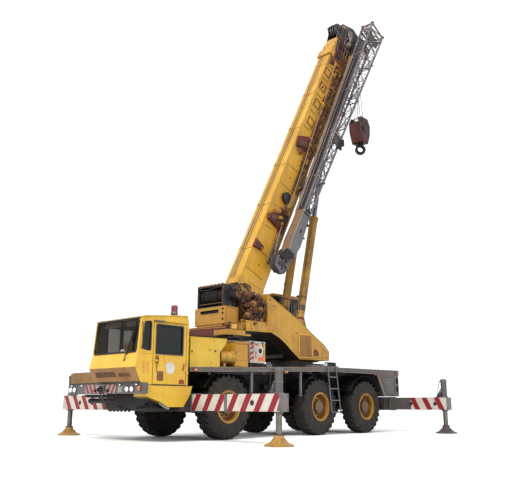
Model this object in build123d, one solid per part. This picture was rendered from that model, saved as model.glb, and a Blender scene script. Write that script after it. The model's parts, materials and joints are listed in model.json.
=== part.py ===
from build123d import *
import os
from math import sin, cos, radians, degrees, atan2, hypot

os.makedirs("parts", exist_ok=True)

# Three-axle mobile crane, millimetres. +X is forward (cab end), +Y is port, +Z up.
# Working stations along X are counted from a datum ahead of the middle axle; every
# solid is moved by -MID_X, -MID_Y at export, so that the origin lies under the middle of
# the crane's own box, on the ground. The working y = 0 is the carrier's middle plane; the
# box's middle is to port of it, because the port outriggers stand further out.
MID_X, MID_Y = -1218.0, 225.0

# ---- running gear ------------------------------------------------------------
TYRE_R, TYRE_W = 685.0, 375.0          # 14.00-25 single tyres
RIM_R, FLANGE_R = 317.0, 352.0
WHEEL_Y = 1050.0                       # middle plane of a tyre
AXLES = [("front", 1279.0), ("middle", -1940.0), ("rear", -3955.0)]   # name, x
KINGPIN_Y = 850.0
HALF_W = 1275.0                        # half the carrier's width
# ---- chassis, deck -----------------------------------------------------------
RAIL_Y0, RAIL_Y1, RAIL_Z0, RAIL_Z1 = 390.0, 500.0, 945.0, 1330.0
DECK_TOP = [(2450.0, 1480.0), (-2310.0, 1668.0), (-5600.0, 1700.0)]   # x, z of the deck's top line
DECK_T = 10.0
BUMPER_X, BUMPER_Z0, BUMPER_Z1 = 3640.0, 933.0, 1137.0
SLEW_X = -2200.0                       # slewing axis
SLEW_R = 620.0
# ---- outriggers: name, side, x, reach of the jack, beam's inner end, travel in, travel out
BEAM_W, BEAM_Z0, BEAM_Z1, BEAM_T = 250.0, 610.0, 930.0, 14.0
BEAMS = [("front_port", 1, 2220.0, 3500.0, 850.0, 2000.0, 0.0),
         ("front_starboard", -1, 2500.0, 3050.0, 400.0, 1550.0, 450.0),
         ("rear_port", 1, -5290.0, 2850.0, 200.0, 1350.0, 650.0),
         ("rear_starboard", -1, -5000.0, 1600.0, -1050.0, 100.0, 1900.0)]
FLOAT_R = 275.0
JACK_TOP = 1400.0
# ---- driver's cab --------------------------------------------------------------
CAB_Y0, CAB_Y1, CAB_T = -280.0, 1275.0, 28.0
DOOR_X0, DOOR_X1, DOOR_Z0, DOOR_Z1 = 2560.0, 3415.0, 1110.0, 2345.0
GAP = 6.0
# ---- superstructure ------------------------------------------------------------
FRAME_Y0, FRAME_Y1 = 440.0, 800.0      # port side frame, inner and outer face
PIVOT = (-600.0, 3150.0)               # boom foot pin, x and z
LIFT_FOOT = (-2120.0, 2250.0)          # lift cylinder foot pin, x and z
LIFT_Y, BARREL_R, ROD_R = 300.0, 118.0, 70.0
# ---- boom ------------------------------------------------------------------------
LUFF = 62.8                            # boom's angle above level as stored
TOP0 = (250.0, 3300.0)                 # where the boom's top line starts, x and z
BOOM_HALF = 225.0
BASE_A0, BASE_A1 = 450.0, 9740.0       # the base section, counted along the boom


def box(x0, x1, y0, y1, z0, z1):
    return Solid.make_box(x1 - x0, y1 - y0, z1 - z0, Plane(origin=(x0, y0, z0)))


def cyl(axis, c, r, a, b):
    """round bar along X, Y or Z from a to b; c holds the two other coordinates"""
    if axis == "x":
        p = Plane(origin=(a, c[0], c[1]), z_dir=(1, 0, 0))
    elif axis == "y":
        p = Plane(origin=(c[0], a, c[1]), z_dir=(0, 1, 0))
    else:
        p = Plane(origin=(c[0], c[1], a), z_dir=(0, 0, 1))
    return Solid.make_cylinder(r, b - a, p)


def bar(p, q, r):
    p, q = Vector(*p), Vector(*q)
    return Solid.make_cylinder(r, (q - p).length, Plane(origin=p, z_dir=(q - p)))


def prism(pts, v):
    return Solid.extrude(Face(Wire.make_polygon([Vector(*p) for p in pts], close=True)), Vector(*v))


def xz(pts, y0, y1):
    return prism([(x, y0, z) for x, z in pts], (0, y1 - y0, 0))


def xy(pts, z0, z1):
    return prism([(x, y, z0) for x, y in pts], (0, 0, z1 - z0))


def yz(pts, x0, x1):
    return prism([(x0, y, z) for y, z in pts], (x1 - x0, 0, 0))


def one(shape):
    s = shape.solids() if hasattr(shape, "solids") else [shape]
    return s[0] if len(s) == 1 else shape


def fuse(*s):
    s = [i for i in s if i is not None]
    return one(s[0].fuse(*s[1:]).clean()) if len(s) > 1 else s[0]


def cut(a, *b):
    return one(a.cut(*b))


def spun(pts, x, y, z):
    """ring about the Y direction through x, z; pts are (radius, y)"""
    f = Face(Wire.make_polygon([Vector(x + r, y + s, z) for r, s in pts], close=True))
    return Solid.revolve(f, 360.0, Axis((x, y, z), (0, 1, 0)))


PARTS = {}


def emit(name, shape):
    shape = one(shape)
    n = len(shape.solids())
    PARTS[name] = shape
    export_step(shape.moved(Location((-MID_X, -MID_Y, 0))), "parts/%s.step" % name)
    b = shape.bounding_box()
    print("%-28s solids %d vol %.4f m3  x %.0f..%.0f y %.0f..%.0f z %.0f..%.0f" % (
        name, n, shape.volume / 1e9, b.min.X - MID_X, b.max.X - MID_X, b.min.Y - MID_Y, b.max.Y - MID_Y, b.min.Z, b.max.Z))


def deck_z(x):
    (x0, z0), (x1, z1), (x2, z2) = DECK_TOP
    if x > x1:
        return z1 + (z0 - z1) * (x - x1) / (x0 - x1)
    return z2 + (z1 - z2) * (x - x2) / (x1 - x2)


# ================= carrier =====================================================
def sleeve(side, x, inner):
    """outrigger sleeve across the chassis, open at its own side"""
    w, z0, z1, t, g = BEAM_W / 2, BEAM_Z0, BEAM_Z1, 12.0, 6.0
    y0, y1 = -inner, 1250.0
    o = box(x - w - g - t, x + w + g + t, y0 - 30, y1, z0 - g - t, z1 + g + t)
    i = box(x - w - g, x + w + g, y0, y1 + 1, z0 - g, z1 + g)
    s = cut(o, i)
    return s if side > 0 else s.mirror(Plane.XZ)


def chassis():
    rails = []
    for s in (-1, 1):
        y0, y1 = sorted((s * RAIL_Y0, s * RAIL_Y1))
        rails.append(box(-5560, 2450, y0, y1, RAIL_Z0, RAIL_Z1))
        rails.append(box(2440, 3350, y0, y1, RAIL_Z0, 1085))
    cross = [box(x, x + 120, -RAIL_Y0 - 5, RAIL_Y0 + 5, 1000, 1300) for x in
             (700, -150, -1000, -2940, -3560, -4500, -5560)]
    cross += [box(x, x + 120, -RAIL_Y0 - 5, RAIL_Y0 + 5, 955, 1080) for x in (3180, 2700)]
    # inner reach of each sleeve when its beam is in
    sl = [sleeve(sd, x, st - yin + 40) for _, sd, x, _, yin, st, _ in BEAMS]
    ring_base = cut(cyl("z", (SLEW_X, 0), SLEW_R, 1300, 1750), cyl("z", (SLEW_X, 0), SLEW_R - 40, 1290, 1760))
    bed = box(SLEW_X - 640, SLEW_X + 640, -RAIL_Y1, RAIL_Y1, 1300, 1340)
    # spring hangers over each axle
    hang = []
    for _, x in AXLES:
        for s in (-1, 1):
            for dx in (-430, 370):
                hang.append(box(x + dx, x + dx + 60, *sorted((s * 400, s * 490)), 860, 970))
    ring = cut(cyl("z", (SLEW_X, 0), SLEW_R + 10, 1745, 1800), cyl("z", (SLEW_X, 0), SLEW_R - 70, 1740, 1810))
    return fuse(*rails, *cross, *sl, ring_base, ring, bed, *hang)


def deck():
    t = DECK_T
    top = DECK_TOP + [(x, z - t) for x, z in reversed(DECK_TOP)]
    plate = xz(top, -HALF_W, HALF_W)
    band = DECK_TOP + [(-5600.0, 1570.0), (-2310.0, 1560.0), (2450.0, 1392.0)]
    bands = [xz(band, *sorted((s * (HALF_W - 12), s * HALF_W))) for s in (-1, 1)]
    posts = [box(x - 22, x + 22, *sorted((s * (HALF_W - 45), s * HALF_W)), 945, deck_z(x) - 5)
             for s in (-1, 1) for x in (600.0, -1130.0)]
    legs = []                                     # bearers between the rails and the plate
    for x0, x1 in ((-5560.0, -2900.0), (-1500.0, 1600.0)):
        for s in (-1, 1):
            legs.append(xz([(x0, RAIL_Z1), (x1, RAIL_Z1), (x1, deck_z(x1) - 5), (x0, deck_z(x0) - 5)], *sorted((s * 410, s * 480))))
    ends = [box(-5600, -5590, -HALF_W, HALF_W, 1575, 1695)]
    p = fuse(plate, *bands, *posts, *legs, *ends, rear_locker(1), rear_locker(-1))
    p = cut(p, cyl("z", (SLEW_X, 0), SLEW_R + 15, 1500, 1800),
            box(1610, 2436, -520, 520, 1300, 1600))
    return p


def rear_locker(s):
    """box hung under the deck at the tail, its front edge slanting with the wheel arch"""
    pts = [(-4530.0, 1565.0), (-5591.0, 1580.0), (-5591.0, 970.0), (-4860.0, 970.0)]
    o = xz(pts, 700, 1268)
    i = xz([(-4560.0, 1543.0), (-5573.0, 1548.0), (-5573.0, 982.0), (-4868.0, 982.0)], 712, 1256)
    b = cut(o, i)
    for z0, z1 in ((1320, 1480), (1100, 1250)):
        b = cut(b, box(-5560, -5440, 1240, 1280, z0, z1))
    return one(b if s > 0 else b.mirror(Plane.XZ))


def bumper():
    o = box(3540, BUMPER_X, -1300, 1300, BUMPER_Z0, BUMPER_Z1)
    i = box(3530, BUMPER_X - 10, -1290, 1290, BUMPER_Z0 + 10, BUMPER_Z1 - 10)
    arms = [box(3351, 3631, *sorted((s * 400, s * 490)), 962, 1085) for s in (-1, 1)]
    hook = box(3640, 3670, -40, 40, 960, 1080)
    return fuse(cut(o, i), *arms, hook)


def cowl():
    o = xz([(2520.0, 1385.0), (3590.0, 1385.0), (3640.0, 1370.0), (3640.0, 1143.0), (2520.0, 1143.0)], -HALF_W, CAB_Y0 - 4)
    i = xz([(2532.0, 1375.0), (3588.0, 1375.0), (3630.0, 1362.0), (3630.0, 1142.0), (2532.0, 1142.0)], -HALF_W + 10, CAB_Y0 - 14)
    return cut(o, i)


CAB_OUT = [(2500.0, 1100.0), (2500.0, 2410.0), (2560.0, 2530.0), (3630.0, 2440.0), (3715.0, 2400.0),
           (3780.0, 1680.0), (3840.0, 1440.0), (3690.0, 1155.0), (3675.0, 1141.0), (3530.0, 1141.0), (3530.0, 1100.0)]
CAB_IN = [(2528.0, 1128.0), (2528.0, 2402.0), (2576.0, 2501.0), (3624.0, 2413.0), (3689.0, 2382.0),
          (3752.0, 1677.0), (3811.0, 1443.0), (3668.0, 1176.0), (3662.0, 1169.0), (3502.0, 1169.0), (3502.0, 1128.0)]
# the windscreen lies on the slanting face between these two stations
WS_TOP, WS_BOT = (3715.0, 2400.0), (3780.0, 1680.0)


def ws_x(z):
    return WS_BOT[0] + (WS_TOP[0] - WS_BOT[0]) * (z - WS_BOT[1]) / (WS_TOP[1] - WS_BOT[1])


QUARTER = [(3480.0, 1760.0), (3690.0, 1790.0), (3640.0, 2310.0), (3480.0, 2330.0)]


def cab():
    s = cut(xz(CAB_OUT, CAB_Y0, CAB_Y1), xz(CAB_IN, CAB_Y0 + CAB_T, CAB_Y1 - CAB_T))
    wins = [box(3640, 3900, CAB_Y0 + 60, CAB_Y1 - 70, 1720, 2375),                  # windscreen
            box(DOOR_X0 - GAP, DOOR_X1 + GAP, CAB_Y1 - 60, CAB_Y1 + 5, DOOR_Z0 - GAP, DOOR_Z1 + GAP),
            xz(QUARTER, CAB_Y1 - 60, CAB_Y1 + 5),
            box(2480, 2540, CAB_Y0 + 200, CAB_Y1 - 200, 1800, 2300),                # rear window
            box(2700, 3500, CAB_Y0 - 5, CAB_Y0 + 60, 1760, 2320)]                   # starboard window
    return fuse(cut(s, *wins), cab_skirt(), *knuckles(CAB_HINGE, 1, -1, 0))


def cab_skirt():
    pts = [(3530.0, 1101.0), (3530.0, 880.0), (3200.0, 780.0), (2980.0, 680.0), (2600.0, 680.0), (2430.0, 920.0),
           (2370.0, 1101.0)]
    ins = [(3518.0, 1105.0), (3518.0, 888.0), (3197.0, 792.0), (2976.0, 692.0), (2607.0, 692.0), (2441.0, 924.0),
           (2383.0, 1105.0)]
    # shallow over the outrigger sleeve, deeper ahead of it
    return cut(xz(pts, 860, CAB_Y1), xz(ins, 850, CAB_Y1 - 12), box(2300, 2652, 800, 1226, 500, 1101))


CAB_HINGE = (2553.0, 1285.0, (1330.0, 2200.0))       # x, y and the heights of a door's hinges
OC_HINGE = (-2093.0, -1275.0, (2200.0, 3300.0))


def knuckles(hinge, out, way, half):
    """one leaf and barrel of each lift-off hinge; out is the side it stands on, way its leaf's direction"""
    x, y, heights = hinge
    s = []
    for z in heights:
        a, b = (z, z + 55) if half == 0 else (z + 56, z + 111)
        s.append(cyl("z", (x, y), 9, a, b))
        s.append(box(*sorted((x + way * 4, x + way * 60)), *sorted((y - out * 10.5, y - out * 3)), a + 4, b - 4))
    return s


def cab_door():
    d = box(DOOR_X0, DOOR_X1, CAB_Y1 - CAB_T, CAB_Y1, DOOR_Z0, DOOR_Z1)
    d = cut(d, box(DOOR_X0 + 25, DOOR_X1 - 30, CAB_Y1 - CAB_T - 5, CAB_Y1 - 8, DOOR_Z0 + 25, 1660),
            box(DOOR_X0 + 90, DOOR_X1 - 60, CAB_Y1 - 60, CAB_Y1 + 5, 1700, DOOR_Z1 - 60))
    return fuse(d, box(DOOR_X1 - 120, DOOR_X1 - 30, CAB_Y1 - 1, CAB_Y1 + 22, 1560, 1590), *knuckles(CAB_HINGE, 1, 1, 1))


def windscreen():
    z0, z1 = 1723.0, 2372.0
    return xz([(ws_x(z0) - 22, z0), (ws_x(z1) - 22, z1), (ws_x(z1) - 14, z1), (ws_x(z0) - 14, z0)],
              CAB_Y0 + 63, CAB_Y1 - 73)


def seat(x, y, z):
    return fuse(box(x - 230, x + 230, y - 240, y + 240, z + 250, z + 370),
                box(x - 290, x - 180, y - 220, y + 220, z + 340, z + 960),
                box(x - 150, x + 150, y - 150, y + 150, z, z + 260))


def steering_wheel():
    x, y, z = 3330.0, 900.0, 1780.0
    tilt = Location((x, y, z), (0, -35, 0))
    rim = Solid.make_torus(225, 16, Plane(origin=(0, 0, 0), z_dir=(0, 0, 1)))
    spokes = [Solid.make_box(440, 24, 14, Plane(origin=(-220, -12, -7))), Solid.make_box(24, 440, 14, Plane(origin=(-12, -220, -7)))]
    col = Solid.make_cylinder(32, 600, Plane(origin=(0, 0, -600), z_dir=(0, 0, 1)))
    w = fuse(rim, *spokes, col).moved(tilt)
    dash = xz([(3540.0, 1420.0), (3700.0, 1446.0), (3808.0, 1446.0), (3770.0, 1600.0), (3540.0, 1600.0)], -240, 1240)
    return fuse(w, dash)


def engine_cover():
    z0, z1, z2 = deck_z(1600) + 1, 2105.0, 2130.0
    zf = deck_z(2440)
    o = xz([(2440.0, zf), (2440.0, z1), (1380.0, z2), (1420.0, 2020.0), (1560.0, 1870.0), (1600.0, 1830.0), (1600.0, deck_z(1600))], -1240, 1268)
    i = xz([(2432.0, zf - 20), (2432.0, z1 - 8), (1396.0, z2 - 8), (1430.0, 2022.0), (1568.0, 1872.0), (1608.0, 1830.0), (1608.0, deck_z(1600) - 20)], -1232, 1260)
    return cut(o, i)


def engine():
    return box(1625, 2415, -360, 360, 1010, 1990)


def air_cleaner():
    a = fuse(cyl("x", (1110, 1740), 145, 1180, 1525), cyl("x", (1110, 1740), 160, 1120, 1180),
             box(1330, 1400, 1040, 1180, deck_z(1330) + 1, 1640))
    return a


def side_box():
    b = fuse(box(700, 1108, 660, 1250, deck_z(700) + 2, 2080), box(1112 - 4, 1300, 660, 940, deck_z(1112) + 40, 2090))
    return cut(b, box(715, 1095, 675, 1235, deck_z(700) + 16, 2066))


def battery_box():
    o = box(150, 660, 640, 1262, 1668, 2130)
    return fuse(cut(o, box(162, 648, 652, 1250, 1680, 2118)), box(180, 230, 680, 1230, deck_z(200) + 3, 1668),
                box(580, 630, 680, 1230, deck_z(560) + 3, 1668))


def fuel_tank():
    o = box(-780, 180, -1230, -760, 520, 1180)
    return fuse(cut(o, box(-768, 168, -1218, -772, 532, 1168)), box(-700, -640, -770, -500.5, 1080, 1150), box(40, 100, -770, -500.5, 1080, 1150))


def gearbox():
    return fuse(box(-420, 420, -230, 230, 460, 900), cyl("x", (0, 700), 160, 420, 760), cyl("x", (0, 700), 60, -1688, -420),
                box(-300, 300, -200, 200, 890, 940))


def ladder():
    rails = [bar((-2180, 1300, 1700), (-2310, 1300, 530), 18), bar((-2520, 1300, 1700), (-2690, 1300, 530), 18)]
    rungs = []
    for k in range(4):
        z = 1420 - k * 290
        t = (1700 - z) / 1170.0
        rungs.append(box(-2520 - 170 * t, -2180 - 130 * t, 1284, 1330, z - 14, z + 14))
    hooks = [box(x - 16, x + 16, 1276, 1310, 1610, 1650) for x in (-2188, -2532)]
    return fuse(*rails, *rungs, *hooks)


def axle(name, x):
    if name == "front":
        return fuse(cut(box(x - 60, x + 60, -800, 800, 602, 720), box(x - 100, x - 25, -690, 690, 620, 700), box(x + 25, x + 100, -690, 690, 620, 700)),
                    *[cut(cyl("z", (x, s * KINGPIN_Y), 62, 602, 720), cyl("z", (x, s * KINGPIN_Y), 32, 590, 740)) for s in (-1, 1)],
                    *[box(x - 45, x + 45, *sorted((s * 400, s * 490)), 715, 944.5) for s in (-1, 1)])
    shaft = [cyl("x", (0, 700), 55, x + 200, AXLES[1][1] - 252)] if name == "rear" else []
    return fuse(cyl("y", (x, TYRE_R), 85, -985, 985), cyl("y", (x, TYRE_R), 71.95, -1190, 1190), *shaft, Solid.make_sphere(250, Plane(origin=(x, 0, TYRE_R)), -90, 90, 360),
                *[box(x - 50, x + 50, *sorted((s * 400, s * 490)), 700, 944.5) for s in (-1, 1)])


def knuckle(s):
    x = AXLES[0][1]
    k = fuse(box(x - 60, x + 60, 806, 930, 728, 758), box(x - 60, x + 60, 806, 930, 565, 594), box(x - 60, x + 60, 918, 946, 565, 758),
             cyl("z", (x, KINGPIN_Y), 31.95, 580, 745), cyl("y", (x, TYRE_R), 71.95, 940, 1190), cyl("y", (x, TYRE_R), 95, 940, 975),
             box(x - 230, x - 50, 806, 846, 565, 590))
    return one(k if s > 0 else k.mirror(Plane.XZ))


def tyre(x, s):
    R, W, r = TYRE_R, TYRE_W / 2, RIM_R + 1.0
    out = [(r, -170), (365, -W + 4), (480, -W), (620, -W + 10), (R - 12, -160), (R, -120), (R, 120), (R - 12, 160), (620, W - 10), (480, W),
           (365, W - 4), (r, 170), (r, 140), (380, 150), (600, 150), (640, 120), (640, -120), (600, -150), (380, -150), (r, -140)]
    return spun(out, x, s * WHEEL_Y, R)


def rim(x, s):
    R = RIM_R
    prof = [(R, -171), (R, 171), (FLANGE_R, 183), (FLANGE_R, 192), (R - 14, 184), (R - 14, 60), (240, 30), (140, 40), (140, 150), (90, 158), (72, 158),
            (72, -60), (140, -60), (140, 20), (240, 10), (R - 14, 30), (R - 14, -184), (FLANGE_R, -192), (FLANGE_R, -183)]
    if s < 0:
        prof = [(r, -y) for r, y in prof]
    return spun(prof, x, s * WHEEL_Y, TYRE_R)


def outrigger_beam(side, x, reach, inner):
    w, z0, z1, t = BEAM_W / 2, BEAM_Z0, BEAM_Z1, BEAM_T
    o = box(x - w, x + w, inner, reach + 125, z0, z1)
    i = box(x - w + t, x + w - t, inner - 1, reach - 80, z0 + t, z1 - t)
    col = cyl("z", (x, reach), 78, z0 - 30, JACK_TOP)
    bore = cyl("z", (x, reach), 60.5, z0 - 40, JACK_TOP - 20)
    b = cut(fuse(cut(o, i), col), bore)
    return one(b if side > 0 else b.mirror(Plane.XZ))


def jack(side, x, reach):
    rod = cyl("z", (x, reach), 60, 90, 940)
    foot = Solid.revolve(Face(Wire.make_polygon([Vector(x, reach, 0), Vector(x + FLOAT_R, reach, 0), Vector(x + FLOAT_R, reach, 22),
                                                 Vector(x + 150, reach, 70), Vector(x + 92, reach, 130), Vector(x + 92, reach, 200),
                                                 Vector(x, reach, 200)], close=True)), 360.0, Axis((x, reach, 0), (0, 0, 1)))
    b = fuse(rod, foot)
    return one(b if side > 0 else b.mirror(Plane.XZ))


# ================= superstructure ==============================================
SIDE = [(-450.0, 3400.0), (-1480.0, 2930.0), (-1760.0, 2810.0), (-1940.0, 2690.0), (-2240.0, 2520.0), (-2690.0, 2290.0), (-2910.0, 2110.0),
        (-2890.0, 1880.0), (-1660.0, 1860.0), (-1360.0, 2050.0), (-1120.0, 2220.0), (-880.0, 2350.0), (-560.0, 2465.0), (-450.0, 2475.0)]
SIDE_IN = [(-474.0, 3360.0), (-1472.0, 2904.0), (-1746.0, 2786.0), (-1926.0, 2666.0), (-2226.0, 2496.0), (-2672.0, 2270.0), (-2884.0, 2100.0),
           (-2866.0, 1906.0), (-1668.0, 1886.0), (-1376.0, 2072.0), (-1132.0, 2242.0), (-892.0, 2374.0), (-566.0, 2490.0), (-474.0, 2498.0)]


def turntable():
    port = cut(xz(SIDE, FRAME_Y0, FRAME_Y1), xz(SIDE_IN, FRAME_Y0 + 16, FRAME_Y1 - 16))
    star = xz(SIDE, -480, -FRAME_Y0)
    port_block = xz([(-450.0, 3400.0), (-1000.0, 3150.0), (-1000.0, 2480.0), (-450.0, 2475.0)], 260, FRAME_Y0 + 1)
    star_block = xz([(-450.0, 3400.0), (-1000.0, 3150.0), (-1000.0, 2480.0), (-450.0, 2475.0)], -FRAME_Y0 - 1, -260)
    cheeks = [xz([(-451.0, 3400.0), (-451.0, 2475.0), (100.0, 2475.0), (100.0, 2700.0), (-180.0, 3300.0)], *y) for y in ((300, 340), (-340, -300))]
    cheeks += [box(-500, -440, 260, 341, 2480, 3395), box(-500, -440, -341, -260, 2480, 3395)]
    floor = xz([(-2890.0, 1862.0), (-1662.0, 1862.0), (-1362.0, 2052.0), (-1122.0, 2222.0), (-882.0, 2352.0), (-562.0, 2467.0), (760.0, 2540.0),
                (760.0, 2570.0), (-566.0, 2497.0), (-892.0, 2382.0), (-1136.0, 2252.0), (-1376.0, 2082.0), (-1668.0, 1892.0), (-2890.0, 1892.0)], -445, 445)
    ring = cut(cyl("z", (SLEW_X, 0), SLEW_R - 5, 1804, 1866), cyl("z", (SLEW_X, 0), SLEW_R - 90, 1800, 1870))
    flange = xz([(310.0, 2430.0), (-560.0, 2450.0), (-560.0, 2690.0), (310.0, 2680.0)], 345, FRAME_Y1)
    flange = cut(flange, xz([(330.0, 2445.0), (-440.0, 2462.0), (-440.0, 2675.0), (330.0, 2668.0)], 360, FRAME_Y1 - 14))
    link = box(-440, 300, 340, 350, 2470, 2640)
    nose = box(-2870, -2840, -445, 445, 1890, 2120)
    shafts = [cyl("y", PIVOT, 60, -345, 345), cyl("y", LIFT_FOOT, 45, -445, 445)]
    tank = fuse(cut(box(330, 880, 300, 790, 2300, 2428), box(342, 868, 312, 778, 2312, 2416)), box(290, 332, 400, 700, 2400, 2470))
    t = fuse(tank, port, star, port_block, star_block, *cheeks, floor, ring, flange, link, nose, *shafts)
    return t


def counterweight():
    b = box(320, 760, -520, 550, 2580, 3002)
    b = cut(b, box(700, 770, -330, 330, 2850, 2935))
    return b


def winch():
    side = [box(150, 740, y, y + 25, 3006, 3560) for y in (-460, 400)]
    drum = cyl("y", (440, 3300), 150, -440, 410)
    rope = cyl("y", (440, 3300), 215, -380, 340)
    flg = [cyl("y", (440, 3300), 245, y, y + 20) for y in (-400, 340)]
    base = box(150, 740, -450, 410, 3004, 3030)
    motor = cyl("y", (440, 3300), 110, 424, 640)
    return fuse(*side, drum, rope, *flg, base, motor)


def valve_unit():
    return fuse(box(-380, 120, 360, 700, 2700, 2980), cyl("x", (560, 3080), 95, -330, 80), cyl("x", (500, 3240), 60, -300, 60),
                box(-260, -60, 400, 680, 2960, 3200))


OC_Y0, OC_Y1 = -1265.0, -500.0
OC_OUT = [(-1990.0, 1960.0), (-1990.0, 3700.0), (-2080.0, 3760.0), (-3180.0, 3780.0), (-3290.0, 3720.0), (-3620.0, 2800.0), (-3620.0, 1960.0)]
OC_IN = [(-2016.0, 1986.0), (-2016.0, 3686.0), (-2088.0, 3734.0), (-3172.0, 3754.0), (-3266.0, 3702.0), (-3594.0, 2796.0), (-3594.0, 1986.0)]


def operator_cab():
    s = cut(xz(OC_OUT, OC_Y0, OC_Y1), xz(OC_IN, OC_Y0 + 26, OC_Y1 - 26))
    s = cut(s, xz([(-2960.0, 2500.0), (-3500.0, 2500.0), (-3540.0, 2780.0), (-3240.0, 3640.0), (-2960.0, 3640.0)], OC_Y1 - 60, OC_Y1 + 5),   # boom side
            box(-2860, -2080, OC_Y1 - 60, OC_Y1 + 5, 2700, 3640),
            box(-3900, -3240, OC_Y0 + 60, OC_Y1 - 60, 2460, 3640),
            box(-2030, -1980, OC_Y0 + 120, OC_Y1 - 120, 2800, 3500),
            box(-3006, -2094, OC_Y0 - 5, OC_Y0 + 60, 2014, 3646))
    return fuse(s, *knuckles(OC_HINGE, -1, 1, 0))


def operator_door():
    d = box(-3000, -2100, OC_Y0, OC_Y0 + 26, 2020, 3640)
    return fuse(cut(d, box(-2940, -2160, OC_Y0 - 5, OC_Y0 + 40, 2720, 3580)), *knuckles(OC_HINGE, -1, -1, 1))


# ================= boom ========================================================
UX, UZ = -cos(radians(LUFF)), sin(radians(LUFF))      # along the boom
NX, NZ = -sin(radians(LUFF)), -cos(radians(LUFF))     # from its top face to its underside


def bp(a, d):
    return (TOP0[0] + UX * a + NX * d, TOP0[1] + UZ * a + NZ * d)


def bpoly(pts, y0, y1):
    return xz([bp(a, d) for a, d in pts], y0, y1)


def brect(a0, a1, d0, d1, y0, y1):
    return bpoly([(a0, d0), (a1, d0), (a1, d1), (a0, d1)], y0, y1)


def bcyl(a, d, r, y0, y1):
    return cyl("y", bp(a, d), r, y0, y1)


dx_, dz_ = PIVOT[0] - TOP0[0], PIVOT[1] - TOP0[1]
PIV_A, PIV_D = dx_ * UX + dz_ * UZ, dx_ * NX + dz_ * NZ
ROD_A, ROD_D = 6050.0, 1110.0          # lift rods' pin on the boom
SHEAVE_R = 220.0
TOP_SHEAVE, LOW_SHEAVE = (10760.0, 40.0), (11150.0, 1000.0)    # along, depth

# telescopic tubes: name, half width, depth from, depth to, wall, start, end, collar start, collar end, collar rise
TUBES = [("boom_base", BOOM_HALF, 0.0, 900.0, 10.0, BASE_A0, BASE_A1, 9440.0, 9740.0, 50.0),
         ("boom_section_2", 201.0, 28.0, 872.0, 9.0, 900.0, 10050.0, 9790.0, 10050.0, 34.0),
         ("boom_section_3", 178.0, 54.0, 846.0, 8.0, 1150.0, 10340.0, 10100.0, 10340.0, 30.0)]


def tube(hw, d0, d1, t, a0, a1, c0, c1, rise):
    o = brect(a0, a1, d0, d1, -hw, hw)
    col = brect(c0, c1, d0 - rise, d1 + rise, -hw - rise * 0.8, hw + rise * 0.8)
    return fuse(o, col), brect(a0 - 5, a1 + 5, d0 + t, d1 - t, -hw + t, hw - t)


def boom_base():
    _, hw, d0, d1, t, a0, a1, c0, c1, rise = TUBES[0]
    o, i = tube(hw, d0, d1, t, a0, a1, c0, c1, rise)
    foot = bpoly([(a0, 60), (a0 + 400, 60), (a0 + 400, 900), (a0 + 300, 940), (300, 965), (165, 945), (105, 880), (100, 755), (180, 640), (340, 440)], -hw, hw)
    inner = brect(a0 + 250, a1 + 5, d0 + t, d1 - t, -hw + t, hw - t)
    foot_void = bpoly([(a0 + 12, 80), (a0 + 260, 80), (a0 + 260, 880), (a0 + 200, 915), (310, 938), (185, 920), (135, 865), (132, 765), (210, 662), (372, 456)], -hw + 24, hw - 24)
    b = cut(fuse(o, foot), inner, foot_void, bcyl(PIV_A, PIV_D, 60.05, -hw - 5, hw + 5))
    # brackets that carry the stowed jib
    hold = [brect(a, a + 120, jib_frame(a)[0][1] - 60, jib_frame(a)[0][1] + 60, hw - 5, jib_frame(a)[0][0] - JIB_CHORD - 1) for a in (4200.0, 9000.0)]
    # lift rod bracket under the boom
    br = [bpoly([(ROD_A - 420, 895), (ROD_A + 300, 895), (ROD_A + 120, ROD_D + 90), (ROD_A - 120, ROD_D + 90)], y, y + 30) for y in (-200, 170)]
    pin = bcyl(ROD_A, ROD_D, 50, -215, 215)
    return fuse(b, *br, pin, *hold)


def boom_section(k):
    _, hw, d0, d1, t, a0, a1, c0, c1, rise = TUBES[k]
    o, i = tube(hw, d0, d1, t, a0, a1, c0, c1, rise)
    return cut(o, i)


def boom_head():
    side = [(10341, 20), (10800, -60), (11080, 60), (11420, 560), (11400, 1000), (11220, 1160), (10980, 1150), (10700, 1060), (10341, 880)]
    pl = [bpoly(side, y, y + 16) for y in (-196, 180)]
    back = bpoly([(10341, 20), (10371, 20), (10371, 880), (10341, 880)], -196, 196)
    under = bpoly([(10341, 850), (10700, 1030), (10700, 1056), (10341, 880)], -196, 196)
    pins = [bcyl(*TOP_SHEAVE, 45, -185, 185), bcyl(*LOW_SHEAVE, 40, -185, 185), bcyl(*TOP_SHEAVE, 80, -150, 156)]
    pins += [bcyl(*TOP_SHEAVE, SHEAVE_R, y, y + 46) for y in (-150, -60, 30, 110)]
    cross = bpoly([(11180, 330), (11220, 330), (11220, 480), (11180, 480)], -185, 185)
    return fuse(*pl, back, under, *pins, cross)


FALLS_Y = [-140.0, -45.0, 50.0, 140.0]


def low_sheaves():
    s = [bcyl(*LOW_SHEAVE, 200, y - 20, y + 20) for y in FALLS_Y]
    hub = bcyl(*LOW_SHEAVE, 75, -160, 170)
    return cut(fuse(*s, hub), bcyl(*LOW_SHEAVE, 40.05, -200, 200))


HOOK_X = bp(*LOW_SHEAVE)[0] - 195.0
BLOCK_Z = 9640.0


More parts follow.
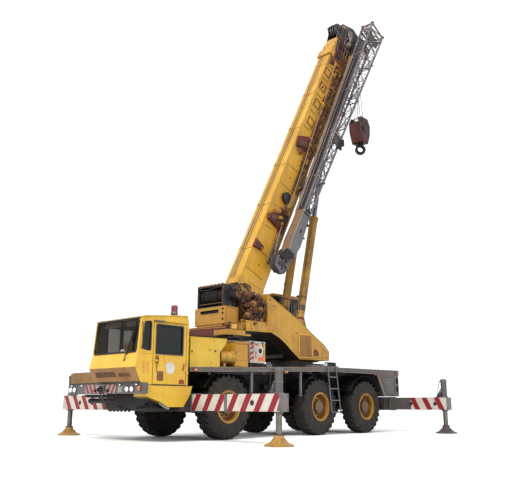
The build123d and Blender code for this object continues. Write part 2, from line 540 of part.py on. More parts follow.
def hook_block():
    x, z = HOOK_X, BLOCK_Z
    prof = [(-190, 450), (190, 450), (320, 240), (300, -80), (170, -440), (-170, -440), (-300, -80), (-320, 240)]
    cheeks = [xz([(x + a, z + b) for a, b in prof], y, y + 30) for y in (-190, 170)]
    shv = [cyl("y", (x, z + 80), 285, y, y + 44) for y in (-125, -22, 81)]
    pin = cyl("y", (x, z + 80), 50, -195, 205)
    trun = cut(box(x - 120, x + 120, -180, 180, z - 440, z - 340), cyl("z", (x, 5), 36, z - 450, z - 300))
    return fuse(*cheeks, *shv, pin, trun)


HOOK_TURN = -47.0                     # degrees about its shank, from the ring's axis along Y
EYE_Z = BLOCK_Z - 640.0


def hook():
    x, z, c = HOOK_X, BLOCK_Z, EYE_Z
    shank = fuse(cyl("z", (x, 5), 35.9, z - 500, z - 332), cyl("z", (x, 5), 60, z - 332, z - 305))
    ring = cut(cyl("y", (x, c), 175, -37, 47), cyl("y", (x, c), 88, -60, 70), box(x + 20, x + 260, -60, 70, c + 10, c + 95))
    h = fuse(shank, ring, box(x - 40, x + 40, -37, 47, c + 90, z - 482))
    return Pos(x, 5, 0) * Rot(0, 0, HOOK_TURN) * Pos(-x, -5, 0) * h


def lift_line():
    rx, rz = bp(ROD_A, ROD_D)
    d = Vector(rx - LIFT_FOOT[0], 0, rz - LIFT_FOOT[1])
    return d.length, d.normalized()


LIFT_LEN, LIFT_DIR = lift_line()


def on_lift(t, y):
    return (LIFT_FOOT[0] + LIFT_DIR.X * t, y, LIFT_FOOT[1] + LIFT_DIR.Z * t)


def lift_barrel(s):
    y = s * LIFT_Y
    body = bar(on_lift(150, y), on_lift(3830, y), BARREL_R)
    eye = cyl("y", LIFT_FOOT, 105, y - 60, y + 60)
    neck = bar(on_lift(40, y), on_lift(200, y), 60)
    b = fuse(body, eye, neck)
    return cut(b, bar(on_lift(560, y), on_lift(3740, y), BARREL_R - 18), bar(on_lift(560, y), on_lift(3850, y), ROD_R + 0.5),
               cyl("y", LIFT_FOOT, 45.05, y - 80, y + 80))


def lift_rod(s):
    y = s * LIFT_Y
    r = bar(on_lift(2640, y), on_lift(LIFT_LEN - 60, y), ROD_R)
    eye = cut(cyl("y", on_lift(LIFT_LEN, y)[::2], 95, y - 68, y + 68), cyl("y", on_lift(LIFT_LEN, y)[::2], 50.5, y - 80, y + 80))
    rr = cut(r, cyl("y", on_lift(LIFT_LEN, y)[::2], 50.5, y - 80, y + 80))
    return fuse(rr, eye)


# jib stowed beside the boom on its port side: along, inner y, outer y, depth from, depth to
JIB_ENDS = [(3350.0, 470.0, 740.0, 820.0, 1080.0), (11300.0, 470.0, 860.0, 700.0, 1360.0)]
JIB_CHORD, JIB_LACE, JIB_BAYS = 32.0, 15.0, 11


def jib_frame(a):
    (a0, i0, o0, d0, e0), (a1, i1, o1, d1, e1) = JIB_ENDS
    t = (a - a0) / (a1 - a0)
    return [(i0 + (i1 - i0) * t, d0 + (d1 - d0) * t), (o0 + (o1 - o0) * t, d0 + (d1 - d0) * t),
            (o0 + (o1 - o0) * t, e0 + (e1 - e0) * t), (i0 + (i1 - i0) * t, e0 + (e1 - e0) * t)]


def b3(a, y, d):
    x, z = bp(a, d)
    return (x, y, z)


def jib():
    a0, a1 = JIB_ENDS[0][0], JIB_ENDS[1][0]
    F0, F1 = jib_frame(a0), jib_frame(a1)
    s = [bar(b3(a0, *F0[k]), b3(a1, *F1[k]), JIB_CHORD) for k in range(4)]
    step = (a1 - a0) / JIB_BAYS
    for n in range(JIB_BAYS + 1):
        F = jib_frame(a0 + n * step)
        G = jib_frame(a0 + (n + 1) * step) if n < JIB_BAYS else None
        for k in range(4):
            if n in (0, JIB_BAYS):
                s.append(bar(b3(a0 + n * step, *F[k]), b3(a0 + n * step, *F[(k + 1) % 4]), 26))
            if G:
                p, q = (k, (k + 1) % 4) if n % 2 == 0 else ((k + 1) % 4, k)
                s.append(bar(b3(a0 + n * step, *F[p]), b3(a0 + (n + 1) * step, *G[q]), JIB_LACE))
    # plated tip with its sheave head
    tip = bpoly([(3380, 800), (3380, 1100), (2300, 1150), (1900, 1060), (1900, 780), (2300, 740)], 470, 500)
    tip2 = bpoly([(3380, 800), (3380, 1100), (2300, 1150), (1900, 1060), (1900, 780), (2300, 740)], 710, 740)
    web = bpoly([(3380, 800), (3380, 830), (1900, 810), (1900, 780)], 480, 730)
    web2 = bpoly([(3380, 1070), (3380, 1100), (2300, 1150), (2300, 1120)], 480, 730)
    cheek = [bpoly([(1990, 720), (1990, 1060), (1480, 1010), (1250, 800), (1300, 560), (1560, 520)], y, y + 24) for y in (500, 686)]
    pin = bcyl(1500, 790, 40, 490, 720)
    # root frame, square, and its lugs
    F = jib_frame(a1)
    lugs = [bar(b3(a1, *F[k]), b3(a1 + 260, *F[k]), 36) for k in range(4)]
    s += [bar(b3(a1 + 240, *F[k]), b3(a1 + 240, *F[(k + 1) % 4]), 24) for k in range(4)]
    return fuse(*s, tip, tip2, web, web2, *cheek, pin, *lugs, bcyl(1500, 790, 245, 560, 650))


if __name__ == "__main__":
    emit("carrier_frame", chassis())
    emit("deck", deck())
    emit("front_bumper", bumper())
    emit("nose_cowl", cowl())
    emit("cab_shell", cab())
    emit("cab_door", cab_door())
    emit("cab_windscreen", windscreen())
    emit("driver_seat", seat(2960, 880, 1130))
    emit("steering_wheel", steering_wheel())
    emit("engine_cover", engine_cover())
    emit("engine", engine())
    emit("air_cleaner", air_cleaner())
    emit("side_box", side_box())
    emit("battery_box", battery_box())
    emit("fuel_tank", fuel_tank())
    emit("gearbox", gearbox())
    emit("ladder", ladder())
    for name, x in AXLES:
        emit("axle_" + name, axle(name, x))
        for s, side in ((1, "port"), (-1, "starboard")):
            emit("tyre_%s_%s" % (name, side), tyre(x, s))
            emit("rim_%s_%s" % (name, side), rim(x, s))
    for s, side in ((1, "port"), (-1, "starboard")):
        emit("knuckle_" + side, knuckle(s))
    for name, side, x, reach, inner, _, _ in BEAMS:
        emit("beam_" + name, outrigger_beam(side, x, reach, inner))
        emit("jack_" + name, jack(side, x, reach))
    emit("turntable", turntable())
    emit("counterweight", counterweight())
    emit("winch", winch())
    emit("valve_unit", valve_unit())
    emit("operator_cab", operator_cab())
    emit("operator_door", operator_door())
    emit("boom_base", boom_base())
    emit("boom_section_2", boom_section(1))
    emit("boom_section_3", boom_section(2))
    emit("boom_head", boom_head())
    emit("low_sheaves", low_sheaves())
    emit("hook_block", hook_block())
    emit("hook", hook())
    for s, side in ((1, "port"), (-1, "starboard")):
        emit("lift_cylinder_" + side, lift_barrel(s))
        emit("lift_rod_" + side, lift_rod(s))
    emit("jib", jib())
    lo = [min(getattr(p.bounding_box().min, c) for p in PARTS.values()) for c in "XYZ"]
    hi = [max(getattr(p.bounding_box().max, c) for p in PARTS.values()) for c in "XYZ"]
    print("nodes", len(PARTS), "box", lo, hi, "middle x", (lo[0] + hi[0]) / 2)
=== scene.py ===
import bpy, bmesh, json, random
from math import sin, cos, tan, radians, degrees, pi, hypot, atan2, sqrt
from mathutils import Vector, Matrix, noise


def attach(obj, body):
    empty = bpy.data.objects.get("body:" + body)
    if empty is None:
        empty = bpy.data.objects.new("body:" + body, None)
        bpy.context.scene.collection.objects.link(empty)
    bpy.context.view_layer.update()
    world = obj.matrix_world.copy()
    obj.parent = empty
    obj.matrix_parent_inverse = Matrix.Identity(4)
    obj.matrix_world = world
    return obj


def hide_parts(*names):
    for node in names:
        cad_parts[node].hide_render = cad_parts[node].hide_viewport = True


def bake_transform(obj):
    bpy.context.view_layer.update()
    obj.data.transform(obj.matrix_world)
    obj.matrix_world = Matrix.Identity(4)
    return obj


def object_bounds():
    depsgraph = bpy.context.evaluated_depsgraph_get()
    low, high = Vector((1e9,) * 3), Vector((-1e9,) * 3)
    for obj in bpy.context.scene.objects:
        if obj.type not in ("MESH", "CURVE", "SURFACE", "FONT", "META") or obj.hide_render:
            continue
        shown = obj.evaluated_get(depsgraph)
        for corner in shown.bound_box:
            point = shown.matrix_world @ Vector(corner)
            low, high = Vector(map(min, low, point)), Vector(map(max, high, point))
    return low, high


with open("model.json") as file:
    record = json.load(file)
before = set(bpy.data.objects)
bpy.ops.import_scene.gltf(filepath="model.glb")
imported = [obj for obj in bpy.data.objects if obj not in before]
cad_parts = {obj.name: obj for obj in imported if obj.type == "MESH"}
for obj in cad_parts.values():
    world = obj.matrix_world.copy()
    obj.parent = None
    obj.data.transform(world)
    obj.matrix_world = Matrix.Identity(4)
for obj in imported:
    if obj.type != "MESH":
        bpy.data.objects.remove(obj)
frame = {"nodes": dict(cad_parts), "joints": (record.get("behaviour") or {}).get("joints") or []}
CAD_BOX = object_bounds()
N = frame["nodes"]
JP = {j["name"]: j for j in frame["joints"]}

# Pieces are written in working metres, as part.py is: x from a datum ahead of the middle axle,
# y = 0 on the carrier's middle plane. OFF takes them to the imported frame.
SLEW_X = -2.2
OFF = Vector((JP["slew"]["pos_m"][0] - SLEW_X, JP["slew"]["pos_m"][1], 0.0))
random.seed(11)


# ============================================================ materials ==========
class Nodes:
    def __init__(self, name):
        self.mat = bpy.data.materials.new(name)
        self.mat.use_nodes = True
        self.t = self.mat.node_tree
        self.t.nodes.clear()
        self.out = self.t.nodes.new("ShaderNodeOutputMaterial")
        self.bsdf = self.t.nodes.new("ShaderNodeBsdfPrincipled")
        self.t.links.new(self.bsdf.outputs[0], self.out.inputs[0])
        tc = self.t.nodes.new("ShaderNodeTexCoord")
        self.co = tc.outputs["Object"]

    def n(self, kind, **kw):
        node = self.t.nodes.new(kind)
        for k, v in kw.items():
            setattr(node, k, v)
        return node

    def link(self, a, b):
        self.t.links.new(a, b)

    def put(self, sock, v):
        if isinstance(v, bpy.types.NodeSocket):
            self.link(v, sock)
        else:
            sock.default_value = v

    def stretch(self, sx, sy, sz, rot=(0, 0, 0)):
        m = self.n("ShaderNodeMapping")
        m.inputs["Scale"].default_value = (sx, sy, sz)
        m.inputs["Rotation"].default_value = rot
        self.link(self.co, m.inputs["Vector"])
        return m.outputs[0]

    def noise(self, scale, detail=4, rough=.55, co=None, dist=0.0):
        x = self.n("ShaderNodeTexNoise")
        x.inputs["Scale"].default_value = scale
        x.inputs["Detail"].default_value = detail
        x.inputs["Roughness"].default_value = rough
        x.inputs["Distortion"].default_value = dist
        self.link(co or self.co, x.inputs["Vector"])
        return x.outputs[0]

    def ramp(self, fac, lo, hi, a=0.0, b=1.0):
        r = self.n("ShaderNodeMapRange")
        r.inputs["From Min"].default_value = lo
        r.inputs["From Max"].default_value = hi
        r.inputs["To Min"].default_value = a
        r.inputs["To Max"].default_value = b
        r.clamp = True
        self.link(fac, r.inputs["Value"])
        return r.outputs[0]

    def math(self, op, a, b=None):
        m = self.n("ShaderNodeMath", operation=op)
        self.put(m.inputs[0], a)
        if b is not None:
            self.put(m.inputs[1], b)
        return m.outputs[0]

    def mix(self, fac, a, b, blend="MIX"):
        m = self.n("ShaderNodeMix", data_type="RGBA", blend_type=blend)
        self.put(m.inputs["Factor"], fac)
        self.put(m.inputs[6], a)
        self.put(m.inputs[7], b)
        return m.outputs[2]

    def bump(self, h, strength=.2, dist=.002):
        b = self.n("ShaderNodeBump")
        b.inputs["Strength"].default_value = strength
        b.inputs["Distance"].default_value = dist
        self.link(h, b.inputs["Height"])
        self.link(b.outputs[0], self.bsdf.inputs["Normal"])

    def sep(self, co=None):
        s = self.n("ShaderNodeSeparateXYZ")
        self.link(co or self.co, s.inputs[0])
        return s.outputs

    def down(self):
        """1 on faces that look down, 0 on the others: the mask for painted underside shade"""
        g = self.n("ShaderNodeNewGeometry")
        s = self.sep(g.outputs["Normal"])
        return self.ramp(s[2], .15, -.75)

    def up(self):
        g = self.n("ShaderNodeNewGeometry")
        s = self.sep(g.outputs["Normal"])
        return self.ramp(s[2], .3, .95)


def c4(c):
    return (c[0], c[1], c[2], 1.0)


def srgb(r, g, b):
    f = lambda v: ((v / 255 + .055) / 1.055) ** 2.4 if v > 10 else v / 255 / 12.92
    return (f(r), f(g), f(b))


MATS = {}


def painted(name, base, alt=None, grime=(.06, .035, .018), rust=(.16, .05, .015), rough=.42, dirt=.5, rusty=.25, streaks=.35,
            coat=.12, scale=1.0, metallic=0.0, dust=0.0, dusty=(.32, .27, .2), under=.0):
    """weathered machine paint: fading, rain streaks, grime, stone chips and rust, with painted shade on faces that look
    down
    """
    m = Nodes(name)
    alt = alt or tuple(v * .82 for v in base)
    fade = m.ramp(m.noise(.9 * scale, 3, .6), .35, .7)
    col = m.mix(fade, c4(base), c4(alt))
    mott = m.ramp(m.noise(7 * scale, 5, .65), .42, .72, 0, .35)
    col = m.mix(mott, col, c4(tuple(v * .72 for v in base)))
    st = m.noise(1.0, 4, .6, m.stretch(5.5 * scale, 5.5 * scale, .35 * scale))
    st = m.math("MULTIPLY", m.ramp(st, .5, .72), streaks)
    col = m.mix(st, col, c4(tuple(g * .5 + b * .25 for g, b in zip(grime, base))))
    patch = m.math("MULTIPLY", m.ramp(m.noise(2.3 * scale, 8, .72, dist=.3), .54, .74), dirt)
    col = m.mix(patch, col, c4(grime))
    if dust:
        col = m.mix(m.math("MULTIPLY", m.up(), dust), col, c4(dusty))
    # painted shade: faces that look down are darkened towards a dark grime tone by their normal
    if under:
        col = m.mix(m.math("MULTIPLY", m.down(), under), col, c4(tuple(g * .6 + b * .12 for g, b in zip(grime, base))))
    chips = m.ramp(m.noise(34 * scale, 3, .5), .665, .70)
    zone = m.ramp(m.noise(1.7 * scale, 2, .5), .5, .62)
    chip = m.math("MULTIPLY", m.math("MULTIPLY", chips, zone), rusty * 2.2)
    col = m.mix(chip, col, c4(rust))
    m.link(col, m.bsdf.inputs["Base Color"])
    r = m.math("ADD", m.math("MULTIPLY", m.noise(16 * scale, 3), .22), rough - .1)
    r = m.math("ADD", r, m.math("MULTIPLY", patch, .25))
    m.link(r, m.bsdf.inputs["Roughness"])
    m.bsdf.inputs["Metallic"].default_value = metallic
    m.bsdf.inputs["Coat Weight"].default_value = coat
    m.bsdf.inputs["Coat Roughness"].default_value = .25
    m.bump(m.noise(90 * scale, 2), .10, .001)
    MATS[name] = m.mat
    return m.mat


def metal(name, base, rough=.4, metallic=.85, dirt=.5, grime=(.03, .02, .012), scale=1.0, brushed=None):
    m = Nodes(name)
    col = m.mix(m.ramp(m.noise(3 * scale, 5, .6), .35, .75), c4(base), c4(tuple(v * .6 for v in base)))
    patch = m.math("MULTIPLY", m.ramp(m.noise(9 * scale, 6, .7), .5, .72), dirt)
    col = m.mix(patch, col, c4(grime))
    m.link(col, m.bsdf.inputs["Base Color"])
    m.bsdf.inputs["Metallic"].default_value = metallic
    m.link(m.math("ADD", m.math("MULTIPLY", m.noise(14 * scale, 4), .3), rough - .15), m.bsdf.inputs["Roughness"])
    h = m.noise(60 * scale, 3) if brushed is None else m.noise(1.0, 3, .5, m.stretch(*brushed))
    m.bump(h, .15, .001)
    MATS[name] = m.mat
    return m.mat


def rubbery(name, base, dust=(.10, .085, .07), rough=.75, scale=1.0, dusted=.5):
    m = Nodes(name)
    col = m.mix(m.math("MULTIPLY", m.ramp(m.noise(5 * scale, 5, .65), .38, .7), dusted), c4(base), c4(dust))
    m.link(col, m.bsdf.inputs["Base Color"])
    m.link(m.math("ADD", m.math("MULTIPLY", m.noise(20 * scale, 3), .2), rough - .1), m.bsdf.inputs["Roughness"])
    m.bump(m.noise(55 * scale, 3), .3, .002)
    MATS[name] = m.mat
    return m.mat


def striped(name, red, white, grey, period, slope, phase, y_grey, side=1, dirt=.4):
    """slanting bands across an outrigger beam; the part nearer the chassis than y_grey is plain grey"""
    m = Nodes(name)
    s = m.sep()
    y = m.math("MULTIPLY", s[1], float(side))
    v = m.math("ADD", m.math("MULTIPLY", y, 1.0 / period), m.math("MULTIPLY", s[2], slope / period))
    f = m.math("FRACT", m.math("ADD", v, phase))
    band = m.math("LESS_THAN", f, .47)
    col = m.mix(band, c4(white), c4(red))
    inner = m.math("LESS_THAN", y, y_grey)
    col = m.mix(inner, col, c4(grey))
    patch = m.math("MULTIPLY", m.ramp(m.noise(3.2, 7, .7), .5, .75), dirt)
    col = m.mix(patch, col, c4((.07, .055, .045)))
    chips = m.math("MULTIPLY", m.ramp(m.noise(30, 3, .5), .64, .68), .6)
    col = m.mix(chips, col, c4((.14, .06, .03)))
    m.link(col, m.bsdf.inputs["Base Color"])
    m.link(m.math("ADD", m.math("MULTIPLY", m.noise(12, 3), .25), .4), m.bsdf.inputs["Roughness"])
    m.bump(m.noise(80, 2), .1, .001)
    MATS[name] = m.mat
    return m.mat


def glassy(name, tint, rough=.04, alpha=.5, spec=.5):
    m = Nodes(name)
    col = m.mix(m.ramp(m.noise(1.5, 3), .4, .7, 0, .25), c4(tint), c4(tuple(v * .7 for v in tint)))
    m.link(col, m.bsdf.inputs["Base Color"])
    m.link(m.ramp(m.noise(4, 5, .7), .45, .8, rough, rough + .12), m.bsdf.inputs["Roughness"])
    m.bsdf.inputs["Alpha"].default_value = alpha
    m.bsdf.inputs["IOR"].default_value = 1.5
    MATS[name] = m.mat
    return m.mat


def emissive_lens(name, col, rough=.15):
    m = Nodes(name)
    c = m.mix(m.ramp(m.noise(30, 2), .4, .6, 0, .3), c4(col), c4(tuple(v * .6 for v in col)))
    m.link(c, m.bsdf.inputs["Base Color"])
    m.link(m.ramp(m.noise(20, 3), .4, .8, rough, rough + .2), m.bsdf.inputs["Roughness"])
    m.bsdf.inputs["Coat Weight"].default_value = .8
    m.bump(m.noise(120, 1), .3, .001)
    MATS[name] = m.mat
    return m.mat


YEL = srgb(202, 168, 52)
YEL_B = srgb(190, 148, 44)
painted("cab_yellow", YEL, YEL_B, rough=.34, dirt=.16, rusty=.16, streaks=.18, coat=.35, under=.75)
painted("body_yellow", srgb(194, 164, 54), srgb(178, 142, 44), rough=.38, dirt=.22, rusty=.2, streaks=.25, coat=.25, under=.75)
painted("upper_yellow", srgb(178, 138, 46), srgb(156, 112, 38), rough=.42, dirt=.34, rusty=.35, streaks=.4, coat=.15, under=.75)
painted("boom_yellow", srgb(192, 152, 50), srgb(170, 124, 40), rough=.42, dirt=.26, rusty=.3, streaks=.3, coat=.15, under=.75)
painted("float_yellow", srgb(158, 126, 66), srgb(126, 96, 54), rough=.5, dirt=.6, rusty=.6, scale=2)
painted("chassis_grey", srgb(62, 56, 54), srgb(46, 42, 41), grime=(.02, .016, .013), rough=.6, dirt=.5, rusty=.2, dust=.5)
painted("deck_grey", srgb(98, 94, 92), srgb(72, 70, 70), grime=(.05, .04, .033), rough=.6, dirt=.5, rusty=.25, dust=.5, dusty=srgb(112, 106, 100), under=.75)
painted("steel_grey", srgb(96, 97, 102), srgb(74, 76, 82), grime=(.03, .028, .026), rough=.5, dirt=.45, rusty=.35)
painted("dark_grey", srgb(52, 50, 54), srgb(38, 37, 40), grime=(.015, .013, .012), rough=.55, dirt=.4, rusty=.2)
painted("black_paint", (.018, .017, .017), (.03, .028, .027), grime=(.05, .04, .033), rough=.5, dirt=.4, rusty=.12)
painted("maroon", srgb(62, 30, 30), srgb(38, 22, 22), grime=(.018, .01, .009), rough=.55, dirt=.5, rusty=.4, scale=2)
painted("brown_rust", srgb(104, 62, 38), srgb(78, 46, 30), grime=(.02, .012, .009), rough=.7, dirt=.5, rusty=.5, scale=3)
painted("white_paint", srgb(160, 154, 148), srgb(138, 130, 124), rough=.45, dirt=.25, rusty=.2)
painted("red_paint", srgb(140, 26, 40), srgb(116, 24, 34), rough=.45, dirt=.3, rusty=.2)
painted("barrel_yellow", srgb(160, 122, 44), srgb(112, 82, 32), grime=(.05, .032, .016), rough=.42, dirt=.7, rusty=.4, streaks=.6, scale=2, under=.75)
metal("rod", srgb(124, 120, 140), .26, .9, .15, scale=2)
metal("worn_steel", srgb(120, 116, 112), .45, .8, .5, scale=2)
metal("bright_steel", srgb(190, 190, 190), .2, .95, .1, scale=3)
metal("rope_wire", srgb(120, 116, 118), .45, .8, .4, scale=10)
metal("black_iron", (.03, .028, .027), .55, .4, .4, scale=2)
rubbery("tyre_black", (.014, .012, .011), (.046, .038, .032))
rubbery("hose_black", (.012, .012, .013), (.04, .035, .03), .5, 4, .4)
rubbery("seal_black", (.01, .01, .01), (.03, .028, .025), .6, 4, .3)
rubbery("seat_vinyl", (.03, .026, .022), (.05, .045, .04), .55, 3, .3)
glassy("windscreen", (.020, .024, .022), alpha=.20)
glassy("side_glass", (.012, .015, .014), alpha=.80)
emissive_lens("lamp_clear", (.75, .76, .76), .1)
emissive_lens("lamp_amber", (.42, .13, .02), .2)
emissive_lens("lamp_red", (.17, .015, .015), .05)

# ------------------------------------------------------------ more materials ------
painted("hub_grey", srgb(104, 92, 82), srgb(78, 68, 60), grime=(.03, .024, .018), rough=.6, dirt=.6, rusty=.4, scale=2)
painted("rim_dark", (.05, .035, .022), (.03, .022, .016), rough=.6, dirt=.5, rusty=.4)
painted("beam_plain", srgb(112, 106, 108), srgb(88, 84, 88), grime=(.05, .04, .032), rough=.55, dirt=.5, rusty=.4)
painted("float_grey", srgb(84, 80, 80), srgb(62, 58, 58), grime=(.03, .024, .02), rough=.6, dirt=.6, rusty=.5, scale=2)
painted("bumper_grey", srgb(92, 90, 90), srgb(64, 62, 64), grime=(.04, .034, .03), rough=.45, dirt=.35, rusty=.3, dust=.4, dusty=srgb(160, 154, 140))
painted("board_white", srgb(146, 136, 130), srgb(120, 110, 106), rough=.5, dirt=.3, rusty=.2, scale=3)
painted("board_red", srgb(122, 24, 38), srgb(98, 22, 32), rough=.5, dirt=.25, rusty=.2, scale=3)
painted("cowl_shade", srgb(142, 102, 42), srgb(112, 78, 34), rough=.5, dirt=.4, rusty=.3)
painted("nose_top", srgb(122, 92, 46), srgb(94, 70, 38), rough=.45, dirt=.35, rusty=.3, dust=.40, dusty=srgb(144, 120, 78))
painted("recess_shade_brown", srgb(96, 62, 32), srgb(70, 44, 26), rough=.7, dirt=.5, rusty=.3, scale=3)
painted("plate_ochre", srgb(196, 150, 62), srgb(178, 132, 52), rough=.4, dirt=.3, rusty=.1, scale=3)
painted("door_shade", srgb(190, 138, 40), srgb(176, 126, 36), rough=.5, dirt=.3, rusty=.2)
painted("brown_plate", srgb(126, 84, 44), srgb(98, 64, 36), rough=.55, dirt=.4, rusty=.3, scale=3)
painted("rust_streak", srgb(148, 92, 40), srgb(120, 72, 34), rough=.7, dirt=.5, rusty=.4, scale=3)
painted("rust_bleed", srgb(112, 58, 30), srgb(148, 90, 40), rough=.8, dirt=.6, rusty=.6, scale=6)
painted("decal_white", srgb(186, 184, 178), srgb(170, 166, 158), rough=.4, dirt=.15, rusty=.08, scale=3)
painted("decal_rim", srgb(140, 134, 126), srgb(116, 110, 104), rough=.4, dirt=.3, rusty=.1, scale=3)
painted("lining", srgb(120, 100, 76), srgb(96, 80, 62), rough=.8, dirt=.3, rusty=0.0, scale=2)
painted("floor_mat", (.03, .028, .026), (.045, .04, .035), rough=.8, dirt=.4, rusty=0.0, scale=2)
glassy("hazy_glass", (.40, .33, .15), alpha=.64)
painted("seat_tan", srgb(236, 206, 142), srgb(214, 178, 118), rough=.65, dirt=.3, rusty=0.0, scale=2)
painted("dash_grey", srgb(46, 44, 44), srgb(34, 33, 34), rough=.65, dirt=.3, rusty=0.0, scale=2)
painted("paper", srgb(226, 226, 220), srgb(206, 206, 202), rough=.7, dirt=.1, rusty=0.0, scale=4)
painted("seam_brown", srgb(120, 82, 40), srgb(92, 62, 34), rough=.7, dirt=.5, rusty=.4, scale=3)
painted("pale_lid", srgb(108, 104, 98), srgb(86, 82, 76), rough=.5, dirt=.35, rusty=.3, dust=.5, dusty=srgb(116, 112, 104))
painted("faded_orange", srgb(196, 104, 60), srgb(178, 92, 54), rough=.5, dirt=.3, rusty=.2, scale=3)
painted("deck_edge", srgb(138, 122, 108), srgb(104, 90, 80), grime=(.05, .04, .03), rough=.6, dirt=.45, rusty=.4, scale=2)
painted("deck_tread", srgb(128, 116, 106), srgb(104, 94, 86), grime=(.06, .05, .04), rough=.55, dirt=.4, rusty=.3, scale=2)
# near-black standing in for shade: under the carrier, in the turntable's belly and over the winch drum
painted("under_black", (.007, .006, .006), (.011, .009, .008), grime=(.016, .012, .009), rough=.7, dirt=.5, rusty=.2, scale=2)
painted("red_brown", srgb(96, 40, 36), srgb(70, 30, 28), grime=(.02, .01, .008), rough=.6, dirt=.5, rusty=.4, scale=2)
painted("plate_brown", srgb(150, 106, 44), srgb(118, 82, 38), grime=(.05, .03, .015), rough=.55, dirt=.6, rusty=.5, scale=2)
painted("machine_yellow", srgb(150, 108, 40), srgb(104, 70, 30), grime=(.05, .03, .015), rough=.45, dirt=.6, rusty=.4, scale=3)
painted("motor_brown", srgb(124, 78, 42), srgb(92, 56, 34), grime=(.03, .018, .01), rough=.5, dirt=.5, rusty=.4, scale=3)
painted("oily_brown", srgb(86, 58, 34), srgb(56, 38, 24), grime=(.02, .014, .009), rough=.4, dirt=.7, rusty=.4, scale=3)
painted("vent_brown", srgb(148, 112, 62), srgb(124, 90, 52), grime=(.04, .024, .014), rough=.6, dirt=.5, rusty=.4, scale=3)
painted("jib_pale", srgb(134, 118, 106), srgb(106, 92, 84), grime=(.08, .06, .05), rough=.5, dirt=.35, rusty=.35)
painted("jib_dark", srgb(64, 54, 56), srgb(46, 40, 42), grime=(.02, .016, .014), rough=.6, dirt=.5, rusty=.3)
painted("jib_grey", srgb(122, 112, 112), srgb(94, 86, 88), grime=(.05, .04, .034), rough=.55, dirt=.4, rusty=.35)
painted("tan_plate", srgb(132, 104, 78), srgb(104, 84, 66), grime=(.06, .04, .025), rough=.55, dirt=.5, rusty=.4, scale=2)
painted("boom_pale", srgb(180, 146, 62), srgb(164, 128, 50), rough=.42, dirt=.18, rusty=.2, streaks=.2)
painted("boom_shade", srgb(150, 108, 44), srgb(116, 82, 36), grime=(.05, .03, .014), rough=.5, dirt=.5, rusty=.4)
# dark brown for faces under the upper works: painted shade
painted("under_brown", srgb(44, 30, 18), srgb(30, 20, 13), grime=(.008, .006, .004), rough=.75, dirt=.5, rusty=.3, scale=2)
metal("rope_dark", srgb(46, 42, 42), .5, .6, .5, scale=10)
metal("alu_frame", srgb(112, 110, 104), .4, .8, .4, scale=3)
emissive_lens("beacon_red", srgb(104, 26, 30), .3)
glassy("rear_glass", (.16, .15, .13), alpha=.72)


def shade_black_paint(name, base, rough):
    """near-black painted into holes, gaps and openings as shade; also the printed centre of a decal"""
    return painted(name, base, tuple(v * .7 for v in base), grime=(.012, .01, .008), rough=rough, dirt=.6, rusty=.15, scale=3)


shade_black_paint("shade_and_print_black", (.012, .010, .009), .75)


def inside(m, box):
    """1 within a box of the working frame, 0 out of it"""
    s = m.sep()
    f = None
    for i, (lo, hi) in enumerate(box):
        a = m.math("GREATER_THAN", s[i], lo + OFF[i])
        b = m.math("LESS_THAN", s[i], hi + OFF[i])
        g = m.math("MULTIPLY", a, b)
        f = g if f is None else m.math("MULTIPLY", f, g)
    return f


def shell(name, base, alt, box, inside_shade, **kw):
    """machine paint outside; whatever faces into the box is painted brown-black as shade"""
    mat = painted(name, base, alt, **kw)
    m = Nodes.__new__(Nodes)
    m.mat, m.t = mat, mat.node_tree
    m.bsdf = next(n for n in m.t.nodes if n.type == "BSDF_PRINCIPLED")
    m.co = next(n for n in m.t.nodes if n.type == "TEX_COORD").outputs["Object"]
    old = m.bsdf.inputs["Base Color"].links[0].from_socket
    # painted shade for the faces inside the box, mottled by noise
    lining = m.mix(m.noise(6, 4), c4(inside_shade), c4(tuple(v * .5 for v in inside_shade)))
    for b in (box if isinstance(box[0][0], tuple) else (box,)):
        old = m.mix(inside(m, b), old, lining)
    m.link(old, m.bsdf.inputs["Base Color"])
    return mat


# painted shade inside the cab and the operator's cab, between the turntable's frames and on the wheels' inner side
shell("cab_shell_paint", YEL, YEL_B, ((2.512, 3.69), (-.262, 1.2575), (1.12, 2.43)), (.06, .042, .026), rough=.34, dirt=.16, rusty=.16, streaks=.18, coat=.35, under=.75)
shell("operator_cab_paint", srgb(178, 138, 46), srgb(156, 112, 38), (((-2.93, -1.37), (-1.262, -.58), (1.80, 3.46)), ((-3.2, -1.2), (-.622, -.40), (1.70, 3.70))), (.03, .021, .014), rough=.42, dirt=.34, rusty=.35, streaks=.4, coat=.15, under=.75)


shell("turntable_paint", srgb(178, 138, 46), srgb(156, 112, 38), ((-2.95, .30), (-.497, .435), (1.80, 2.56)), (.018, .012, .008), rough=.42, dirt=.34, rusty=.35, streaks=.4, coat=.15, under=.75)
shell("rim_yellow", srgb(154, 116, 44), srgb(112, 80, 32), ((-6.0, 4.0), (-.93, .93), (-.1, 1.5)), (.012, .009, .007), rough=.4, dirt=.6, rusty=.5, streaks=.2)


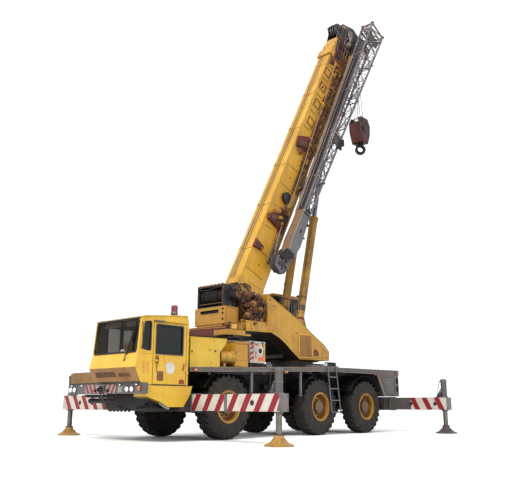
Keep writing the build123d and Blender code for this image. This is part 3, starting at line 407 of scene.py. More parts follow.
def beam_bands(name, s, red_at, period, slope, share, start, plain_from=None):
    """outrigger beam: slanting dark red bands on off-white outside a given reach, bare grey steel inside it,
    on the top and underside and on the jack's column"""
    m = Nodes(name)
    q = m.sep()
    y = m.math("MULTIPLY", m.math("SUBTRACT", q[1], OFF.y), float(s))
    z = m.math("SUBTRACT", q[2], .61)
    v = m.math("SUBTRACT", y, m.math("MULTIPLY", z, slope))
    v = m.math("ADD", m.math("DIVIDE", m.math("SUBTRACT", v, red_at), period), 20.5 - .0)
    f = m.math("FRACT", v)
    d = m.math("ABSOLUTE", m.math("SUBTRACT", f, .5))
    wob = m.math("MULTIPLY", m.math("SUBTRACT", m.noise(14, 3), .5), .05)
    band = m.math("LESS_THAN", m.math("ADD", d, wob), share / 2)
    worn = m.ramp(m.noise(9, 6, .7), .56, .70, 0, .55)
    white = m.mix(worn, c4(srgb(174, 170, 164)), c4(srgb(136, 128, 122)))
    red = m.mix(worn, c4(srgb(122, 22, 38)), c4(srgb(88, 24, 32)))
    col = m.mix(band, white, red)
    grey = m.mix(m.noise(5, 5, .6), c4(srgb(92, 88, 90)), c4(srgb(66, 62, 64)))
    g = m.n("ShaderNodeNewGeometry")
    nz = m.math("ABSOLUTE", m.sep(g.outputs["Normal"])[2])
    plain = m.math("MAXIMUM", m.math("LESS_THAN", y, start), m.math("GREATER_THAN", nz, .7))
    plain = m.math("MAXIMUM", plain, m.math("GREATER_THAN", q[2], .9345))
    plain = m.math("MAXIMUM", plain, m.math("LESS_THAN", q[2], .605))
    col = m.mix(plain, col, grey)
    dirt = m.math("MULTIPLY", m.ramp(m.noise(3.2, 7, .7), .52, .75), .45)
    col = m.mix(dirt, col, c4((.06, .045, .036)))
    col = m.mix(m.math("MULTIPLY", m.ramp(m.noise(30, 3, .5), .64, .68), .55), col, c4((.13, .05, .028)))
    m.link(col, m.bsdf.inputs["Base Color"])
    m.link(m.math("ADD", m.math("MULTIPLY", m.noise(12, 3), .25), .4), m.bsdf.inputs["Roughness"])
    m.bump(m.noise(80, 2), .1, .001)
    MATS[name] = m.mat


# name, side, reach of a red band's middle at the lower edge, pitch, lean out per metre up, red share, start of the bands
for name, s, red_at, period, slope, share, start in (
        ("beam_front_port", 1, 1.27, .355, .56, .43, 1.25), ("beam_front_starboard", -1, 2.87, .37, .65, .43, 1.25),
        ("beam_rear_port", 1, 2.10, .365, -.5, .43, 1.89), ("beam_rear_starboard", -1, 1.50, .365, -.5, .43, 1.15)):
    beam_bands(name, s, red_at, period, slope, share, start)

# ============================================================ carried CAD nodes ===
NODE_MAT = {"cab_shell": "cab_shell_paint", "cab_door": "cab_shell_paint", "nose_cowl": "nose_top", "engine_cover": "body_yellow", "air_cleaner": "upper_yellow",
            "side_box": "upper_yellow", "turntable": "turntable_paint", "counterweight": "upper_yellow", "operator_cab": "operator_cab_paint",
            "operator_door": "operator_cab_paint", "boom_base": "boom_yellow", "boom_section_2": "boom_yellow", "boom_section_3": "boom_yellow",
            "boom_head": "dark_grey", "jib": "steel_grey", "hook_block": "maroon", "low_sheaves": "black_iron", "winch": "black_paint",
            "valve_unit": "brown_rust", "carrier_frame": "chassis_grey", "deck": "deck_grey", "ladder": "steel_grey", "fuel_tank": "dark_grey",
            "axle_front": "black_paint", "axle_middle": "black_paint", "axle_rear": "black_paint", "knuckle_port": "black_paint",
            "knuckle_starboard": "black_paint", "front_bumper": "bumper_grey", "battery_box": "white_paint", "hook": "black_iron", "engine": "black_iron",
            "gearbox": "black_paint", "cab_windscreen": "windscreen", "steering_wheel": "seal_black", "driver_seat": "seat_vinyl"}
for s in ("port", "starboard"):
    NODE_MAT["lift_cylinder_" + s] = "barrel_yellow"
    NODE_MAT["lift_rod_" + s] = "rod"
    for a in ("front", "middle", "rear"):
        NODE_MAT["tyre_%s_%s" % (a, s)] = "tyre_black"
        NODE_MAT["rim_%s_%s" % (a, s)] = "rim_yellow"
    for a in ("front", "rear"):
        NODE_MAT["beam_%s_%s" % (a, s)] = "beam_%s_%s" % (a, s)
        NODE_MAT["jack_%s_%s" % (a, s)] = "worn_steel"
for n, o in N.items():
    o.data.materials.clear()
    o.data.materials.append(MATS[NODE_MAT[n]])


# ============================================================ mesh builder =======
Y_ = Vector((0, 1, 0))
LUFF = radians(62.8)
U_ = Vector((-cos(LUFF), 0, sin(LUFF)))
N_ = Vector((-sin(LUFF), 0, -cos(LUFF)))
TOP0 = Vector((.25, 0, 3.3))


def frame_of(origin, a, b):
    """4x4 whose x runs along a and y along b"""
    a = Vector(a).normalized()
    b = (Vector(b) - a * Vector(b).dot(a)).normalized()
    c = a.cross(b)
    m = Matrix((a, b, c)).transposed().to_4x4()
    m.translation = Vector(origin)
    return m


BOOM = frame_of(TOP0, U_, Y_)          # local x along the boom, y to port, z from its top face down
LIFT0 = Vector((-2.12, 0, 2.25))
ROD_PIN = TOP0 + U_ * 6.05 + N_ * 1.11
LIFT = frame_of(LIFT0, ROD_PIN - LIFT0, Y_)   # local x along the lift cylinder
LIFT_LEN = (ROD_PIN - LIFT0).length


def arc_path(pts, n=6):
    """a smooth line through the points"""
    P = [Vector(p) for p in pts]
    if len(P) < 3:
        return P
    E = [P[0] * 2 - P[1]] + P + [P[-1] * 2 - P[-2]]
    out = []
    for i in range(1, len(E) - 2):
        a, b, c, d = E[i - 1:i + 3]
        for k in range(n):
            t = k / n
            out.append(.5 * (2 * b + (c - a) * t + (2 * a - 5 * b + 4 * c - d) * t * t + (3 * b - a - 3 * c + d) * t ** 3))
    return out + [P[-1]]


class Piece:
    """gathers bevelled solids of several materials in one object that rides on one body"""

    def __init__(self, name, body, m=None):
        self.name, self.body = name, body
        self.v, self.f, self.k, self.mats = [], [], [], []
        self.m = m or Matrix.Identity(4)

    def at(self, m=None):
        self.m = m or Matrix.Identity(4)
        return self

    def add(self, vs, fs, mat):
        if mat not in self.mats:
            self.mats.append(mat)
        k, base = self.mats.index(mat), len(self.v)
        self.v += [tuple(self.m @ Vector(v)) for v in vs]
        self.f += [tuple(base + i for i in f) for f in fs]
        self.k += [k] * len(fs)

    def box(self, x0, x1, y0, y1, z0, z1, mat, b=.004):
        x0, x1 = sorted((x0, x1))
        y0, y1 = sorted((y0, y1))
        z0, z1 = sorted((z0, z1))
        b = min(b, (x1 - x0) * .4, (y1 - y0) * .4, (z1 - z0) * .4)
        vs, ix = [], {}
        for i, x in enumerate((x0, x1)):
            for j, y in enumerate((y0, y1)):
                for k, z in enumerate((z0, z1)):
                    sx, sy, sz = (b, -b)[i], (b, -b)[j], (b, -b)[k]
                    for n, p in enumerate(((x, y + sy, z + sz), (x + sx, y, z + sz), (x + sx, y + sy, z))):
                        ix[i, j, k, n] = len(vs)
                        vs.append(p)
        g = lambda *a: ix[a]
        fs = []
        for i in (0, 1):
            fs.append((g(i, 0, 0, 0), g(i, 1, 0, 0), g(i, 1, 1, 0), g(i, 0, 1, 0)))
            fs.append((g(0, i, 0, 1), g(1, i, 0, 1), g(1, i, 1, 1), g(0, i, 1, 1)))
            fs.append((g(0, 0, i, 2), g(1, 0, i, 2), g(1, 1, i, 2), g(0, 1, i, 2)))
            for j in (0, 1):
                fs.append((g(i, j, 0, 0), g(i, j, 1, 0), g(i, j, 1, 1), g(i, j, 0, 1)))
                fs.append((g(i, 0, j, 0), g(i, 1, j, 0), g(i, 1, j, 2), g(i, 0, j, 2)))
                fs.append((g(0, i, j, 1), g(1, i, j, 1), g(1, i, j, 2), g(0, i, j, 2)))
                for k in (0, 1):
                    fs.append((g(i, j, k, 0), g(i, j, k, 1), g(i, j, k, 2)))
        self.add(vs, fs, mat)

    def prism(self, pts, v, mat, b=.003):
        """flat outline of 3-D points pushed along v, with its rims broken"""
        P, v = [Vector(p) for p in pts], Vector(v)
        n = v.normalized()
        L = len(P)
        b = min(b, v.length * .3)
        inner = []
        for i in range(L):
            a, c, d = P[i - 1], P[i], P[(i + 1) % L]
            e0, e1 = (c - a).normalized(), (d - c).normalized()
            s0, s1 = n.cross(e0), n.cross(e1)
            bis = s0 + s1
            q = bis.length_squared
            inner.append(bis * (2 * b / q) if q > .3 else s0 * b)
        area = sum((P[i - 1].cross(P[i])).dot(n) for i in range(L))
        s = 1 if area > 0 else -1
        rings = [[P[i] + inner[i] * s for i in range(L)], [p + n * b for p in P], [p + v - n * b for p in P], [P[i] + v + inner[i] * s for i in range(L)]]
        vs = [p for r in rings for p in r]
        fs = [tuple(range(L)), tuple(range(3 * L, 4 * L))]
        for r in range(3):
            fs += [(r * L + i, r * L + (i + 1) % L, (r + 1) * L + (i + 1) % L, (r + 1) * L + i) for i in range(L)]
        self.add(vs, fs, mat)

    def xz(self, pts, y0, y1, mat, b=.003):
        self.prism([(x, y0, z) for x, z in pts], (0, y1 - y0, 0), mat, b)

    def yz(self, pts, x0, x1, mat, b=.003):
        self.prism([(x0, y, z) for y, z in pts], (x1 - x0, 0, 0), mat, b)

    def xy(self, pts, z0, z1, mat, b=.003):
        self.prism([(x, y, z0) for x, y in pts], (0, 0, z1 - z0), mat, b)

    def lathe(self, prof, c, axis, mat, seg=32, closed=False):
        """prof is (radius, height) from the point c along the axis"""
        c, a = Vector(c), Vector(axis).normalized()
        e = Vector((0, 0, 1)) if abs(a.z) < .9 else Vector((1, 0, 0))
        u = a.cross(e).normalized()
        w = a.cross(u)
        vs, rows = [], []
        for r, h in prof:
            if r < 1e-6:
                rows.append([len(vs)] * seg)
                vs.append(c + a * h)
            else:
                rows.append(list(range(len(vs), len(vs) + seg)))
                vs += [c + a * h + (u * cos(2 * pi * i / seg) + w * sin(2 * pi * i / seg)) * r for i in range(seg)]
        fs = []
        pairs = list(zip(rows, rows[1:])) + ([(rows[-1], rows[0])] if closed else [])
        for p, q in pairs:
            for i in range(seg):
                j = (i + 1) % seg
                t = [p[i], p[j], q[j], q[i]]
                t = [x for n, x in enumerate(t) if x != t[n - 1]]
                if len(t) > 2:
                    fs.append(tuple(t))
        self.add(vs, fs, mat)

    def cyl(self, p, q, r, mat, seg=20, b=.003, r2=None):
        p, q = Vector(p), Vector(q)
        h = (q - p).length
        r2 = r if r2 is None else r2
        b = min(b, r * .3, h * .3)
        self.lathe([(0, 0), (r - b, 0), (r, b), (r2, h - b), (r2 - b, h), (0, h)], p, q - p, mat, seg)

    def pipe(self, p, q, r, ri, mat, seg=24, b=.003):
        """thick-walled ring or sleeve"""
        p, q = Vector(p), Vector(q)
        h = (q - p).length
        b = min(b, (r - ri) * .3, h * .3)
        self.lathe([(ri, b), (ri + b, 0), (r - b, 0), (r, b), (r, h - b), (r - b, h), (ri + b, h), (ri, h - b)], p, q - p, mat, seg, closed=True)

    def torus(self, c, axis, R, r, mat, seg=32, rs=10):
        self.lathe([(R + r * cos(2 * pi * i / rs), r * sin(2 * pi * i / rs)) for i in range(rs)], c, axis, mat, seg, closed=True)

    def hose(self, pts, r, mat, seg=8, n=6, smooth=True):
        P = arc_path(pts, n) if smooth else [Vector(p) for p in pts]
        vs, fs = [], []
        t = (P[1] - P[0]).normalized()
        e = Vector((0, 0, 1)) if abs(t.z) < .9 else Vector((1, 0, 0))
        u = t.cross(e).normalized()
        L = len(P)
        for i, p in enumerate(P):
            t = (P[min(i + 1, L - 1)] - P[max(i - 1, 0)])
            if t.length < 1e-7:
                t = Vector((0, 0, 1))
            t.normalize()
            u = (u - t * u.dot(t)).normalized()
            w = t.cross(u)
            vs += [p + (u * cos(2 * pi * k / seg) + w * sin(2 * pi * k / seg)) * r for k in range(seg)]
        for i in range(L - 1):
            fs += [(i * seg + k, i * seg + (k + 1) % seg, (i + 1) * seg + (k + 1) % seg, (i + 1) * seg + k) for k in range(seg)]
        a, z = len(vs), len(vs) + 1
        vs += [P[0], P[-1]]
        fs += [(a, (k + 1) % seg, k) for k in range(seg)] + [(z, (L - 1) * seg + k, (L - 1) * seg + (k + 1) % seg) for k in range(seg)]
        self.add(vs, fs, mat)

    def bolt(self, p, axis, r=.012, h=.009, mat="worn_steel"):
        """hexagon head on a washer"""
        p, a = Vector(p), Vector(axis).normalized()
        self.lathe([(r * 1.45, 0), (r * 1.45, h * .2), (0, h * .2)], p, a, mat, 10)
        self.lathe([(r, h * .2), (r, h * .85), (r * .8, h), (0, h)], p, a, mat, 6)

    def bolts(self, ps, axis, r=.012, h=.009, mat="worn_steel"):
        for p in ps:
            self.bolt(p, axis, r, h, mat)

    def ring_of(self, c, axis, R, n, r=.012, h=.012, mat="worn_steel", turn=0.0):
        c, a = Vector(c), Vector(axis).normalized()
        e = Vector((0, 0, 1)) if abs(a.z) < .9 else Vector((1, 0, 0))
        u = a.cross(e).normalized()
        w = a.cross(u)
        for i in range(n):
            t = 2 * pi * (i + turn) / n
            self.bolt(c + (u * cos(t) + w * sin(t)) * R, a, r, h, mat)

    def frame(self, outer, inner, v, mat, b=.002):
        """flat ring between two outlines with the same number of points"""
        L = len(outer)
        O, I, v = [Vector(p) for p in outer], [Vector(p) for p in inner], Vector(v)
        vs = O + I + [p + v for p in O] + [p + v for p in I]
        fs = []
        for i in range(L):
            j = (i + 1) % L
            fs += [(i, j, L + j, L + i), (2 * L + i, 3 * L + i, 3 * L + j, 2 * L + j), (i, 2 * L + i, 2 * L + j, j), (L + i, L + j, 3 * L + j, 3 * L + i)]
        self.add(vs, fs, mat)

    def done(self, sharp=35, bevel=0.0):
        me = bpy.data.meshes.new(self.name)
        me.from_pydata([tuple(Vector(v) + OFF) for v in self.v], [], self.f)
        for m in self.mats:
            me.materials.append(MATS[m])
        me.polygons.foreach_set("material_index", self.k)
        bm = bmesh.new()
        bm.from_mesh(me)
        bmesh.ops.recalc_face_normals(bm, faces=bm.faces)
        bm.to_mesh(me)
        bm.free()
        me.update()
        me.polygons.foreach_set("use_smooth", [True] * len(me.polygons))
        me.set_sharp_from_angle(angle=radians(sharp))
        o = bpy.data.objects.new(self.name, me)
        bpy.context.scene.collection.objects.link(o)
        if self.body:
            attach(o, self.body)
        COUNT[self.name] = sum(len(f) - 2 for f in self.f)
        return o


    def rope_done(self):
        """a rope that runs from one body to the next, built without a body and baked into place"""
        o = self.done()
        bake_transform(o)
        return o


COUNT = {}
PORT, STAR = 1, -1
SIDES = (("port", 1), ("starboard", -1))


def round_rect(cx, cy, w, h, r, n=5):
    """outline of a rounded rectangle"""
    out = []
    for sx, sy, a0 in ((1, 1, 0), (-1, 1, 90), (-1, -1, 180), (1, -1, 270)):
        for k in range(n + 1):
            a = radians(a0 + 90 * k / n)
            out.append((cx + sx * (w / 2 - r) + r * cos(a), cy + sy * (h / 2 - r) + r * sin(a)))
    return out


def round_poly(pts, r, n=4):
    """outline with its corners rounded"""
    P = [Vector((p[0], p[1], 0)) for p in pts]
    out = []
    for i in range(len(P)):
        a, c, d = P[i - 1], P[i], P[(i + 1) % len(P)]
        e0, e1 = (a - c).normalized(), (d - c).normalized()
        ang = e0.angle(e1)
        t = min(r / tan(ang / 2), (a - c).length * .45, (d - c).length * .45)
        s, e = c + e0 * t, c + e1 * t
        for k in range(n + 1):
            u = k / n
            q = s * (1 - u) ** 2 + c * 2 * u * (1 - u) + e * u * u
            out.append((q.x, q.y))
    return out


def grow(pts, d):
    """outline moved out by d (in if negative); the points run round it either way"""
    P = [Vector((p[0], p[1], 0)) for p in pts]
    L = len(P)
    area = sum(P[i - 1].x * P[i].y - P[i].x * P[i - 1].y for i in range(L))
    s = 1 if area > 0 else -1
    out = []
    for i in range(L):
        a, c, e = P[i - 1], P[i], P[(i + 1) % L]
        n0 = Vector(((c - a).y, -(c - a).x, 0)).normalized()
        n1 = Vector(((e - c).y, -(e - c).x, 0)).normalized()
        b = n0 + n1
        q = b.length_squared
        o = b * (2 * d * s / q) if q > .5 else n0 * d * s
        out.append((c.x + o.x, c.y + o.y))
    return out


# ============================================================ wheels =============
TYRE_R, WHEEL_Y = .685, 1.05
AXLES = (("front", 1.279), ("middle", -1.94), ("rear", -3.955))


def tyre_piece(name, body, cx, cy):
    """lugged crossply tyre: carcass from a lathed section, deep staggered bars over each shoulder"""
    P = Piece(name, body)
    c = Vector((cx, cy, TYRE_R))
    half = [(.3185, .168), (.342, .1795), (.372, .184), (.42, .1865), (.47, .1872), (.52, .1868), (.57, .1845), (.605, .179), (.632, .168), (.650, .150), (.658, .11), (.660, .05)]
    prof = [(r, y) for r, y in half] + [(r, -y) for r, y in reversed(half)]
    prof += [(.3185, -.13), (.40, -.15), (.58, -.15), (.61, -.1), (.61, .1), (.58, .15), (.40, .15), (.3185, .13)]
    P.lathe(prof, c, (0, 1, 0), "tyre_black", 72, closed=True)
    # rings moulded in each sidewall
    for s in (-1, 1):
        for r, y, w in ((.362, .1838, .004), (.47, .1876, .0035), (.555, .1862, .003)):
            P.torus(c + Vector((0, s * y, 0)), (0, 1, 0), r, w, "tyre_black", 72, 6)
        # fine ribs where the sidewall meets the shoulder
        for i in range(48):
            a = 2 * pi * i / 48
            e = Vector((cos(a), 0, sin(a)))
            t = Vector((-sin(a), 0, cos(a)))
            p = c + e * .592 + Vector((0, s * .1815, 0))
            vs = []
            for q, h in ((-1, 0), (1, 0)):
                vs += [p + t * .006 * q + e * -.03, p + t * .006 * q + e * .03 + Vector((0, -s * .012, 0)),
                       p + t * .003 * q + e * .028 + Vector((0, s * -.004, 0)), p + t * .003 * q + e * -.028 + Vector((0, s * .006, 0))]
            P.add(vs, [(0, 1, 2, 3), (4, 7, 6, 5), (3, 2, 6, 7), (0, 3, 7, 4), (1, 5, 6, 2)], "tyre_black")
    # lugs: two staggered rows of bars, each swept and bent over its shoulder
    n = 26
    for s in (-1, 1):
        for i in range(n):
            a0 = 2 * pi * (i + (.5 if s > 0 else 0)) / n
            rows = []
            # y on the tread, radius of the foot, radius of the top, sweep of the bar, half width
            for y, rf, rt, sw, hw in ((.012, .655, .6835, .075, .019), (.06, .655, .6845, .048, .021), (.118, .652, .6835, .018, .024), (.152, .640, .679, -.004, .027),
                                      (.1725, .620, .668, -.016, .028), (.1835, .600, .640, -.020, .027), (.1835, .585, .603, -.022, .024)):
                a = a0 + sw / TYRE_R * (1 if s > 0 else -1) * 1.0
                e, t = Vector((cos(a), 0, sin(a))), Vector((-sin(a), 0, cos(a)))
                o = Vector((0, s * y, 0))
                flat = rf < .63
                top = c + e * rt + o
                foot = c + e * rf + o
                if flat:
                    foot = c + e * rf + Vector((0, s * (y - .012), 0))
                    top = c + e * rt + Vector((0, s * (y + .0035), 0))
                rows.append([foot - t * (hw + .006), top - t * hw, top + t * hw, foot + t * (hw + .006)])
            vs = [p for r in rows for p in r]
            fs = [(0, 1, 2, 3), tuple(4 * (len(rows) - 1) + k for k in (3, 2, 1, 0))]
            for r in range(len(rows) - 1):
                for k in range(3):
                    fs.append((4 * r + k, 4 * r + k + 1, 4 * r + k + 5, 4 * r + k + 4))
            P.add(vs, fs, "tyre_black")
    return P.done(sharp=28)


def wheel_trim(name, body, cx, s, front):
    """what shows in the rim: lock ring, studs and nuts, hand holes, hub and its cap; the drum behind"""
    P = Piece(name, body)
    c = Vector((cx, s * WHEEL_Y, TYRE_R))
    a = Vector((0, s, 0))
    at = lambda h: c + a * h
    # gutter and lock ring on the outer edge
    P.torus(at(.186), a, .343, .0075, "rim_yellow", 56, 8)
    P.torus(at(.178), a, .328, .006, "rim_yellow", 56, 8)
    P.lathe([(.300, .060), (.3035, .064), (.3035, .150), (.310, .176), (.304, .178), (.297, .152), (.297, .066)], c, a, "rim_yellow", 56, closed=True)
    # rust-brown well round the disc
    P.lathe([(.302, .0615), (.302, .068), (.262, .0535), (.24, .0375), (.24, .0315), (.262, .0475)], c, a, "brown_rust", 56, closed=True)
    # disc face with a raised stud ring
    P.lathe([(.236, .031), (.236, .037), (.150, .0465), (.150, .041)], c, a, "rim_yellow", 48, closed=True)
    P.lathe([(.205, .034), (.203, .046), (.160, .050), (.158, .040)], c, a, "rim_yellow", 48, closed=True)
    for i in range(10):
        t = 2 * pi * i / 10
        e = Vector((cos(t), 0, sin(t)))
        p = c + e * .1815
        P.cyl(p + a * .046, p + a * .052, .024, "worn_steel", 14, .002)
        P.lathe([(.0195, 0), (.0195, .017), (.0165, .021), (0, .021)], p + a * .052, a, "worn_steel", 6)
        P.cyl(p + a * .07, p + a * .088, .0105, "worn_steel", 8, .002)
    # hub: grey-brown drum with a flanged cap
    P.lathe([(.141, .045), (.141, .118), (.134, .150), (.112, .163), (.112, .169), (.060, .176), (0, .178)], c, a, "hub_grey", 40)
    P.torus(at(.121), a, .1395, .005, "hub_grey", 40, 8)
    P.ring_of(at(.160), a, .122, 8, .0085, .010, "worn_steel")
    P.lathe([(.058, .174), (.058, .184), (.050, .189), (0, .190)], c, a, "hub_grey", 24)
    # valve stem and hand holes as dark recesses
    for i in range(5):
        t = 2 * pi * (i + .5) / 5
        e = Vector((cos(t), 0, sin(t)))
        P.lathe([(.0255, -.001), (.0255, .004), (.0205, .004), (.0205, -.001)], c + e * .222 + a * .0355, a, "rim_yellow", 16, closed=True)
        P.cyl(c + e * .222 + a * .033, c + e * .222 + a * .0375, .0205, "black_iron", 16, .001)
    e = Vector((cos(.6), 0, sin(.6)))
    P.hose([c + e * .285 + a * .07, c + e * .286 + a * .11, c + e * .272 + a * .135], .006, "worn_steel", 8)
    # brake drum on the inner side
    P.lathe([(.305, -.17), (.305, -.03), (.28, .0), (.16, .004), (.16, -.055), (.150, -.06), (.150, -.14), (.285, -.145), (.285, -.17)], c, a, "black_iron", 48, closed=True)
    P.lathe([(.29, -.172), (.29, -.158), (.165, -.150), (.165, -.172)], c, a, "black_iron", 48, closed=True)
    P.ring_of(c + a * -.168, -a, .24, 12, .011, .010, "black_iron")
    for r, h in ((.312, -.184), (.333, -.1945)):
        P.torus(c + a * h, a, r, .006, "rim_dark", 48, 8)
    return P.done()


for ax, cx in AXLES:
    for side, s in SIDES:
        body = "wheel_%s_%s" % (ax, side)
        t = tyre_piece("tyre_lugged_%s_%s" % (ax, side), body, cx, s * WHEEL_Y)
        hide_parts("tyre_%s_%s" % (ax, side))
        wheel_trim("wheel_trim_%s_%s" % (ax, side), body, cx, s, ax == "front")


# ============================================================ outriggers =========
# name, side, x, reach, inner end of the beam
BEAMS = (("front_port", 1, 2.22, 3.5, .85), ("front_starboard", -1, 2.5, 3.05, .4), ("rear_port", 1, -5.29, 2.85, .2), ("rear_starboard", -1, -5.0, 1.6, -1.05))
BW, BZ0, BZ1 = .125, .61, .93

for name, s, x, reach, inner in BEAMS:
    P = Piece("beam_trim_" + name, "outrigger_" + name)
    Y = lambda v: s * v
    end = reach + .125
    # end plate
    P.box(x - BW - .003, x + BW + .003, Y(end - .012), Y(end + .006), BZ0 - .004, BZ1 + .004, "beam_plain", .004)
    for i in (-1, 1):
        P.bolts([(x + i * .095, Y(end + .006), z) for z in (BZ0 + .04, BZ1 - .04)], (0, s, 0), .011, .009)
    # top and bottom weld strips
    for zz in (BZ1, BZ0):
        for i in (-1, 1):
            P.hose([(x + i * (BW - .006), Y(inner + .12), zz), (x + i * (BW - .006), Y(end - .02), zz)], .0035, "beam_plain", 6, smooth=False)
    # column: collar where it comes out of the beam, gussets, cap with its pipes
    c = lambda z: (x, Y(reach), z)
    for z0, z1, r in ((BZ1 - .002, BZ1 + .03, .098), (BZ1 + .20, BZ1 + .225, .088), (1.33, 1.402, .087), (BZ0 - .028, BZ0 + .002, .094)):
        P.pipe(c(z0), c(z1), r, .0785, "steel_grey", 28)
    P.ring_of(c(1.402), (0, 0, 1), .055, 6, .0085, .009)
    P.cyl(c(1.398), c(1.418), .045, "steel_grey", 20)
    if name != "rear_starboard":
        # grey plates beside the column, on the chassis side
        P.xy([(x - .05, Y(reach - .075)), (x + .05, Y(reach - .075)), (x + .05, Y(reach - .20)), (x - .05, Y(reach - .20))], BZ1, BZ1 + .012, "steel_grey")
        for i in (-1, 1):
            P.prism([(x + i * .05, Y(reach - .07), BZ1 + .008), (x + i * .05, Y(reach - .20), BZ1 + .008), (x + i * .05, Y(reach - .07), BZ1 + .24)], (i * .008, 0, 0), "steel_grey", .002)
    # hydraulic pipes to the jack
    P.hose([c(1.36), (x + .10, Y(reach - .05), 1.37), (x + .125, Y(reach - .09), 1.22), (x + .112, Y(reach - .14), 1.0), (x + .10, Y(reach - .19), BZ1 + .015), (x + .06, Y(reach - .225), BZ1 + .0085)], .0085, "hose_black", 8)
    P.hose([c(1.0), (x + .10, Y(reach - .05), 1.02), (x + .118, Y(reach - .12), .99), (x + .075, Y(reach - .20), BZ1 + .016), (x + .03, Y(reach - .225), BZ1 + .0085)], .0085, "hose_black", 8)
    for z in (1.36, 1.0):
        P.lathe([(.017, 0), (.017, .03), (0, .03)], (x + .068, Y(reach - .035), z), (.8, -s * .4, 0), "worn_steel", 6)
    if name == "front_port":
        # clamp strap round the beam and a red wedge by its end
        for i in (-1, 1):
            P.box(x + i * BW, x + i * (BW + .0045), Y(2.19), Y(2.27), BZ0 - .004, BZ1 + .004, "steel_grey", .001)
        for z in (BZ0 - .0045, BZ1):
            P.box(x - BW - .0045, x + BW + .0045, Y(2.19), Y(2.27), z, z + .0045, "steel_grey", .001)
        P.prism([(x + BW + .0003, 3.56, BZ0 + .012), (x + BW + .0003, 3.612, BZ0 + .012), (x + BW + .0003, 3.618, BZ0 + .19)], (.001, 0, 0), "board_red", .0003)
    # pin holes along the side, each a rimmed recess with a black disc in it: painted shade
    holes = {"front_port": (2.94,), "rear_port": (1.89, 2.63), "front_starboard": (1.95, 2.45), "rear_starboard": (1.35,)}[name]
    for y in holes:
        for i in (-1, 1):
            P.lathe([(.052, 0), (.052, .004), (.044, .005), (.044, 0)], (x + i * BW, Y(y), .765), (i, 0, 0), "beam_plain", 24, closed=True)
            P.lathe([(.044, .0005), (.044, .0022), (.03, .0018), (0, .0018)], (x + i * BW, Y(y), .765), (i, 0, 0), "shade_and_print_black", 24)
    P.done()

    # jack: polished rod comes from the CAD; gland, float pad with its ball cap and ribs ride with it
    Q = Piece("jack_trim_" + name, "jack_" + name)
    foot = "float_yellow" if name.startswith("front") else "float_grey"
    Q.lathe([(.2755, .0), (.277, .006), (.2755, .024), (.262, .029), (.20, .052), (.155, .072), (.105, .118), (.096, .132), (.096, .2), (.0605, .201), (.0605, .196), (.09, .19), (.09, .13), (.10, .11), (.15, .068), (.2, .047), (.26, .0225), (.27, .003)],
            (x, Y(reach), 0), (0, 0, 1), foot, 56, closed=True)
    Q.lathe([(.0605, .198), (.100, .198), (.103, .201), (.103, .205), (.1, .207), (.0605, .207)], (x, Y(reach), 0), (0, 0, 1), "black_iron", 36, closed=True)
    for i in range(8):
        t = 2 * pi * (i + .5) / 8
        e, n = Vector((cos(t), sin(t), 0)), Vector((-sin(t), cos(t), 0))
        o = Vector((x, Y(reach), 0)) - n * .004
        Q.prism([o + e * .10 + Vector((0, 0, .125)), o + e * .112 + Vector((0, 0, .105)), o + e * .158 + Vector((0, 0, .066)), o + e * .205 + Vector((0, 0, .045)), o + e * .205 + Vector((0, 0, .055)), o + e * .16 + Vector((0, 0, .088)), o + e * .108 + Vector((0, 0, .15))], n * .008, foot, .001)
    Q.done()

# ============================================================ bumper =============
P = Piece("bumper_fittings", "carrier")
F = 3.64
# rounded ends and rolled edges on the channel
for s, y0 in ((1, 1.3), (-1, -1.3)):
    P.xy([(3.545, y0 - s * .02), (F + .002, y0 - s * .02), (F - .012, y0 + s * .010), (3.60, y0 + s * .022), (3.545, y0 + s * .022)], .936, 1.134, "bumper_grey", .006)
for z in (.937, 1.133):
    P.hose([(F + .001, -1.28, z), (F + .001, 1.28, z)], .0065, "bumper_grey", 8, smooth=False)
for y0, y1 in ((-1.25, -1.02), (.72, 1.02)):
    # recessed black panel behind the twin headlamps
    P.yz(round_poly([(y0, .965), (y1, .965), (y1, 1.085), (y0, 1.085)], .02), F - .001, F + .006, "black_paint", .002)
for y in (-1.235, -1.085, .79, .945):
    c = Vector((F + .004, y, 1.022))
    P.lathe([(.060, 0), (.063, .012), (.056, .022), (.050, .020), (.050, .004)], c, (1, 0, 0), "bright_steel", 32, closed=True)
    P.lathe([(.050, .006), (.046, .014), (.032, .021), (.015, .024), (0, .025)], c, (1, 0, 0), "lamp_clear", 32)
    P.lathe([(.046, .003), (.025, .001), (0, .0005)], c, (1, 0, 0), "bright_steel", 24)
# pale marker lamps near the top edge
for y in (-.80, -1.18 + .0, .56, 1.10):
    P.yz(round_poly([(y - .032, 1.088), (y + .032, 1.088), (y + .032, 1.126), (y - .032, 1.126)], .012), F, F + .014, "black_paint", .002)
    P.yz(round_poly([(y - .026, 1.093), (y + .026, 1.093), (y + .026, 1.121), (y - .026, 1.121)], .01), F + .012, F + .022, "lamp_clear", .003)
# amber corner lamps
for y in (1.185, ):
    P.yz(round_poly([(y - .05, .975), (y + .055, .975), (y + .055, 1.085), (y - .05, 1.085)], .03), F - .002, F + .012, "black_paint", .002)
    P.yz(round_poly([(y - .042, .983), (y + .047, .983), (y + .047, 1.077), (y - .042, 1.077)], .026), F + .010, F + .030, "lamp_amber", .006)
    for k in range(4):
        P.box(F + .029, F + .0325, y - .038, y + .043, .997 + k * .022, 1.003 + k * .022, "lamp_amber", .001)
P.cyl((3.59, -1.305, 1.03), (3.59, -1.33, 1.03), .045, "lamp_amber", 20, .006)
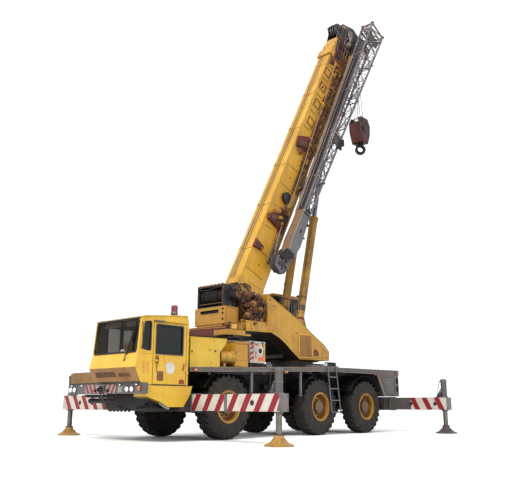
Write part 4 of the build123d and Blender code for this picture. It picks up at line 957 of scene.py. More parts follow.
# striped board: red and off-white bands leaning to the middle from both sides
P.yz([(-.70, .948), (.42, .948), (.42, 1.124), (-.70, 1.124)], F + .0005, F + .0045, "board_white", .001)
mid = -.14
for s in (-1, 1):
    for k in range(4):
        y = mid + s * (.085 + k * .15)
        w, lean = .062, .10
        q = [(y, .950), (y + s * w, .950), (y + s * (w + lean), 1.122), (y + s * lean, 1.122)] if s * 1 else None
        q = [(max(-.698, min(.418, a)), z) for a, z in q]
        if abs(q[0][0] - q[1][0]) > .01 or abs(q[2][0] - q[3][0]) > .01:
            P.yz(q, F + .004, F + .0056, "board_red", .0004)
# tow eye with its pin and cheeks, hanging air couplings
for y in (-.105, -.035):
    P.xz(round_poly([(F, .972), (F + .085, .985), (F + .10, 1.02), (F + .085, 1.055), (F, 1.068)], .02), y - .012, y + .012, "black_iron", .002)
P.cyl((F + .062, -.135, 1.02), (F + .062, -.002, 1.02), .017, "worn_steel", 14)
P.cyl((F + .062, -.142, 1.02), (F + .062, -.132, 1.02), .028, "worn_steel", 14)
P.yz(round_rect(-.07, 1.02, .20, .15, .02), F + .001, F + .012, "black_iron", .002)
P.bolts([(F + .012, -.07 + a * .082, 1.02 + b * .058) for a in (-1, 1) for b in (-1, 1)], (1, 0, 0), .011)
for y, z in ((-.29, 1.0), (.16, 1.0)):
    P.cyl((F, y, z), (F + .045, y, z), .024, "black_iron", 14)
    P.cyl((F + .045, y, z), (F + .055, y, z), .031, "red_paint" if y < 0 else "hose_black", 14)
P.hose([(F - .02, -.02, .95), (F + .01, .0, .86), (F - .01, .05, .76), (F - .04, .07, .70), (F - .06, .06, .78), (F - .08, .05, .90)], .011, "hose_black", 8)
P.hose([(F - .02, -.12, .95), (F + .015, -.13, .87), (F - .02, -.10, .80), (F - .06, -.08, .90)], .011, "hose_black", 8)
# chain and shackle on the pin
for k in range(7):
    c = Vector((F + .062, -.02 + .012 * k, .985 - .026 * k))
    P.torus(c, (0, 1, 0) if k % 2 else (1, 0, .2), .013, .0035, "worn_steel", 12, 6)
# plain number plate, no characters, on the port side of the board
P.yz(round_rect(.56, 1.015, .15, .11, .012), F + .001, F + .005, "board_white", .001)
P.bolts([(F + .005, .50, 1.015), (F + .005, .62, 1.015)], (1, 0, 0), .005, .004)
P.done()

# ============================================================ nose ===============
P = Piece("nose_fittings", "carrier")
# bonnet shut line, grab rail, side vents, rubber edge under the bonnet
P.hose([(2.54, -1.262, 1.386), (3.58, -1.262, 1.386), (3.60, -1.20, 1.383), (3.60, -.32, 1.383), (2.54, -.32, 1.386)], .006, "seal_black", 6, smooth=False)
P.hose([(3.642, -1.268, 1.150), (3.642, -.30, 1.150)], .008, "seal_black", 6, smooth=False)
for x in (2.62, 2.9, 3.2, 3.5):
    P.bolt((x, -1.275, 1.36), (0, -1, 0), .009)
    P.bolt((x, -1.275, 1.17), (0, -1, 0), .009)
P.xy(round_rect(3.05, -.75, .62, .52, .04), 1.3855, 1.391, "nose_top", .002)
for x in (2.82, 3.28):
    P.box(x - .03, x + .03, -1.0, -.97, 1.389, 1.402, "black_iron", .003)
# undercut of the cab above the bumper: shaded band with two pressed recesses painted a darker brown as shade, and its
# bottom lip
a, b = Vector((3.838, 0, 1.434)), Vector((3.692, 0, 1.158))
UC = frame_of(a, (0, 1, 0), b - a)               # x to port, y down the undercut, z outwards or inwards
d = (b - a).normalized()
out = Vector((d.z, 0, -d.x)) * -1
out = out if out.x > 0 else -out
H = (b - a).length


def uc(y, t, o=0.0):
    p = a + d * t + out * o
    return (p.x, y, p.z)


P.prism([uc(-.268, .004, -.001), uc(1.262, .004, -.001), uc(1.262, H - .006, -.001), uc(-.268, H - .006, -.001)], out * .003, "cowl_shade", .001)
for y0, y1, t0, t1 in ((-.12, .56, .085, .20), (.66, 1.03, .12, .20)):
    P.frame([uc(y, t, .0015) for y, t in ((y0 - .015, t0 - .015), (y1 + .015, t0 - .015), (y1 + .015, t1 + .015), (y0 - .015, t1 + .015))],
            [uc(y, t, .0015) for y, t in ((y0, t0), (y1, t0), (y1, t1), (y0, t1))], out * .005, "cowl_shade")
    P.prism([uc(y, t, .002) for y, t in ((y0, t0), (y1, t0), (y1, t1), (y0, t1))], out * .0012, "recess_shade_brown", .0004)
    for k in range(int((y1 - y0) / .055)):
        y = y0 + .03 + k * .055
        P.prism([uc(y, t0 + .012, .003), uc(y + .016, t0 + .012, .003), uc(y + .016, t1 - .012, .003), uc(y, t1 - .012, .003)], out * .004, "recess_shade_brown", .001)
P.hose([uc(-.27, H - .004, .002), uc(1.264, H - .004, .002)], .007, "seal_black", 6, smooth=False)
P.hose([uc(-.27, .002, .0), uc(1.27, .002, .0)], .006, "cab_yellow", 6, smooth=False)
P.done()

# ============================================================ cab ================
P = Piece("cab_seals", "carrier")
wa, wb = Vector((3.78, 0, 1.68)), Vector((3.715, 0, 2.40))
WS = Matrix(((0, (wb - wa).normalized().x, 0), (1, 0, 0), (0, (wb - wa).normalized().z, 0))).to_4x4()
up_ = (wb - wa).normalized()
nrm = Vector((up_.z, 0, -up_.x))
WS = Matrix((Vector((0, 1, 0)), up_, nrm)).transposed().to_4x4()
WS.translation = wa


def loop3(pts, z):
    return [(p[0], p[1], z) for p in pts]


def seal(P, outline, w_out, w_in, mat, z0, h, r=.05):
    """rubber section round a window: outline is the opening, in the piece's plane"""
    o = round_poly(grow(outline, w_out), r + w_out)
    i = round_poly(grow(outline, -w_in), r)
    P.frame(loop3(o, z0), loop3(i, z0), (0, 0, h), mat)
    m = [((a[0] + b[0]) / 2, (a[1] + b[1]) / 2) for a, b in zip(o, i)]
    P.hose(loop3(m + m[:1], z0 + h), (w_out + w_in) * .36, mat, 6, smooth=False)


P.at(WS)
open_ws = [(-.22, .040), (1.205, .040), (1.205, .698), (-.22, .698)]
seal(P, open_ws, .014, .022, "seal_black", -.004, .008, .055)
P.at(frame_of((0, 1.275, 0), (-1, 0, 0), (0, 0, 1)))      # port wall: local x backwards, y up, z outwards
quarter = [(-3.48, 1.76), (-3.69, 1.79), (-3.64, 2.31), (-3.48, 2.33)]
seal(P, quarter, .012, .020, "seal_black", -.006, .010, .035)
P.at(frame_of((0, -.28, 0), (1, 0, 0), (0, 0, 1)))        # starboard wall
seal(P, [(2.70, 1.76), (3.50, 1.76), (3.50, 2.32), (2.70, 2.32)], .014, .022, "seal_black", -.006, .010, .05)
P.at(frame_of((2.5, 0, 0), (0, -1, 0), (0, 0, 1)))         # rear wall
seal(P, [(-1.075, 1.80), (.08, 1.80), (.08, 2.30), (-1.075, 2.30)], .014, .022, "seal_black", -.006, .010, .05)
# glass
P.at(frame_of((0, 1.275, 0), (-1, 0, 0), (0, 0, 1)))
P.prism(loop3(grow(quarter, -.004), -.014), (0, 0, .005), "side_glass", .001)
P.at(frame_of((0, -.28, 0), (1, 0, 0), (0, 0, 1)))
P.prism(loop3([(2.704, 1.764), (3.496, 1.764), (3.496, 2.316), (2.704, 2.316)], -.014), (0, 0, .005), "hazy_glass", .001)
for a0, a1 in ((2.704, 2.79), (3.03, 3.13), (3.42, 3.496)):
    P.prism(loop3([(a0, 1.764), (a1, 1.764), (a1, 2.316), (a0, 2.316)], -.022), (0, 0, .004), "seal_black", .001)
P.at(frame_of((2.5, 0, 0), (0, -1, 0), (0, 0, 1)))
P.prism(loop3([(-1.071, 1.804), (.076, 1.804), (.076, 2.296), (-1.071, 2.296)], -.014), (0, 0, .005), "rear_glass", .001)
P.at()
# roof gutter along the port side and the front, door gutter, drip rail
P.hose([(2.535, 1.279, 2.49), (2.60, 1.281, 2.512), (3.62, 1.281, 2.425), (3.69, 1.281, 2.398)], .0075, "cab_yellow", 8, smooth=False)
P.hose([(2.535, -.284, 2.49), (2.60, -.286, 2.512), (3.62, -.286, 2.425), (3.69, -.286, 2.398)], .0075, "cab_yellow", 8, smooth=False)
P.hose([(3.722, -.27, 2.392), (3.722, 1.265, 2.392)], .0085, "seal_black", 8, smooth=False)
P.prism([(3.43, 1.275, 2.352), (3.14, 1.275, 2.360), (3.14, 1.300, 2.356), (3.43, 1.300, 2.348)], (0, 0, .006), "worn_steel", .001)
P.prism([(3.43, 1.295, 2.352), (3.14, 1.295, 2.360), (3.14, 1.300, 2.336), (3.43, 1.300, 2.328)], (0, .003, 0), "worn_steel", .001)
# roof: vent, aerial foot, amber-red beacon on its stem at the rear port corner
P.xy(round_rect(3.05, .35, .5, .42, .05), 2.472, 2.515, "cab_yellow", .008)
bc = Vector((2.60, .9, 2.50))
P.cyl(bc, bc + Vector((0, 0, .10)), .018, "black_iron", 14)
P.lathe([(.075, .07), (.078, .085), (.078, .115), (.070, .130), (0, .130)], bc, (0, 0, 1), "worn_steel", 28)
P.lathe([(.0, .07), (.075, .07)], bc, (0, 0, 1), "worn_steel", 28)
P.lathe([(.070, .128), (.071, .150), (.070, .250), (.062, .268), (.03, .278), (0, .280)], bc, (0, 0, 1), "beacon_red", 32)
for k in range(9):
    P.torus(bc + Vector((0, 0, .148 + k * .0122)), (0, 0, 1), .0705, .0018, "beacon_red", 32, 5)
P.lathe([(.030, .13), (.030, .24), (0, .245)], bc, (0, 0, 1), "bright_steel", 16)
# corner folds and rivets
P.bolts([(3.50 - k * .13, 1.2755, 1.128) for k in range(1)], (0, 1, 0), .006, .004, "cab_yellow")
P.bolts([(2.52, 1.2755, z) for z in (1.3, 1.55, 2.0, 2.25)], (0, 1, 0), .006, .004, "worn_steel")
# blank plates ahead of the door: two square and one flat, bordered
for z0, z1 in ((1.475, 1.535), (1.405, 1.46), (1.335, 1.392)):
    P.xz(round_poly([(3.515, z0), (3.665, z0), (3.665, z1), (3.515, z1)], .008), 1.2745, 1.2775, "plate_ochre", .001)
P.frame([(x, 1.2750, z) for x, z in ((3.505, 1.327), (3.677, 1.327), (3.677, 1.543), (3.505, 1.543))], [(x, 1.2750, z) for x, z in ((3.512, 1.334), (3.670, 1.334), (3.670, 1.536), (3.512, 1.536))], (0, .0022, 0), "plate_ochre")
# waist line pressed in the corner post and the lower body
P.hose([(3.77, 1.2755, 1.685), (3.70, 1.2765, 1.700), (3.50, 1.2765, 1.700), (3.435, 1.2765, 1.700)], .0045, "cab_yellow", 6, smooth=False)
P.hose([(3.525, 1.2765, 1.098), (2.50, 1.2765, 1.098), (2.40, 1.2765, 1.098)], .006, "seal_black", 6, smooth=False)
# wing mirror on the port corner is folded back on a thin arm
P.hose([(3.70, 1.28, 2.30), (3.74, 1.33, 2.28), (3.74, 1.345, 2.20), (3.735, 1.345, 1.86), (3.73, 1.33, 1.80), (3.71, 1.28, 1.80)], .0085, "black_iron", 8, 4)
# wiper: motor boss, arm with a spring, blade laid to the port top corner
P.at(WS)
pv = Vector((.88, -.115, .012))
tip = Vector((1.165, .64, .030))
P.lathe([(.026, 0), (.026, .012), (.016, .024), (.012, .036), (0, .037)], (pv.x, pv.y, -.002), (0, 0, 1), "black_iron", 18)
P.hose([(pv.x, pv.y, .028), (.905, -.05, .036), (.955, .08, .034), (1.045, .32, .030)], .0075, "black_iron", 8)
P.hose([(.895, -.075, .040), (.93, .02, .042), (.965, .105, .038)], .0055, "worn_steel", 8)
P.hose([(.925, .0, .020), tip], .0105, "seal_black", 8, smooth=False)
P.hose([(.92, -.012, .030), (1.045, .32, .034), tip + Vector((0, 0, .008))], .006, "black_iron", 8)
P.prism([(.915, .0, .006), (.935, -.006, .006), (tip.x + .01, tip.y - .006, .006), (tip.x - .01, tip.y, .006)], (0, 0, .012), "seal_black", .002)
P.lathe([(.012, 0), (.012, .015), (0, .018)], (.30, -.115, -.002), (0, 0, 1), "black_iron", 14)
P.at()
# skirt: bright bracket under it, mudflap, step with a chequer top
P.prism([(3.19, 1.245, .775), (2.93, 1.245, .668), (2.93, 1.245, .640), (3.0, 1.245, .640), (3.19, 1.245, .742)], (0, -.05, 0), "bright_steel", .004)
P.prism([(2.605, 1.262, .694), (2.975, 1.262, .694), (2.975, 1.262, .682), (2.605, 1.262, .682)], (0, -.36, 0), "cab_yellow", .002)
P.bolts([(2.62, 1.276, 1.06), (2.9, 1.276, 1.06), (3.2, 1.276, 1.06), (3.45, 1.276, 1.06)], (0, 1, 0), .009, .006, "cab_yellow")
P.done()

# ---- door ------------------------------------------------------------------------
P = Piece("cab_door_trim", "cab_door")
P.at(frame_of((0, 1.275, 0), (-1, 0, 0), (0, 0, 1)))
win = [(-3.355, 1.70), (-2.65, 1.70), (-2.65, 2.285), (-3.355, 2.285)]
seal(P, win, .010, .008, "alu_frame", .0, .008, .03)
seal(P, grow(win, -.016), .002, .016, "seal_black", .0, .008, .03)
P.prism(loop3(grow(win, -.002), -.018), (0, 0, .005), "side_glass", .001)
# black line where the door shuts
dr = [(-3.415, 1.11), (-2.56, 1.11), (-2.56, 2.345), (-3.415, 2.345)]
P.frame(loop3(round_poly(grow(dr, -.001), .02), -.001), loop3(round_poly(grow(dr, -.007), .02), -.001), (0, 0, .0022), "seal_black")
# handle recess with its lever
P.frame(loop3(round_rect(-3.315, 1.585, .115, .19, .025), .0), loop3(round_rect(-3.315, 1.585, .095, .17, .018), .0), (0, 0, .004), "cab_yellow")
P.prism(loop3(round_rect(-3.315, 1.585, .096, .171, .018), .0004), (0, 0, .0012), "rust_streak", .0004)
P.prism(loop3(round_poly([(-3.35, 1.56), (-3.28, 1.57), (-3.28, 1.61), (-3.35, 1.61)], .012), .004), (0, 0, .016), "black_iron", .004)
P.prism(loop3([(-3.345, 1.50), (-3.29, 1.50), (-3.305, 1.37), (-3.325, 1.34)], .0003), (0, 0, .0008), "rust_streak", .0002)
# crease down the panel
P.prism([(-3.145, 1.665, .0), (-3.125, 1.665, .0), (-3.02, 1.13, .0), (-3.04, 1.13, .0)], (0, 0, .005), "cab_yellow", .003)
P.hose([(-3.150, 1.665, .0015), (-3.045, 1.13, .0015)], .003, "door_shade", 6, smooth=False)
# brown grille plate
P.prism(loop3(round_rect(-3.225, 1.275, .165, .185, .01), .0), (0, 0, .005), "brown_plate", .0015)
for k in range(7):
    P.box(-3.297, -3.153, 1.198 + k * .0235, 1.208 + k * .0235, .004, .0085, "brown_plate", .001)
P.bolts([(-3.225 + a * .072, 1.275 + b * .082, .005) for a in (-1, 1) for b in (-1, 1)], (0, 0, 1), .005, .003, "worn_steel")
# plain white disc
P.lathe([(0, .0016), (.112, .0016), (.120, .0012), (.122, 0)], (-2.975, 1.44, 0), (0, 0, 1), "decal_white", 48)
P.torus((-2.975, 1.44, .0012), (0, 0, 1), .1185, .0012, "decal_rim", 48, 5)
# rust patches at the rear bottom corner
P.prism(loop3(round_poly([(-2.74, 1.13), (-2.60, 1.13), (-2.60, 1.20), (-2.66, 1.235), (-2.74, 1.20)], .02), .0002), (0, 0, .0007), "rust_bleed", .0002)
P.prism(loop3(round_poly([(-2.66, 1.40), (-2.605, 1.39), (-2.60, 1.56), (-2.64, 1.52)], .02), .0002), (0, 0, .0007), "rust_bleed", .0002)
# rain lip over the glass
P.prism([(-3.37, 2.316, 0), (-2.635, 2.316, 0), (-2.635, 2.322, .012), (-3.37, 2.322, .012)], (0, .004, 0), "cab_yellow", .001)
P.at()
# inner trim: card, pull, winder
P.box(2.60, 3.37, 1.243, 1.248, 1.16, 1.64, "lining", .002)
P.hose([(2.9, 1.24, 1.62), (2.9, 1.20, 1.62), (3.1, 1.20, 1.62), (3.1, 1.24, 1.62)], .011, "seal_black", 8, 4)
P.cyl((2.8, 1.245, 1.4), (2.8, 1.205, 1.4), .028, "black_iron", 16)
P.done()

# ---- inside the cab ----------------------------------------------------------------
P = Piece("cab_interior", "carrier")
P.box(2.535, 3.50, -.245, 1.24, 1.129, 1.141, "floor_mat", .004)
for k in range(14):
    P.box(2.56 + k * .066, 2.575 + k * .066, -.22, 1.215, 1.140, 1.1445, "floor_mat", .001)
P.prism([(2.59, -.245, 2.492), (3.60, -.245, 2.408), (3.60, -.245, 2.400), (2.59, -.245, 2.484)], (0, 1.485, 0), "lining", .002)
P.box(2.530, 2.536, -.245, 1.24, 1.14, 1.77, "lining", .002)
P.box(2.54, 3.50, -.251, -.246, 1.15, 1.72, "lining", .002)
# driver's seat: cushion and back with rolled edges over the CAD seat, belt reel, head pad
sx, sy, sz = 2.96, .88, 1.13
P.box(sx - .235, sx + .235, sy - .245, sy + .245, sz + .245, sz + .375, "seat_vinyl", .035)
P.box(sx - .225, sx + .20, sy - .20, sy + .20, sz + .372, sz + .395, "seat_vinyl", .011)
P.at(Matrix.Translation((sx - .235, sy, sz + .36)) @ Matrix.Rotation(radians(-6), 4, "Y"))
P.box(-.06, .06, -.225, .225, 0, .62, "seat_vinyl", .04)
P.box(.05, .075, -.17, .17, .06, .54, "seat_vinyl", .012)
P.box(-.045, .045, -.13, .13, .64, .80, "seat_vinyl", .035)
P.cyl((0, -.06, .6), (0, -.06, .68), .009, "bright_steel", 8)
P.cyl((0, .06, .6), (0, .06, .68), .009, "bright_steel", 8)
P.at()
# tan passenger seat and kit box against the rear wall, as seen through the windscreen
P.box(2.62, 3.02, -.18, .34, 1.14, 1.40, "black_iron", .01)
P.box(2.60, 3.06, -.20, .36, 1.40, 1.53, "seat_tan", .035)
P.at(Matrix.Translation((2.64, .08, 1.50)) @ Matrix.Rotation(radians(-5), 4, "Y"))
P.box(-.05, .06, -.24, .24, 0, .56, "seat_tan", .035)
P.at()
P.box(2.56, 2.72, .44, .60, 1.14, 2.15, "seat_tan", .02)
# dash top: binnacle, papers, bottle
P.prism([(3.50, -.22, 1.59), (3.76, -.22, 1.602), (3.752, -.22, 1.66), (3.60, -.22, 1.68), (3.50, -.22, 1.63)], (0, 1.43, 0), "dash_grey", .01)
P.prism([(3.44, .72, 1.62), (3.52, .72, 1.60), (3.60, .72, 1.70), (3.56, .72, 1.76)], (0, .36, 0), "seal_black", .012)
for dy, dx, w, l, t in ((.62, 3.64, .20, .15, 12), (.98, 3.63, .22, .14, -14), (.26, 3.66, .17, .12, 6)):
    P.at(Matrix.Translation((dx, dy, 1.682)) @ Matrix.Rotation(radians(t), 4, "Z") @ Matrix.Rotation(radians(5), 4, "Y"))
    P.box(-l / 2, l / 2, -w / 2, w / 2, 0, .016, "paper", .004)
    P.box(-l / 2 + .01, l / 2 - .012, -w / 2 + .014, w / 2 - .006, .016, .026, "paper", .004)
P.at()
P.cyl((3.64, 1.08, 1.67), (3.64, 1.08, 1.80), .045, "paper", 16, .012)
P.hose([(3.66, .50, 1.68), (3.65, .54, 1.75), (3.66, .60, 1.78), (3.67, .68, 1.74), (3.66, .72, 1.68)], .028, "paper", 8)
# levers, pedals
for y, h in ((.62, .34), (.56, .30)):
    P.hose([(3.15, y, 1.14), (3.14, y, 1.14 + h * .6), (3.08, y, 1.14 + h)], .009, "bright_steel", 8)
    P.lathe([(0, -.025), (.018, -.018), (.025, 0), (.018, .018), (0, .025)], (3.08, y, 1.14 + h), (0, 0, 1), "seal_black", 14)
for y in (.72, .86, 1.0):
    P.prism([(3.56, y - .04, 1.18), (3.60, y - .04, 1.30), (3.612, y - .04, 1.297), (3.572, y - .04, 1.177)], (0, .08, 0), "black_iron", .003)
# steering wheel rim padding and horn pad
sw = Matrix.Translation((3.33, .9, 1.78)) @ Matrix.Rotation(radians(-35), 4, "Y")
P.at(sw)
P.torus((0, 0, 0), (0, 0, 1), .225, .0185, "seal_black", 44, 10)
P.lathe([(.055, .010), (.05, .022), (.03, .030), (0, .031)], (0, 0, 0), (0, 0, 1), "seal_black", 24)
P.at()
# sun visors
for y0, y1 in ((-.1, .45), (.62, 1.12)):
    P.prism([(3.585, y0, 2.385), (3.63, y0, 2.26), (3.638, y0, 2.262), (3.593, y0, 2.387)], (0, y1 - y0, 0), "lining", .003)
P.done()

# ============================================================ deck bodywork ======
DECK = ((2.45, 1.48), (-2.31, 1.668), (-5.6, 1.70))


def deck_z(x):
    (a, za), (b, zb), (c, zc) = DECK
    return zb + (za - zb) * (x - b) / (a - b) if x > b else zc + (zb - zc) * (x - c) / (b - c)


P = Piece("engine_cover_trim", "carrier")
S = 1.268
# folded edge along the top, shut line of the side flap, hinges, latches, louvres, lifting eye
P.hose([(2.44, S, 2.105), (1.385, S, 2.128)], .006, "body_yellow", 6, smooth=False)
P.frame([(2.40, S, 1.54), (2.40, S, 2.07), (1.66, S, 2.085), (1.66, S, 1.56)], [(2.396, S, 1.544), (2.396, S, 2.066), (1.664, S, 2.081), (1.664, S, 1.564)], (0, .0015, 0), "door_shade")
for x in (2.30, 1.76):
    P.box(x - .05, x + .05, S, S + .006, 2.045, 2.095, "body_yellow", .002)
    P.cyl((x - .05, S + .006, 2.098), (x + .05, S + .006, 2.098), .008, "body_yellow", 10)
for x in (2.22, 1.86):
    P.lathe([(.020, 0), (.020, .006), (.014, .010), (0, .011)], (x, S, 1.60), (0, 1, 0), "body_yellow", 18)
    P.box(x - .006, x + .006, S + .008, S + .018, 1.585, 1.615, "door_shade", .002)
# reddish and dark marks on the flap: filler caps and a vent
P.lathe([(.026, 0), (.026, .010), (.018, .016), (0, .017)], (1.735, S, 1.845), (0, 1, 0), "brown_rust", 18)
P.lathe([(.016, 0), (.016, .006), (0, .008)], (1.90, S, 1.86), (0, 1, 0), "brown_rust", 14)
P.lathe([(.022, 0), (.022, .010), (0, .012)], (2.405, S, 1.80), (0, 1, 0), "brown_rust", 16)
P.bolts([(2.42, S, z) for z in (1.55, 1.8, 2.05)] + [(1.64, S, z) for z in (1.85, 2.07)], (0, 1, 0), .008, .006, "body_yellow")
P.box(2.28, 2.36, -.02, .06, 2.110, 2.150, "black_iron", .006)
# bolted seams and louvres on the top sheet
for y in (-.80, .02, .84):
    P.prism([(2.43, y - .012, 2.1055), (1.39, y - .012, 2.1275), (1.39, y + .012, 2.1275), (2.43, y + .012, 2.1055)], (0, 0, .004), "body_yellow", .001)
for k in range(9):
    x = 1.62 + k * .07
    z = 2.1055 + (2.43 - x) / 1.04 * .022
    P.prism([(x, -.70, z), (x + .045, -.70, z - .001), (x + .045, -.70, z + .010), (x + .038, -.70, z + .013)], (0, .56, 0), "body_yellow", .001)
# exhaust stack lying on the cover, starboard side
P.cyl((2.25, -.95, 2.10), (2.25, -.95, 2.30), .062, "brown_rust", 24, .004)
P.pipe((2.25, -.95, 2.29), (2.25, -.95, 2.40), .05, .043, "brown_rust", 24)
P.done()

P = Piece("air_cleaner_trim", "carrier")
c = (1.11, 1.74)
for x0, x1, r in ((1.176, 1.190, .158), (1.35, 1.366, .151), (1.50, 1.514, .151)):
    P.pipe((x0, c[0], c[1]), (x1, c[0], c[1]), r, .144, "upper_yellow", 40)
P.lathe([(.161, .0), (.166, .006), (.166, .022), (.161, .028)], (1.115, c[0], c[1]), (1, 0, 0), "upper_yellow", 44)
for r, x in ((.125, 1.116), (.085, 1.114)):
    P.torus((x, c[0], c[1]), (1, 0, 0), r, .006, "upper_yellow", 36, 6)
P.lathe([(0, 0), (.03, 0), (.03, .02), (.022, .028), (0, .028)], (1.12, c[0], c[1]), (-1, 0, 0), "worn_steel", 16)
for k in range(4):
    t = k * pi / 2 + .5
    e = Vector((0, cos(t), sin(t)))
    p = Vector((1.15, c[0], c[1])) + e * .162
    P.hose([p + Vector((-.028, 0, 0)), p + e * .012, p + Vector((.045, 0, 0))], .005, "worn_steel", 6)
# inlet elbow into the cover, rain cap on top
P.hose([(1.40, c[0], c[1] + .13), (1.40, c[0], c[1] + .20), (1.41, c[0] - .03, c[1] + .23)], .038, "upper_yellow", 14)
P.lathe([(.0, .05), (.052, .042), (.058, .02), (.058, 0), (.05, 0)], (1.41, c[0] - .035, c[1] + .235), (0, 0, 1), "upper_yellow", 24)
P.box(1.32, 1.41, 1.03, 1.19, deck_z(1.33) + .001, deck_z(1.33) + .014, "upper_yellow", .003)
P.bolts([(x, y, deck_z(1.33) + .014) for x in (1.332, 1.398) for y in (1.042, 1.178)], (0, 0, 1), .009)
P.done()

P = Piece("side_box_trim", "carrier")
P.frame([(1.10, 1.25, 1.68), (1.10, 1.25, 2.05), (.71, 1.25, 2.05), (.71, 1.25, 1.68)], [(1.092, 1.25, 1.688), (1.092, 1.25, 2.042), (.718, 1.25, 2.042), (.718, 1.25, 1.688)], (0, .0016, 0), "seam_brown")
P.box(.69, 1.118, 1.244, 1.262, 2.066, 2.086, "upper_yellow", .004)
P.xy([(.69, .65), (1.118, .65), (1.118, 1.262), (.69, 1.262)], 2.0802, 2.092, "upper_yellow", .003)
P.xy([(.82, .66), (1.30, .66), (1.30, .95), (1.12, .95), (1.12, 1.19), (.84, 1.19)], 2.092, 2.125, "pale_lid", .006)
for k in range(5):
    P.box(.86 + k * .05, .885 + k * .05, .72, 1.15, 2.124, 2.130, "pale_lid", .002)
P.lathe([(.018, 0), (.018, .006), (.012, .010), (0, .011)], (1.065, 1.25, 1.87), (0, 1, 0), "worn_steel", 16)
P.box(1.059, 1.071, 1.256, 1.266, 1.855, 1.885, "worn_steel", .002)
P.bolts([(x, 1.25, z) for x in (.74, .905, 1.07) for z in (1.70, 2.03)], (0, 1, 0), .007, .005, "upper_yellow")
P.xz(round_poly([(1.17, 1.80), (1.27, 1.80), (1.27, 1.93), (1.17, 1.93)], .02), .940, .946, "brown_rust", .002)
P.hose([(1.108, 1.2, 1.74), (1.18, 1.16, 1.73), (1.2, 1.0, 1.70), (1.25, .9, 1.62)], .016, "hose_black", 8)
P.done()

P = Piece("battery_box_trim", "carrier")
B = 1.262
P.xy([(.142, .632), (.668, .632), (.668, 1.270), (.142, 1.270)], 2.1302, 2.142, "white_paint", .003)
P.box(.142, .668, 1.262, 1.270, 2.106, 2.134, "white_paint", .003)
# slanting dark red bands down the front third, and a dull orange panel low on the right
for k in range(4):
    z = 1.70 + k * .118
    q = [(.65, z), (.65, z + .055), (.535, z + .105), (.535, z + .050)]
    q = [(x, min(zz, 2.118)) for x, zz in q]
    P.xz(q, B + .0002, B + .0016, "board_red", .0003)
for x, z, w, h in ((.655, 1.80, .02, .10), (.59, 2.06, .05, .03), (.44, 2.07, .07, .02), (.46, 1.84, .02, .09), (.20, 2.05, .05, .03), (.19, 1.86, .02, .12)):
    P.xz(round_poly([(x - w, z - h), (x + w * .8, z - h * .9), (x + w, z + h), (x - w * .9, z + h * .8)], .01), B + .0002, B + .0012, "grime_patch" if "grime_patch" in bpy.data.materials else "rust_streak", .0003)
P.xz([(.526, 1.69), (.531, 1.69), (.531, 2.118), (.526, 2.118)], B + .0002, B + .0014, "seam_brown", .0002)
P.lathe([(0, .002), (.088, .002), (.098, .0014), (.10, 0)], (.315, B, 1.93), (0, 1, 0), "decal_white", 40)
# the disc's dark centre is print
P.lathe([(0, .0034), (.050, .0034), (.058, .0028), (.060, .002)], (.315, B, 1.93), (0, 1, 0), "shade_and_print_black", 32)
P.torus((.315, B + .0014, 1.93), (0, 1, 0), .098, .0016, "decal_rim", 40, 5)
P.xz(round_poly([(.165, 1.70), (.40, 1.70), (.40, 1.79), (.165, 1.79)], .012), B + .0002, B + .0014, "faded_orange", .0003)
P.xz([(.150, 1.672), (.172, 1.672), (.172, 2.128), (.150, 2.128)], B, B + .004, "body_yellow", .001)
for x in (.24, .57):
    P.box(x - .03, x + .03, B, B + .008, 2.085, 2.13, "black_iron", .002)
P.bolts([(x, B + .001, z) for x in (.16, .645) for z in (1.69, 1.9, 2.09)], (0, 1, 0), .007, .005)
P.box(.16, .65, 1.15, 1.262, 1.650, 1.668, "white_paint", .003)
# dark frame under the box
for x in (.20, .60):
    P.box(x - .03, x + .03, 1.18, 1.245, deck_z(x) + .0, 1.652, "black_iron", .004)
P.box(.18, .62, 1.2, 1.24, 1.602, 1.622, "black_iron", .003)
P.hose([(.45, 1.2, 1.655), (.42, 1.24, 1.62), (.30, 1.25, 1.605), (.1, 1.22, 1.60), (-.05, 1.0, 1.59)], .012, "hose_black", 8)
P.done()

P = Piece("deck_fittings", "carrier")
# rolled edge and pale weathered lip along the band
for s in (1, -1):
    y = s * 1.276
    P.hose([(2.45, y, 1.477), (-2.31, y, 1.665), (-5.6, y, 1.697)], .008, "deck_edge", 8, smooth=False)
    P.hose([(2.45, y, 1.394), (-2.31, y, 1.562), (-5.6, y, 1.572)], .007, "deck_edge", 8, smooth=False)
    # stiffeners and side marker lamps
    for x in (2.1, 1.35, -.3, -1.75, -3.2, -4.6):
        z = deck_z(x)
        P.box(x - .012, x + .012, s * 1.2755, s * 1.281, z - .095, z - .01, "deck_grey", .002)
    for x, z, mat in ((-.57, 1.49, "lamp_amber"), (-4.34, 1.565, "lamp_red"), (2.30, 1.43, "lamp_amber"), (-5.45, 1.63, "lamp_red")):
        P.xz(round_poly([(x - .06, z - .034), (x + .06, z - .034), (x + .06, z + .034), (x - .06, z + .034)], .012), s * 1.276, s * 1.290, "black_paint", .003)
        P.xz(round_poly([(x - .052, z - .027), (x + .052, z - .027), (x + .052, z + .027), (x - .052, z + .027)], .010), s * 1.289, s * 1.300, mat, .004)
    # lashing rings hanging under the band
    for x in (1.9, .2, -1.5, -2.9, -5.1):
        P.torus((x, s * 1.268, deck_z(x) - .13), (0, 1, 0), .03, .006, "worn_steel", 18, 6)
    # posts with foot plates
    for x in (.6, -1.13):
        P.box(x - .055, x + .055, s * 1.22, s * 1.279, .935, .955, "steel_grey", .004)
        P.box(x - .030, x + .030, s * 1.276, s * 1.282, 1.0, deck_z(x) - .12, "steel_grey", .003)
        P.bolts([(x - .04, s * 1.25, .935), (x + .04, s * 1.25, .935)], (0, 0, -1), .009)
